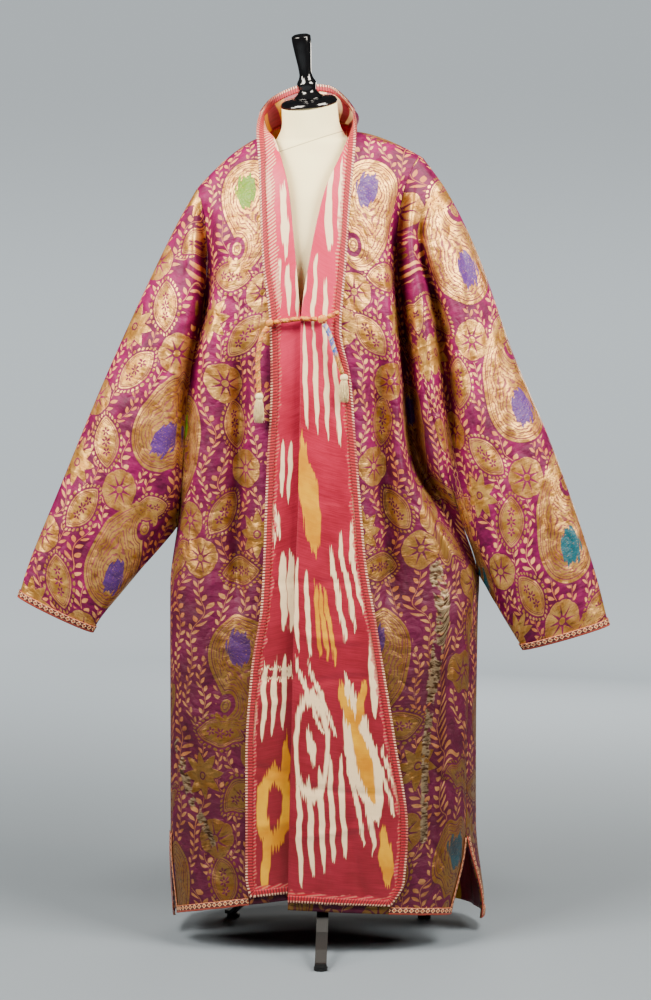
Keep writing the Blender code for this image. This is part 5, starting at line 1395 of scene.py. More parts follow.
def flower_group():
    """The flower: a faintly scalloped disc that eight thin dark spikes part into petals.

    A spike is where the arc from the nearest of eight directions is under a width that
    shrinks with the distance from the middle.
    """
    tree, net, given, out = new_group("flower", [("Place", "Vector")], [("Body", "Float"), ("Gold",
                "Float")])
    reach, angle = polar(net, given["Place"])
    turned = net.sum("SINE", net.times(angle, 4.0))
    petal = net.size(turned)
    edge = net.minus(reach, net.plus(0.0330, net.times(net.sum("POWER", petal, 0.6), 0.0022)))
    arc = net.times(net.times(net.size(net.sum("ARCSINE", turned)), 0.25), reach)
    width = net.times(net.minus(1.0, net.over(reach, 0.0300)), 0.0034)
    spike = net.times(net.under(net.minus(arc, width), 0.0, SOFT), net.step(reach, 0.0078, 0.0086))
    seam = net.times(net.times(net.under(arc, 0.0003, 0.0004), net.step(reach, 0.020, 0.022)), 0.7)
    veins = net.beyond(net.times(angle, 40.0 / (2.0 * math.pi)))
    veins = net.under(net.size(net.minus(veins, 0.5)), 0.12, 0.08)
    veins = net.times(net.times(veins, net.step(reach, 0.017, 0.022)), 0.32)
    rim = net.times(band(net, edge, -0.0036, 0.0003), 0.5)
    dark = any_of(net, spike, seam, veins, rim, band(net, reach, 0.0072, 0.0013))
    inside = net.times(net.under(edge, 0.0, SOFT), net.minus(1.0, dark))
    net.give(out["Body"], net.under(edge, 0.0032, 0.001))
    net.give(out["Gold"], inside)
    return tree


def star_group():
    """The star: eight sharp points made by a zigzag edge, with a small ring at its heart."""
    tree, net, given, out = new_group("star", [("Place", "Vector")], [("Body", "Float"), ("Gold", "Float")])
    reach, angle = polar(net, given["Place"])
    beat = net.beyond(net.times(angle, 8.0 / (2.0 * math.pi)))
    zigzag = net.size(net.minus(net.times(beat, 2.0), 1.0))
    edge = net.minus(reach, net.plus(0.0250, net.times(net.sum("POWER", zigzag, 1.25), 0.0210)))
    ring = band(net, reach, 0.0066, 0.0016)
    inside = net.times(net.under(edge, 0.0, SOFT), net.minus(1.0, ring))
    net.give(out["Body"], net.under(edge, 0.0034, 0.001))
    net.give(out["Gold"], inside)
    return tree


def vine_group():
    """Leafy vines over the ground: winding stems with pointed leaves on either side by turns.

    The ground is cut into upright lanes; in each the stem is a sine, and along it leaves
    repeat.  A leaf is the lens where two circles overlap: |across| under a + b (up squared).
    """
    tree, net, given, out = new_group("vine", [("Place", "Vector")], [("Gold", "Float")])
    lane, beat = 0.0365, 0.0152
    bend = net.times(net.minus(net.noise(given["Place"], 8.0, 1.0), 0.5), 0.110)
    x, y, _ = net.split(given["Place"])
    x = net.plus(x, bend)
    number = net.sum("FLOOR", net.over(x, lane))
    odd = net.times(net.beyond(net.times(number, 0.5)), 2.0)
    phase = net.plus(net.times(y, 2.0 * math.pi / 0.105), net.times(odd, 2.1))
    sway = net.times(net.sum("SINE", phase), 0.0060)
    middle = net.minus(net.times(net.beyond(net.over(x, lane)), lane), lane / 2.0)
    aside = net.minus(middle, sway)
    made = net.times(net.under(net.size(aside), 0.0005, 0.0004), 0.8)
    shift = net.times(odd, 0.4)
    for side, start in ((1.0, 0.0), (-1.0, 0.5)):
        turn = net.plus(net.plus(net.over(y, beat), shift), start)
        up = net.times(net.minus(net.beyond(turn), 0.5), beat)
        out_by = net.minus(net.times(aside, side), 0.0066)
        long_way = net.plus(net.times(out_by, 0.70), net.times(up, -0.71))
        wide_way = net.plus(net.times(out_by, 0.71), net.times(up, 0.70))
        lens = net.plus(net.over(net.size(wide_way), 0.0030),
                       net.sum("POWER", net.over(net.size(long_way), 0.0072), 2.0))
        made = net.most(made, net.under(lens, 1.0, 0.16))
    net.give(out["Gold"], made)
    return tree


MOTIFS = {"drop": drop_group(), "oval": oval_group(), "flower": flower_group(), "star": star_group()}
VINE = vine_group()
print("motif groups and their nodes:", {name: len(tree.nodes) for name, tree in MOTIFS.items()})


# %% [markdown]
# ## The repeat of the brocade
# A loom repeats its design over the cloth, so one small chart is enough.  The body cloth has
# drops in columns half a repeat apart; the sleeve cloth is a closer chart of the same motifs.
# Each row places one motif: metres across and down from the drop, its turn in degrees, its size.
# For every point the shader finds the nearest motif of each kind and draws only that one.

# %% Repeat charts
BODY_TILE, BODY_CHART = (0.330, 0.800), (
    ("drop", 0.000, 0.000, 173.0, 1.08), ("oval", -0.040, 0.137, -6.0, 1.0),
    ("flower", 0.030, 0.170, 0.0, 0.95), ("star", -0.076, 0.212, 8.0, 0.95),
    ("oval", -0.001, 0.242, 48.0, 1.0), ("flower", -0.050, 0.322, 12.0, 1.0),
    ("oval", -0.034, 0.396, 98.0, 1.0), ("flower", -0.004, 0.474, 0.0, 1.0),
    ("oval", -0.058, 0.554, 56.0, 1.0), ("star", 0.026, 0.588, 0.0, 0.92),
    ("flower", -0.104, 0.632, 20.0, 1.0), ("oval", -0.014, 0.655, 6.0, 1.0))
SLEEVE_TILE, SLEEVE_CHART = (0.262, 0.256), (
    ("drop", 0.000, 0.000, -12.0, 1.12), ("oval", -0.101, -0.074, 66.0, 1.0),
    ("oval", -0.101, 0.060, -62.0, 1.0), ("flower", -0.042, 0.124, 0.0, 1.0),
    ("star", -0.146, 0.116, 10.0, 0.92), ("flower", -0.160, -0.002, 15.0, 0.95),
    ("oval", 0.033, 0.130, 28.0, 0.85))


def nearest(net, place, tile, chart, kind, flip):
    """The place seen from the nearest motif of a kind, wrapped round the tile on both ways."""
    wide, high = tile
    best = chosen = turned_by = big = None
    for name, across, down, turn, size in chart:
        if name != kind:
            continue
        twice = chart is BODY_CHART and kind != "star"
        for shift_x, shift_y in ((0.0, 0.0), (wide / 2.0, high / 2.0))[:1 + twice]:
            apart = net.vector("SUBTRACT", place, (across + shift_x, down + shift_y, 0.0))
            wrap = net.put("ShaderNodeVectorMath", operation="WRAP")
            net.give(wrap.inputs[0], apart)
            wrap.inputs[1].default_value = (wide / 2.0, high / 2.0, 1.0)
            wrap.inputs[2].default_value = (-wide / 2.0, -high / 2.0, -1.0)
            apart = wrap.outputs[0]
            reach = net.over(net.vector("LENGTH", apart), size)
            if best is None:
                best, chosen, turned_by, big = reach, apart, math.radians(turn), size
                continue
            nearer = net.sum("LESS_THAN", reach, best)
            chosen = net.choose(nearer, chosen, apart)
            turned_by = net.blend(nearer, turned_by, math.radians(turn))
            big = net.blend(nearer, big, size)
            best = net.least(best, reach)
    x, y, _ = net.split(net.vector("MULTIPLY", chosen, (1.0, -1.0, 0.0)))
    x = net.times(x, flip)
    cosine, sine = net.sum("COSINE", turned_by), net.sum("SINE", turned_by)
    own_x = net.plus(net.times(x, cosine), net.times(y, sine))
    own_y = net.minus(net.times(y, cosine), net.times(x, sine))
    return net.vector("DIVIDE", net.join(own_x, own_y), net.join(big, big, 1.0))


def repeat_group(name, tile, chart):
    """One cloth's whole design: where it is gold, where a heart is coloured, where leaves show."""
    tree, net, given, out = new_group(name, [("Place", "Vector"), ("Flip", "Float")],
                                      [("Gold", "Float"), ("Heart", "Float"), ("Leaf", "Float")])
    gold, body, heart = [], [], None
    for kind, motif in MOTIFS.items():
        flip = given["Flip"] if kind == "drop" else 1.0
        made = net.group(motif, Place=nearest(net, given["Place"], tile, chart, kind, flip))
        gold.append(made["Gold"])
        body.append(made["Body"])
        heart = made["Heart"] if kind == "drop" else heart
    solid = any_of(net, *body)
    clear = net.minus(1.0, solid)
    leaf = net.group(VINE, Place=given["Place"])["Gold"]
    net.give(out["Gold"], net.times(any_of(net, *gold), solid))
    net.give(out["Heart"], net.times(heart, body[0]))
    net.give(out["Leaf"], net.times(leaf, clear))
    return tree


REPEAT = {"body": repeat_group("body_repeat", BODY_TILE, BODY_CHART),
          "sleeve": repeat_group("sleeve_repeat", SLEEVE_TILE, SLEEVE_CHART)}
print("nodes in the repeats:", {name: len(tree.nodes) for name, tree in REPEAT.items()})

# %% [markdown]
# ## Silk ground and laid gold
# The ground is magenta silk, the motifs are flat gilt threads, and the leaves are cream silk
# that has aged to peach.  Gilt is part metal, so it answers the lights; the silk is not.  The
# threads run across the cloth, and hard wear has crushed the gilt into fine creases.

# %% Brocade finish
MAGENTA, MAGENTA_DEEP = colour(132, 3, 80), colour(78, 1, 44)
GILT, GILT_LIGHT, GILT_DULL = colour(168, 116, 50), colour(220, 168, 92), colour(82, 50, 20)
LEAF, LEAF_LIGHT = colour(190, 112, 60), colour(226, 162, 98)
HEARTS = {"purple": colour(82, 44, 116), "lime": colour(96, 134, 4), "teal": colour(14, 84, 98)}
# The last colour here is painted shade: a dark brown mixed into the brocade more and more towards the hem.
WORN, WORN_DARK, HEM_SHADE_COLOUR = colour(224, 196, 154), colour(104, 70, 46), colour(40, 16, 12)


def finish_group():
    """Masks in, finish out: colour, metal, roughness and thread height of the brocade."""
    tree, net, given, out = new_group(
        "brocade_finish", [("Own", "Vector"), ("Gold", "Float"), ("Heart", "Float"), ("Leaf", "Float"),
                           ("Lime", "Float"), ("Teal", "Float"), ("Worn", "Float")],
        [("Colour", "Color"), ("Metal", "Float"), ("Rough", "Float"), ("Height", "Float")])
    own = given["Own"]
    across, down, _ = net.split(own)
    broad = net.step(net.noise(own, 9.0, 3.0), 0.36, 0.64)
    patchy = net.step(net.noise(own, 34.0, 3.0, 0.6), 0.36, 0.66)
    speck = net.noise(net.join(net.times(across, 260.0), net.times(down, 900.0)), 1.0, 1.0)
    crush = net.noise(net.join(net.times(across, 60.0), net.times(down, 190.0)), 1.0, 2.0, 0.6)
    dent = net.size(net.minus(net.noise(own, 19.0, 2.0, 0.55), 0.5))
    ground = net.mix(net.times(net.plus(broad, patchy), 0.5), MAGENTA_DEEP, MAGENTA)
    leaf = net.mix(broad, LEAF, LEAF_LIGHT)
    gilt = net.mix(patchy, GILT, GILT_LIGHT)
    gilt = net.mix(net.times(net.step(crush, 0.54, 0.74), 0.6), gilt, GILT_DULL)
    gold = given["Gold"]
    shade = net.mix(given["Leaf"], ground, leaf)
    shade = net.mix(gold, shade, gilt)
    heart = net.mix(given["Lime"], HEARTS["purple"], HEARTS["lime"])
    heart = net.mix(given["Teal"], heart, HEARTS["teal"])
    frayed = net.times(given["Heart"], net.step(speck, 0.24, 0.40))
    shade = net.mix(frayed, shade, heart)
    worn = net.times(given["Worn"], net.step(patchy, 0.05, 0.35))
    shade = net.mix(worn, shade, net.mix(net.step(crush, 0.40, 0.56), WORN_DARK, WORN))
    # Painted shade: the brocade is darkened towards the hem with a dark brown, a little mottled.
    hem_painted_shade = net.times(net.step(down, 0.36, 1.15), net.plus(0.50, net.times(patchy, 0.24)))
    shade = net.mix(hem_painted_shade, shade, HEM_SHADE_COLOUR)
    metal = net.times(net.minus(gold, given["Heart"], clamp=True), 0.62)
    net.give(out["Colour"], shade)
    net.give(out["Metal"], net.most(metal, net.times(worn, 0.7)))
    net.give(out["Rough"], net.minus(0.56, net.times(net.most(gold, worn), 0.16)))
    height = net.plus(net.times(gold, 0.05), net.times(crush, 0.34))
    height = net.plus(height, net.times(speck, 0.07))
    height = net.plus(height, net.times(dent, 3.4))
    net.give(out["Height"], height)
    return tree


FINISH = finish_group()


def streak_group():
    """A soft streak between two points of the cloth: 1 within its half width of the line."""
    tree, net, given, out = new_group("streak", [("Own", "Vector"), ("From", "Vector"), ("To", "Vector"),
                                                 ("Half", "Float")], [("Mask", "Float")])
    line = net.vector("SUBTRACT", given["To"], given["From"])
    away = net.vector("SUBTRACT", given["Own"], given["From"])
    share = net.over(net.vector("DOT_PRODUCT", away, line), net.vector("DOT_PRODUCT", line, line),
                    clamp=True)
    apart = net.put("ShaderNodeVectorMath", operation="SCALE")
    net.give(apart.inputs[0], line)
    net.give(apart.inputs["Scale"], share)
    apart = net.vector("LENGTH", net.vector("SUBTRACT", away, apart.outputs[0]))
    ragged = net.times(net.minus(net.noise(given["Own"], 70.0), 0.5), 0.011)
    net.give(out["Mask"], net.under(net.plus(apart, ragged), given["Half"], 0.0022))
    return tree


STREAK = streak_group()
# One row a streak of bare gilt cloth: across and down where it starts and ends, half its width.
WORN_LINES = {
    "front_right": ((-0.257, 1.150, -0.227, 1.240, 0.007), (-0.227, 1.240, -0.182, 1.317, 0.007)),
    "front_left": ((0.243, 0.859, 0.238, 0.935, 0.015), (0.236, 0.935, 0.212, 1.067, 0.013),
                   (0.212, 1.067, 0.198, 1.187, 0.009), (0.198, 1.187, 0.197, 1.330, 0.008)),
}
# One row a panel: which repeat, where its drop lies, its mirror, then how far
# down the lime hearts reach and from where the hearts are teal.
PANELS = {
    "front_right": ("body", -0.124, 0.186, 1.0, 0.60, 9.0),
    "front_left": ("body", 0.108, 0.188, -1.0, -9.0, 1.10),
    "back": ("body", 0.020, 0.250, 1.0, 0.42, 1.20),
    "sleeve_right": ("sleeve", 0.180, 0.172, 1.0, 0.05, 9.0),
    "sleeve_left": ("sleeve", -0.053, 0.154, 1.0, -9.0, 0.30),
}


def brocade(name, repeat, across, down, mirror, lime_to, teal_from):
    """The brocade on one panel: the repeat is shifted and mirrored to the panel's cut."""
    made, net, shader = new_material("brocade_" + name, 0.5)
    own = cloth_place(net)
    place = net.vector("SUBTRACT", own, (across, down, 0.0))
    place = net.vector("MULTIPLY", place, (mirror, 1.0, 1.0))
    masks = net.group(REPEAT[repeat], Place=place, Flip=mirror)
    height = net.split(own)[1]
    worn = 0.0
    for x_0, y_0, x_1, y_1, half in WORN_LINES.get(name, ()):
        line = net.group(STREAK, Own=own, From=(x_0, y_0, 0.0), To=(x_1, y_1, 0.0), Half=half)["Mask"]
        worn = net.most(worn, line)
    finish = net.group(FINISH, Own=own, Gold=masks["Gold"], Heart=masks["Heart"], Leaf=masks["Leaf"],
                       Lime=net.sum("LESS_THAN", height, lime_to), Teal=net.sum("GREATER_THAN", height,
                                   teal_from),
                       Worn=worn)
    net.give(shader.inputs["Base Color"], finish["Colour"])
    net.give(shader.inputs["Metallic"], finish["Metal"])
    net.give(shader.inputs["Roughness"], finish["Rough"])
    bump = net.put("ShaderNodeBump")
    bump.inputs["Strength"].default_value = 0.7
    bump.inputs["Distance"].default_value = 0.0048
    net.give(bump.inputs["Height"], finish["Height"])
    net.give(shader.inputs["Normal"], bump.outputs[0])
    shader.inputs["Specular IOR Level"].default_value = 0.28
    return made


BROCADE = {name: brocade(name, *row) for name, row in PANELS.items()}
print("brocade for:", sorted(BROCADE))

# %% [markdown]
# ## The ikat lining
# Ikat is dyed on the warp before weaving, so every form runs up and down the cloth and its ends
# are feathered, thread by thread.  The forms are the traditional ones: combs of upright bars,
# drops, and rings.  Each is a node group with named sizes, and a short table places them.

# %% Ikat forms
def comb_group():
    """A comb: bars side by side, each a little lower and more slanted than the one before.

    A bar's middle line is first + number x spacing + lean x share + spread x number x share,
    where share runs from 0 at its top to 1 at its foot; it swells in the middle.
    """
    tree, net, given, out = new_group("ikat_comb", [("Place", "Vector")] + [(name, "Float") for name in (
        "First", "Top", "Foot", "Count", "Spacing", "Half", "Lean", "Spread", "Step")], [("Mask", "Float")])
    x, y, _ = net.split(given["Place"])
    tall = net.minus(given["Foot"], given["Top"])
    rough = net.over(net.minus(y, given["Top"]), tall, clamp=True)
    away = net.minus(net.minus(x, given["First"]), net.times(given["Lean"], rough))
    pitch = net.plus(given["Spacing"], net.times(given["Spread"], rough))
    number = net.sum("ROUND", net.over(away, pitch))
    number = net.least(net.most(number, 0.0), net.minus(given["Count"], 1.0))
    share = net.over(net.minus(net.minus(y, given["Top"]),
                                      net.times(given["Step"], number)), tall)
    apart = net.size(net.minus(away, net.times(number, pitch)))
    swell = net.minus(1.0, net.sum("POWER", net.size(net.minus(net.times(share, 2.0), 1.0)), 3.0),
                clamp=True)
    half = net.times(given["Half"], net.plus(0.35, net.times(swell, 0.65)))
    inside = net.times(net.step(share, -0.01, 0.01), net.step(share, 1.01, 0.99))
    net.give(out["Mask"], net.times(net.under(apart, half, 0.0009), inside))
    return tree


def dye_drop_group():
    """A dyed drop: its half width is Half x sin(pi x share^1.4)^0.8 from its top to its foot."""
    tree, net, given, out = new_group("ikat_drop", [("Place", "Vector")] + [(name, "Float") for name in (
        "Across", "Top", "Foot", "Half", "Lean")], [("Mask", "Float")])
    x, y, _ = net.split(given["Place"])
    share = net.over(net.minus(y, given["Top"]), net.minus(given["Foot"], given["Top"]), clamp=True)
    half = net.sum("SINE", net.times(net.sum("POWER", share, 1.25), math.pi))
    half = net.times(given["Half"], net.sum("POWER", net.most(half, 0.0), 0.8))
    apart = net.size(net.minus(net.minus(x, given["Across"]), net.times(given["Lean"], share)))
    inside = net.times(net.sum("GREATER_THAN", share, 0.004), net.sum("LESS_THAN", share, 0.996))
    net.give(out["Mask"], net.times(net.under(net.minus(apart, half), -0.0004, 0.0009), inside))
    return tree


def dye_ring_group():
    """A dyed ring: an oval line, Line wide on each side, of the two half sizes Wide and Tall."""
    tree, net, given, out = new_group("ikat_ring", [("Place", "Vector")] + [(name, "Float") for name in (
        "Across", "Down", "Wide", "Tall", "Line")], [("Mask", "Float")])
    x, y, _ = net.split(given["Place"])
    reach = net.vector("LENGTH", net.join(net.over(net.minus(x, given["Across"]), given["Wide"]),
                                          net.over(net.minus(y, given["Down"]), given["Tall"])))
    apart = net.times(net.size(net.minus(reach, 1.0)), given["Wide"])
    net.give(out["Mask"], net.under(apart, given["Line"], 0.0012))
    return tree


DYED = {"comb": (comb_group(), ("First", "Top", "Foot", "Count", "Spacing", "Half", "Lean", "Spread",
            "Step")),
        "drop": (dye_drop_group(), ("Across", "Top", "Foot", "Half", "Lean")),
        "ring": (dye_ring_group(), ("Across", "Down", "Wide", "Tall", "Line"))}
# One row a form, in the order of its group's sizes, in metres of cloth.
IKAT_FORMS = {
    "left": (
        ("white", "comb", 0.026, 0.080, 0.215, 2, 0.022, 0.0045, 0.004, 0.000, 0.050),
        ("white", "drop", 0.026, 0.175, 0.285, 0.0085, 0.006),
        ("white", "comb", -0.010, 0.270, 0.400, 3, 0.019, 0.0040, -0.012, 0.003, 0.030),
        ("white", "comb", -0.016, 0.425, 0.590, 5, 0.0180, 0.0042, 0.004, 0.001, 0.004),
        ("yellow", "drop", -0.021, 0.605, 0.812, 0.0190, 0.024),
        ("yellow", "comb", 0.003, 0.858, 0.985, 3, 0.007, 0.0040, 0.008, 0.006, 0.004),
        ("white", "comb", -0.030, 0.832, 0.985, 2, 0.0175, 0.0040, 0.002, 0.003, 0.005),
        ("white", "comb", 0.028, 0.792, 0.955, 3, 0.0185, 0.0044, 0.028, 0.002, -0.030),
        ("white", "comb", 0.066, 0.690, 0.890, 2, 0.0160, 0.0032, 0.030, 0.000, 0.010),
        ("white", "drop", 0.100, 0.880, 1.080, 0.0085, 0.004),
        ("white", "comb", -0.032, 0.998, 1.120, 2, 0.0220, 0.0040, 0.048, 0.000, 0.000),
        ("white", "drop", 0.052, 1.000, 1.270, 0.0290, 0.058),
        ("white", "ring", -0.004, 1.145, 0.0270, 0.0860, 0.0036),
        ("white", "drop", -0.010, 1.108, 1.175, 0.0075, 0.010),
        ("yellow", "drop", 0.058, 1.045, 1.238, 0.0135, 0.048),
        ("yellow", "comb", 0.044, 1.022, 1.100, 2, 0.0420, 0.0068, 0.018, -0.030, -0.005),
        ("white", "comb", -0.027, 1.208, 1.385, 5, 0.0185, 0.0048, 0.006, 0.001, -0.014),
        ("white", "comb", 0.058, 1.160, 1.300, 2, 0.0180, 0.0042, 0.030, 0.000, 0.020),
        ("white", "comb", 0.104, 1.125, 1.250, 3, 0.0130, 0.0034, 0.036, 0.001, 0.000),
        ("yellow", "drop", 0.120, 1.262, 1.378, 0.0120, 0.012)),
    "right": (
        ("white", "drop", -0.062, 0.020, 0.120, 0.0120, 0.006),
        ("white", "comb", -0.085, 0.125, 0.190, 2, 0.0260, 0.0060, 0.004, 0.000, 0.045),
        ("white", "drop", -0.052, 0.195, 0.292, 0.0090, 0.002),
        ("white", "comb", -0.066, 0.290, 0.370, 3, 0.0170, 0.0045, 0.006, 0.000, 0.016),
        ("white", "comb", -0.052, 0.600, 0.690, 2, 0.0130, 0.0038, -0.004, 0.000, 0.010),
        ("white", "comb", -0.080, 0.715, 0.775, 2, 0.0120, 0.0040, 0.014, 0.000, -0.012),
        ("white", "comb", -0.054, 0.790, 0.925, 2, 0.0130, 0.0060, 0.003, 0.000, 0.010),
        ("white", "drop", -0.094, 0.895, 0.945, 0.0060, -0.002),
        ("white", "ring", -0.074, 1.004, 0.0340, 0.0120, 0.0050),
        ("white", "comb", -0.101, 0.990, 1.118, 4, 0.0170, 0.0044, -0.004, 0.000, -0.006),
        ("yellow", "drop", -0.046, 1.112, 1.205, 0.0080, -0.004),
        ("yellow", "ring", -0.068, 1.236, 0.0225, 0.0540, 0.0078),
        ("yellow", "drop", -0.080, 1.268, 1.392, 0.0090, -0.006)),
    "lining": (
        ("white", "comb", -0.110, -0.180, 0.000, 5, 0.0200, 0.0050, 0.020, 0.001, -0.012),
        ("white", "comb", 0.030, 0.020, 0.180, 4, 0.0210, 0.0048, -0.016, 0.001, 0.014),
        ("white", "ring", 0.070, -0.120, 0.0300, 0.0850, 0.0045),
        ("yellow", "drop", 0.062, -0.200, -0.030, 0.0160, 0.014),
        ("yellow", "ring", -0.070, 0.110, 0.0240, 0.0560, 0.0080),
        ("white", "drop", -0.120, 0.030, 0.190, 0.0100, 0.008)),
}
LINING_TILE = (0.30, 0.46)
# The overcast stitches along a revers: how far in they reach, down to where, how pale they are.
STITCHED = {"left_revers": (0.020, 0.30, 0.45), "right_revers": (0.030, 0.36, 0.62)}
BRIGHT_RED = colour(176, 6, 34)
PINK, CRIMSON, CRIMSON_DEEP = colour(204, 46, 86), colour(184, 34, 68), colour(136, 14, 38)
CREAM, YELLOW, OCHRE = colour(244, 214, 170), colour(224, 164, 8), colour(190, 120, 2)
# The colour below is painted shade, mixed into the ikat more and more down the cloth.
IKAT_SHADE_COLOUR = colour(84, 30, 24)


def ikat(name, forms, tile=None):
    """Ikat silk: the place is feathered down the warp, then each form dyes its own mask."""
    made, net, shader = new_material("ikat_" + name, 0.42)
    own = cloth_place(net)
    across, down, _ = net.split(own)
    thread = net.noise(net.join(net.times(across, 420.0), net.times(down, 9.0)), 1.0, 1.0)
    drift = net.noise(net.join(net.times(across, 30.0), net.times(down, 30.0)), 1.0, 1.0)
    feather = net.plus(net.times(net.minus(thread, 0.5), 0.050),
                      net.times(net.minus(drift, 0.5), 0.020))
    sway = net.times(net.minus(net.noise(own, 24.0, 1.0), 0.5), 0.010)
    place = net.join(net.plus(across, sway), net.plus(down, feather))
    if tile:
        wrap = net.put("ShaderNodeVectorMath", operation="WRAP")
        net.give(wrap.inputs[0], place)
        wrap.inputs[1].default_value = (tile[0] / 2.0, tile[1] / 2.0, 1.0)
        wrap.inputs[2].default_value = (-tile[0] / 2.0, -tile[1] / 2.0, -1.0)
        place = wrap.outputs[0]
    masks = {"white": [], "yellow": []}
    for tone, form, *values in forms:
        tree, names = DYED[form]
        masks[tone].append(net.group(tree, Place=place, **dict(zip(names, map(float, values))))["Mask"])
    mottle = net.step(net.noise(own, 15.0, 3.0, 0.6), 0.30, 0.72)
    weft = net.noise(net.join(net.times(across, 22.0), net.times(down, 620.0)), 1.0, 1.0)
    fine = net.noise(net.join(net.times(across, 700.0), net.times(down, 60.0)), 1.0, 1.0)
    tone = net.plus(net.times(mottle, 0.55), net.times(net.step(weft, 0.30, 0.70), 0.45))
    crimson = net.mix(tone, CRIMSON_DEEP, CRIMSON)
    shade = net.mix(net.step(down, 0.34, 0.62), net.mix(tone, CRIMSON, PINK), crimson)
    # Painted shade: the ikat darkens to brown further down the cloth, more on the right revers.
    ikat_painted_shade = net.times(net.step(down, 0.46, 1.20), 0.62 if name == "right_revers" else 0.50)
    shade = net.mix(ikat_painted_shade, shade, IKAT_SHADE_COLOUR)
    shade = net.mix(net.times(any_of(net, *masks["white"]), net.step(fine, 0.12, 0.34)), shade, CREAM)
    shade = net.mix(any_of(net, *masks["yellow"]), shade, net.mix(mottle, OCHRE, YELLOW))
    if not tile:
        edge = net.put("ShaderNodeAttribute", attribute_name="from_edge").outputs["Fac"]
        wander = net.times(net.minus(net.noise(own, 60.0, 1.0), 0.5), 0.016)
        reach, low, share = STITCHED[name]
        reach = net.blend(net.step(down, low - 0.05, low + 0.05), reach, 0.018)
        hemmed = net.under(net.plus(edge, wander), reach, 0.0012)
        beat = net.beyond(net.over(net.plus(down, net.times(across, 0.25)), 0.0062))
        stitch = net.times(net.step(net.size(net.minus(beat, 0.5)), 0.24, 0.34), hemmed)
        shade = net.mix(net.times(hemmed, 0.75), shade, net.mix(mottle, CRIMSON, BRIGHT_RED))
        share = net.blend(net.step(down, low - 0.05, low + 0.05), share, 0.22)
        shade = net.mix(net.times(net.times(stitch, net.step(fine, 0.25, 0.45)), share), shade, CREAM)
    net.give(shader.inputs["Base Color"], shade)
    ribs = net.noise(net.join(net.times(across, 24.0), net.times(down, 150.0)), 1.0, 2.0, 0.6)
    bump = net.put("ShaderNodeBump")
    bump.inputs["Strength"].default_value = 0.5
    bump.inputs["Distance"].default_value = 0.0008
    net.give(bump.inputs["Height"], net.plus(ribs, net.times(fine, 0.25)))
    net.give(shader.inputs["Normal"], bump.outputs[0])
    shader.inputs["Specular IOR Level"].default_value = 0.35
    return made


IKAT = {side: ikat(side + "_revers", IKAT_FORMS[side]) for side in SIGN}
LINING = ikat("lining", IKAT_FORMS["lining"], LINING_TILE)
print("ikat forms:", {name: len(rows) for name, rows in IKAT_FORMS.items()})

# %% [markdown]
# ## Braids, cord, threads, jersey and black parts
# The narrow hand-woven braids have two patterns: short bars like a ladder, and a chain of small
# diamonds.  They read the braid's own coordinates: 0 to 1 across it, and metres along it.

# %% Trims and plain finishes
def braid(name):
    """The braid's pattern from bars or diamonds that repeat along it, with a line at each edge."""
    made, net, shader = new_material("braid_" + name, 0.62)
    across, along_it, _ = net.split(cloth_place(net))
    fleck = net.noise(net.join(net.times(across, 9.0), net.times(along_it, 900.0)), 1.0, 1.0)
    if name == "ladder":
        beat = net.beyond(net.over(along_it, 0.0050))
        rib = net.step(net.size(net.minus(beat, 0.5)), 0.34, 0.14)
        shade = net.mix(rib, colour(104, 2, 20), colour(186, 12, 38))
        runs = net.step(net.noise(net.join(0.0, along_it), 9.0, 1.0), 0.38, 0.52)
        tick = net.times(net.times(rib, net.step(across, 0.40, 0.22)), net.plus(0.25, net.times(runs,
                    0.75)))
        shade = net.mix(net.times(tick, net.step(fleck, 0.15, 0.35)), shade, colour(240, 200, 166))
        height = rib
    else:
        beat = net.minus(net.beyond(net.over(along_it, 0.0105)), 0.5)
        aside = net.size(net.minus(across, 0.60))
        reach = net.plus(net.times(net.size(beat), 1.0), net.times(aside, 1.30))
        chain = net.under(net.size(net.minus(reach, 0.36)), 0.085, 0.03)
        heart = net.under(reach, 0.16, 0.04)
        shade = net.mix(chain, colour(66, 4, 14), colour(244, 190, 138))
        shade = net.mix(heart, shade, colour(196, 84, 50))
        shade = net.mix(net.step(across, 0.26, 0.20), shade, colour(186, 76, 56))
        shade = net.mix(net.step(across, 0.93, 0.96), shade, colour(206, 124, 84))
        height = chain
    shade = net.mix(net.times(fleck, 0.20), shade, colour(104, 52, 36))
    net.give(shader.inputs["Base Color"], shade)
    bump = net.put("ShaderNodeBump")
    bump.inputs["Strength"].default_value = 0.5
    bump.inputs["Distance"].default_value = 0.0005
    net.give(bump.inputs["Height"], net.plus(height, fleck))
    net.give(shader.inputs["Normal"], bump.outputs[0])
    return made


def plies(name, first, second, third, change=None, later=None):
    """Cord silk: three plies of their own colours wind round; past a length they may change."""
    made, net, shader = new_material("cord_" + name, 0.55)
    around, along_it, _ = net.split(cloth_place(net))
    turn = net.beyond(net.minus(around, net.over(along_it, 0.017)))
    streaks = net.noise(net.join(net.times(around, 14.0), net.times(along_it, 240.0)), 1.0, 2.0)
    def wound(colours):
        shade = net.mix(net.step(turn, 0.31, 0.35), colour(*colours[0]), colour(*colours[1]))
        return net.mix(net.step(turn, 0.64, 0.68), shade, colour(*colours[2]))
    shade = wound((first, second, third))
    if change is not None:
        shade = net.mix(net.step(along_it, change - 0.006, change + 0.006), shade, wound(later))
    shade = net.mix(net.step(streaks, 0.50, 0.72), shade, colour(216, 164, 100))
    net.give(shader.inputs["Base Color"], shade)
    bump = net.put("ShaderNodeBump")
    bump.inputs["Strength"].default_value = 0.6
    bump.inputs["Distance"].default_value = 0.0005
    net.give(bump.inputs["Height"], streaks)
    net.give(shader.inputs["Normal"], bump.outputs[0])
    return made


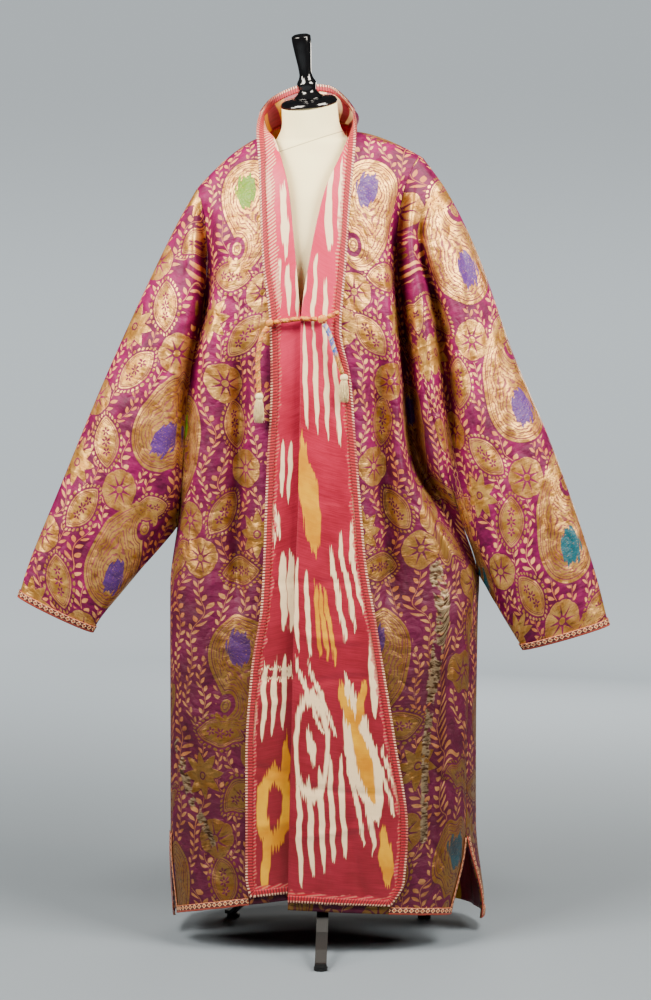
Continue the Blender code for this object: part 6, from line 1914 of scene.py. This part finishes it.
def plain(name, rgb, roughness, speckle=0.0, scale=300.0, **settings):
    """One colour with a faint mottle in Object coordinates, and the shader's own values."""
    made, net, shader = new_material(name, roughness, **settings)
    shader.inputs["Base Color"].default_value = colour(*rgb)
    if speckle:
        place = net.put("ShaderNodeTexCoord").outputs["Object"]
        mottle = net.noise(place, scale, 2.0)
        dark = tuple(v * (1.0 - speckle) for v in colour(*rgb)[:3]) + (1.0,)
        net.give(shader.inputs["Base Color"], net.mix(mottle, dark, colour(*rgb)))
        bump = net.put("ShaderNodeBump")
        bump.inputs["Strength"].default_value = 0.3
        bump.inputs["Distance"].default_value = 0.0004
        net.give(bump.inputs["Height"], mottle)
        net.give(shader.inputs["Normal"], bump.outputs[0])
    return made


BRAID = {name: braid(name) for name in ("ladder", "chain")}
OCHRE_SILK, RED_SILK, ORANGE_SILK = (186, 118, 20), (150, 40, 14), (206, 112, 24)
LILAC_SILK, BLUE_SILK, TAN_SILK, CREAM_SILK = (92, 92, 172), (30, 88, 168), (140, 88, 34), (190, 170, 150)
_band = plies("ochre", OCHRE_SILK, RED_SILK, ORANGE_SILK)
SILK = {name: _band for name in list(CORD_LINES) + ["tie_knot_right", "tie_knot_left"]}
SILK["tie_tail_left"] = plies("lilac", LILAC_SILK, BLUE_SILK, CREAM_SILK, 0.055, (TAN_SILK, OCHRE_SILK,
            TAN_SILK))
SILK["tie_tail_right"] = plies("tan", OCHRE_SILK, TAN_SILK, ORANGE_SILK)
THREAD = plain("cream_thread", (240, 216, 160), 0.7, 0.25, 900.0)
JERSEY = plain("cream_jersey", (252, 240, 186), 0.8, 0.04, 1400.0)


NECK_SEAM_HEIGHT, NECK_SEAM_RISE, NECK_SEAM_HALF = 1.4005, 0.33, 0.0007   # metres; rise across x


def sew_neck():
    """A thin dark seam round the neck: where z is within a millimetre of a slanting plane."""
    net, shader = Net(JERSEY.node_tree), JERSEY.node_tree.nodes["Principled BSDF"]
    x, _, z = net.split(net.put("ShaderNodeTexCoord").outputs["Object"])
    above = net.minus(z, net.plus(NECK_SEAM_HEIGHT, net.times(x, NECK_SEAM_RISE)))
    seam = net.under(net.size(above), NECK_SEAM_HALF, 0.0006)
    before = shader.inputs["Base Color"].links[0].from_socket
    net.give(shader.inputs["Base Color"], net.mix(net.times(seam, 0.7), before, colour(110, 84, 40)))


sew_neck()
GLOSS = plain("black_lacquer", (10, 10, 12), 0.14, Coat_Weight=0.6, Coat_Roughness=0.06)
METAL = plain("black_stand", (9, 9, 10), 0.55, 0.3, 60.0)
print("trims and plain finishes made:", len(BRAID) + 5)

# %% [markdown]
# ## Sewing the cloth pieces
# Each grid becomes a shell that stands for its solid, and each braid becomes a thin shell of its own.

# %% Cloth pieces
CLOTHS = {}
for _side in SIGN:
    _front = FRONT[_side]
    _start = _front[:, 0, 0]
    CLOTHS["front_" + _side] = shell("robe_front_" + _side, _front, flat_sheet(_front, _start),
                                     (BROCADE["front_" + _side], LINING), "front_" + _side,
                                     FRONT_OUT)
    _gore = GORE[_side]
    CLOTHS["gore_" + _side] = shell("robe_gore_" + _side, _gore, flat_sheet(_gore, _gore[:, 0, 0]),
                                    (BROCADE["back"], LINING), "gore_" + _side, SIDE_OUT[_side])
    _revers = REVERS[_side]
    CLOTHS["revers_" + _side] = shell("robe_revers_" + _side, _revers, flat_sheet(_revers, _revers[:, 0,
                0]),
                                      (IKAT[_side], BROCADE["back"]), "revers_" + _side,
                                      FRONT_OUT)
    _across, _down = run_along(_revers, 1), run_along(_revers, 0)
    _from_edge = np.minimum(_across[:, -1:] - _across, _down[-1:] - _down)
    _layer = CLOTHS["revers_" + _side].data.attributes.new("from_edge", "FLOAT", "POINT")
    _layer.data.foreach_set("value", _from_edge.reshape(-1))


def back_flat():
    """The back's flat coordinates, measured both ways from its middle line."""
    middle = BACK.shape[1] // 2
    across = run_along(BACK, 1)
    across = across - across[:, middle:middle + 1]
    down = (1.45 - BACK[:1, :, 2]) + run_along(BACK, 0)
    return np.stack([across, down], axis=-1)


def sleeve_flat(side):
    """A sleeve's flat coordinates: round it from the top ridge, and along its axis.

    The way round leaves out what runs along the axis, so slanting rings still give square
    cloth.  The count round starts anew at the underarm, where the sleeve's seam is.
    """
    grid = SLEEVE[side]
    whole = np.concatenate([grid, grid[:1]])
    middle = grid.mean(axis=0)
    along = (middle[-1] - middle[0]) / np.linalg.norm(middle[-1] - middle[0])
    step = np.diff(whole, axis=0)
    step = step - (step @ along)[..., None] * along
    across = np.zeros(whole.shape[:2])
    across[1:] = np.cumsum(np.linalg.norm(step, axis=-1), axis=0)
    under = ROWS_HIGH + GORE[side].shape[1] // 2 - 2
    across[under + 1:] -= across[-1:]
    down = (whole - middle[0]) @ along
    return np.stack([-SIGN[side] * across, down], axis=-1)


CLOTHS["back_panel"] = shell("robe_back", BACK, back_flat(), (BROCADE["back"], LINING), "back_panel",
                             BACK_OUT)
for _side in SIGN:
    CLOTHS["sleeve_" + _side] = shell("robe_sleeve_" + _side, SLEEVE[_side], sleeve_flat(_side),
                                      (BROCADE["sleeve_" + _side], LINING), "sleeve_" + _side,
                                      FRONT_OUT, closed=True)
# The collar's sheet is set a metre down the cloth, so its lining takes the darker crimson and the painted
# shade of the ikat's lower part: painted shade inside the collar. Its brocade face takes the brocade's
# painted shade towards the hem as well.
_flat = np.stack(np.meshgrid(np.linspace(-0.11, 0.11, COLLAR.shape[1]),
                             np.linspace(1.045, 1.0, COLLAR.shape[0])), axis=-1)
CLOTHS["collar"] = shell("robe_collar", COLLAR, _flat, (BROCADE["back"], LINING), "collar",
                         BACK_OUT)
for _name, (_points, _flat) in STRIPS.items():
    _facing = (BACK_OUT if _name == "braid_back" else
               SIDE_OUT[_name[-5:].strip("_")] if "gore" in _name else FRONT_OUT)
    _ladder = "revers" in _name or "collar" in _name
    _closed = "cuff" in _name
    if _closed:
        _points = _points[:-1] if np.allclose(_points[0], _points[-1]) else _points
    shell("trim_" + _name, _points, _flat, (BRAID["ladder" if _ladder else "chain"],),
                          _name, _facing, wall=BRAID_WALL, closed=_closed)
print("areas in square metres:", {name: round(surface_area(thing), 3) for name, thing in CLOTHS.items()})

# %% [markdown]
# ## The tie
# The cord is three plies twisted round each other: its section has three lobes that turn as the
# cord runs.  Knots are balls with the same plies wrapped round them, and each tassel is a
# bound head with loose threads.

# %% Cords, knots and tassels
def frames_along(line):
    """Directions along a line and two square to it, turned as little as possible."""
    forward = np.gradient(line, axis=0)
    forward /= np.linalg.norm(forward, axis=1, keepdims=True)
    aside = np.zeros_like(line)
    first = np.cross(forward[0], (0.0, 1.0, 0.0))
    aside[0] = first / np.linalg.norm(first)
    for i in range(1, len(line)):
        turned = aside[i - 1] - forward[i] * float(aside[i - 1] @ forward[i])
        aside[i] = turned / np.linalg.norm(turned)
    return forward, aside, np.cross(forward, aside)


def capped_tube(rings):
    """Points and faces of a tube of rings, closed with a point at each end."""
    count, around = rings.shape[:2]
    points = np.concatenate([rings.reshape(-1, 3), rings[0].mean(axis=0)[None],
                rings[-1].mean(axis=0)[None]])
    i, k = np.arange(count - 1)[:, None], np.arange(around)[None, :]
    n = (k + 1) % around
    quads = np.stack([i * around + k, i * around + n, (i + 1) * around + n, (i + 1) * around + k], axis=-1)
    faces = quads.reshape(-1, 4).tolist()
    turn = range(around)
    start, end = count * around, count * around + 1
    last = (count - 1) * around
    faces += [(start, (q + 1) % around, q) for q in turn]
    faces += [(end, last + q, last + (q + 1) % around) for q in turn]
    return points, faces


def tube_uv(faces, count, around, length):
    """Flat coordinates of a capped tube's corners: round it 0 to 1 and along it in metres."""
    values = []
    for face in faces:
        ks = [(q % around) for q in face if q < count * around]
        wraps = max(ks) - min(ks) > 1
        for q in face:
            if q >= count * around:
                values.append((0.5, 0.0 if q == count * around else length))
            else:
                k = q % around
                values.append(((k + (around if wraps and k == 0 else 0)) / around,
                               length * (q // around) / (count - 1)))
    return values


def twisted_cord(name, line, radius, material, node, plies=3, pitch=0.017, around=24):
    """A cord whose section is radius times (0.86 + 0.14 |cos(plies/2 (angle - turn))|)."""
    _, aside, other = frames_along(line)
    run = reaches(line)
    angle = np.linspace(0.0, 2.0 * math.pi, around, endpoint=False)[None, :]
    turn = (2.0 * math.pi * run / pitch)[:, None]
    ends = np.minimum(run, run[-1] - run)[:, None]
    taper = np.sqrt(np.clip(1.0 - (1.0 - np.clip(ends / (0.5 * radius), 0.0, 1.0)) ** 2, 0.15, 1.0))
    lobe = np.abs(np.cos(0.5 * plies * (angle - turn))) ** 0.7
    size = radius * (0.78 + 0.22 * lobe) * taper
    rings = (line[:, None] + aside[:, None] * (size * np.cos(angle))[..., None]
             + other[:, None] * (size * np.sin(angle))[..., None])
    points, faces = capped_tube(rings)
    uv = tube_uv(faces, len(line), around, run[-1])
    return place_mesh(name, points, faces, (material,), node, uv, shift=False)


def wrapped_knot(name, centre, radius, material, node):
    """A ball of wound plies: its radius swells and sinks along slanting turns."""
    rows, around = 36, 48
    down = np.linspace(0.02, math.pi - 0.02, rows)[:, None]
    angle = np.linspace(0.0, 2.0 * math.pi, around, endpoint=False)[None, :]
    wind = np.abs(np.sin(2.5 * angle + 3.2 * np.sin(down + 0.4) + 1.5 * down)) ** 0.8
    size = radius * (0.90 + 0.09 * wind * np.sin(down))
    rings = np.stack([size * np.sin(down) * np.cos(angle),
                      size * np.sin(down) * np.sin(angle) * KNOT_FLAT,
                      size * np.cos(down) + 0.0 * angle], axis=-1) + centre
    points, faces = capped_tube(rings[::-1])
    uv = tube_uv(faces, rows, around, 0.02)
    return place_mesh(name, points, faces, (material,), node, uv, shift=False)


def tassel(name, top, length, material, node, strands=210):
    """A tassel: a bound head, and four-sided threads that spread, wave and end unevenly."""
    rows, around = 22, 28
    down = np.linspace(0.02, math.pi - 0.02, rows)[:, None]
    angle = np.linspace(0.0, 2.0 * math.pi, around, endpoint=False)[None, :]
    rib = 1.0 + 0.05 * np.cos(14.0 * angle) * np.sin(down)
    bind = 1.0 - 0.16 * np.exp(-((down - 2.25) / 0.22) ** 2)
    size = TASSEL_HEAD * rib * bind
    head = np.stack([size * np.sin(down) * np.cos(angle), size * np.sin(down) * np.sin(angle) * TASSEL_DEEP,
                     size * np.cos(down) * TASSEL_TALL + 0.0 * angle], axis=-1) + top
    points, faces = capped_tube(head[::-1])
    points, faces = [points], [list(face) for face in faces]
    start = len(points[0])
    order = np.arange(strands)
    angle = 2.0 * math.pi * (order * 0.618034 % 1.0)
    spread = np.sqrt((order + 0.5) / strands)
    steps = 7
    along_it = np.linspace(0.0, 1.0, steps)[None, :, None]
    out = np.stack([np.cos(angle), 0.8 * np.sin(angle), np.zeros(strands)], axis=-1) * spread[:, None]
    root = top + out * 0.0044 + (0.0, 0.0, -0.0028)
    tip = top + out * (0.0072 + 0.0022 * np.sin(order * 2.3))[:, None]
    tip[:, 2] -= length * (0.86 + 0.13 * np.cos(1.7 * order))
    belly = out * (0.0016 + 0.0010 * np.sin(order * 3.1))[:, None]
    line = root[:, None] + (tip - root)[:, None] * along_it + belly[:, None] * np.sin(math.pi * along_it)
    line[..., 0] += 0.0007 * np.sin(7.0 * along_it[..., 0] + order[:, None] * 1.3) * along_it[..., 0]
    thin = 0.00042 * (1.0 - 0.45 * along_it)
    corner = np.array(((1, 0, 0), (0, 1, 0), (-1, 0, 0), (0, -1, 0)), float)
    tubes = line[:, :, None] + corner * thin[..., None]
    points.append(tubes.reshape(-1, 3))
    base = start + order[:, None, None] * steps * 4
    i, k = np.arange(steps - 1)[None, :, None], np.arange(4)[None, None, :]
    n = (k + 1) % 4
    quads = np.stack([base + i * 4 + k, base + (i + 1) * 4 + k, base + (i + 1) * 4 + n, base + i * 4 + n],
                axis=-1)
    faces += quads.reshape(-1, 4).tolist()
    flat = start + order[:, None] * steps * 4
    faces += (flat + np.array((0, 1, 2, 3))).tolist()
    faces += (flat + (steps - 1) * 4 + np.array((3, 2, 1, 0))).tolist()
    return place_mesh(name, np.concatenate(points), faces, (material,), node, shift=False)


TIE = {name: twisted_cord("cord_" + name, line, CORD_RADIUS, SILK[name], name)
       for name, line in CORD_LINES.items()}
for _side, (_place, _radius) in KNOTS.items():
    TIE["tie_knot_" + _side] = wrapped_knot("wound_knot_" + _side, np.array(_place) + TIE_SHIFT, _radius,
                                            SILK["tie_knot_" + _side], "tie_knot_" + _side)
for _side, _length in TASSEL_LENGTH.items():
    _low, _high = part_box("tassel_" + _side)
    _top = np.array((0.5 * (_low[0] + _high[0]), 0.5 * (_low[1] + _high[1]),
                _high[2] - TASSEL_HEAD * TASSEL_TALL))
    _end = CORD_LINES["tie_tail_" + _side]
    _way = (_end[-1] - _end[-6]) / np.linalg.norm(_end[-1] - _end[-6])
    _top = _end[-1] + _way * (TASSEL_HEAD / np.linalg.norm(_way / (1.0, TASSEL_DEEP,
                TASSEL_TALL)) + TIE_GAP)
    tassel("thread_tassel_" + _side, _top, _length, THREAD, "tassel_" + _side)

# %% [markdown]
# ## The dress form and its stand
# The torso is a stack of ovals, each tipped a little more towards the neck, joined by a smooth
# curve.  A narrow seam in the jersey runs round the base of the neck.

# %% Dress form
FORM_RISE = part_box("form_torso")[0][2] - FORM["z"][0]


def tip_of(left, forward):
    """The turn of a ring that leans by two angles in degrees."""
    return Matrix.Rotation(-math.radians(left), 4, "Y") @ Matrix.Rotation(math.radians(forward), 4, "X")


def torso_grid():
    """The torso's rings: (angle round, height, 3), from ovals tipped towards the neck."""
    rows, around = 150 // FINE, 96 // FINE
    at = np.linspace(FORM["z"][0], FORM["z"][-1], rows)
    ring = {name: along(FORM["z"], values, at) for name, values in FORM.items() if name != "z"}
    angle = np.linspace(0.0, 2.0 * math.pi, around, endpoint=False)
    rings = []
    for i in range(rows):
        turn = np.array(tip_of(ring["lean_left"][i], ring["lean_forward"][i]).to_3x3())
        oval = np.stack([ring["half_width"][i] * np.cos(angle), ring["half_depth"][i] * np.sin(angle),
                         np.zeros(around)], axis=-1)
        rings.append(oval @ turn.T + (ring["x"][i], ring["y"][i], at[i] + FORM_RISE))
    return np.array(rings), at


_rings, _heights = torso_grid()
_outward = _rings - _rings.mean(axis=1, keepdims=True)
_outward /= np.linalg.norm(_outward, axis=2, keepdims=True)
NECK_SEAM = 1.4045            # height of the jersey's neck seam on the form's middle line
_rings = _rings - _outward * (0.0009 * np.exp(-((_heights - NECK_SEAM) / 0.0016) ** 2))[:, None, None]
_points, _faces = capped_tube(_rings)
TORSO = place_mesh("jersey_torso", _points, _faces, (JERSEY,), "form_torso",
                   tube_uv(_faces, _rings.shape[0], _rings.shape[1], _heights[-1] - _heights[0]))


def turned(name, profile, material, place, node, body_slot, around=96):
    """A turned piece: a profile of (radius, height) pairs swept round its axis."""
    profile = np.array(profile)
    inner = profile[profile[:, 0] > 0.0]
    run = reaches(inner)
    at = np.unique(np.concatenate([np.linspace(0.0, run[-1], 90), run]))
    radius, height = along(run, inner[:, 0], at), along(run, inner[:, 1], at)
    angle = np.linspace(0.0, 2.0 * math.pi, around, endpoint=False)
    rings = np.stack([radius[:, None] * np.cos(angle), radius[:, None] * np.sin(angle),
                      height[:, None] + 0.0 * angle], axis=-1)
    turn = np.array(place.to_3x3())
    rings = rings @ turn.T + np.array(place.translation)
    points, faces = capped_tube(rings[::-1])
    return place_mesh(name, points, faces, (material,), node)


_neck = (Matrix.Translation((FORM["x"][-1], FORM["y"][-1], FORM["z"][-1] + FORM_RISE))
         @ tip_of(FORM["lean_left"][-1], FORM["lean_forward"][-1]))
turned("gloss_neck_cap", CAP_PROFILE, GLOSS, _neck @ Matrix.Translation((0.0, 0.0, SEAT_GAP)),
             "neck_cap", "black_wood")
turned("gloss_finial", FINIAL_PROFILE, GLOSS,
                _neck @ Matrix.Translation((0.0, 0.0, CAP_PROFILE[0][1] + 2.0 * SEAT_GAP)),
                "finial", "black_wood", around=64)
for _name in ("pole", "hub", "leg_front", "leg_right", "leg_left", "foot_front", "foot_right", "foot_left"):
    _solid = frame["nodes"][_name] if isinstance(frame,
                dict) and "nodes" in frame else bpy.data.objects[_name]
    for _slot in _solid.material_slots:
        _slot.material = METAL
print("torso raised", round(FORM_RISE * 1000, 2), "mm from its table")

# %% [markdown]

# %% [markdown]
# ## The room and the lights
# A pale floor curves up into a pale wall all round, so the view is plain from every side.
# Two soft lamps stand high in front, two weaker ones at the sides and one behind.

# %% Room and lights
ROOM_GREY = (176, 184, 188)       # the wall's own glow, seen by the camera alone
FLOOR_REACH, CURVE_SIZE, WALL_TOP = 8.0, 3.0, 14.0     # metres: flat floor, its upward curve, the wall
GLOW_FROM, GLOW_FULL = 0.4, 3.8   # metres from the middle: where the floor's glow starts and is full
GLOW_LOW, GLOW_HIGH = 1.50, 1.12  # the glow's strength below and above the band in the next row
BAND_LOW, BAND_HIGH = 0.6, 2.2    # metres up


def make_room():
    """A floor disc that turns up at its rim into a wall: a profile swept round the middle.

    The wall glows to the camera only, a little more low down, so it stays pale from every side and throws no
    light into the folds; the floor near the robe is lit by the lamps and keeps its shadows.
    """
    profile = np.array([(0.0001, 0.0), (0.5, 0.0), (2.0, 0.0), (5.0, 0.0), (FLOOR_REACH, 0.0)]
                       + [(FLOOR_REACH + CURVE_SIZE * math.sin(a), CURVE_SIZE - CURVE_SIZE * math.cos(a))
                          for a in np.linspace(0.08, 0.5 * math.pi, 16)] + [(FLOOR_REACH + CURVE_SIZE,
                                      WALL_TOP)])
    angle = np.linspace(0.0, 2.0 * math.pi, 96, endpoint=False)
    rings = np.stack([profile[:, :1] * np.cos(angle), profile[:, :1] * np.sin(angle),
                      profile[:, 1:] + 0.0 * angle], axis=-1)
    count, around = rings.shape[:2]
    faces = grid_faces(around, count, True)
    mesh = bpy.data.meshes.new("room")
    mesh.from_pydata(rings.transpose(1, 0, 2).reshape(-1, 3).tolist(), [], faces.tolist())
    mesh.polygons.foreach_set("use_smooth", np.ones(len(mesh.polygons), dtype=bool))
    wall, net, shader = new_material("room_paint", 0.85)
    shader.inputs["Base Color"].default_value = colour(128, 138, 148)
    shader.inputs["Specular IOR Level"].default_value = 0.1
    place = net.put("ShaderNodeTexCoord").outputs["Object"]
    away, height = net.vector("LENGTH", place), net.split(place)[2]
    glow = net.times(net.step(away, GLOW_FROM, GLOW_FULL), net.blend(net.step(height, BAND_LOW, BAND_HIGH),
                GLOW_LOW, GLOW_HIGH))
    seen = net.put("ShaderNodeLightPath").outputs["Is Camera Ray"]
    shader.inputs["Emission Color"].default_value = colour(*ROOM_GREY)
    net.give(shader.inputs["Emission Strength"],
             net.times(seen, glow))
    mesh.materials.append(wall)
    room = bpy.data.objects.new("room", mesh)
    room.location = (0.0, 0.0, -0.0004)
    bpy.context.scene.collection.objects.link(room)


def lamp(name, place, toward, size, power, tint=(1.0, 1.0, 1.0)):
    """A square soft lamp at a place, turned to face another."""
    data = bpy.data.lights.new(name, "AREA")
    data.shape = "RECTANGLE"
    data.size, data.size_y = size
    data.energy = power
    data.color = tint
    thing = bpy.data.objects.new(name, data)
    way = Vector(toward) - Vector(place)
    thing.location = place
    thing.rotation_euler = way.to_track_quat("-Z", "Y").to_euler()
    thing.visible_camera = False
    bpy.context.scene.collection.objects.link(thing)
    return thing


make_room()
WARM = (1.0, 0.93, 0.82)
LAMPS = (
    lamp("key_left", (-1.05, -0.95, 2.25), (0.0, 0.0, 1.25), (0.9, 0.9), 88.0, WARM),
    lamp("key_right", (1.13, -0.91, 2.25), (0.0, 0.0, 1.25), (0.9, 0.9), 88.0, WARM),
    lamp("side_left", (-2.3, -0.9, 1.7), (-0.3, 0.0, 1.1), (0.8, 0.8), 46.0, WARM),
    lamp("side_right", (2.3, -0.9, 1.7), (0.3, 0.0, 1.1), (0.8, 0.8), 46.0, WARM),
    lamp("behind", (0.7, 2.6, 1.15), (0.0, 0.0, 0.85), (1.6, 1.2), 46.0, WARM),
)
WORLD = bpy.data.worlds.new("room_air")
WORLD.use_nodes = True
WORLD.node_tree.nodes["Background"].inputs[0].default_value = (0.86, 0.91, 0.95, 1.0)
WORLD.node_tree.nodes["Background"].inputs[1].default_value = 0.035
bpy.context.scene.world = WORLD
print("lamps:", [light.name for light in LAMPS])
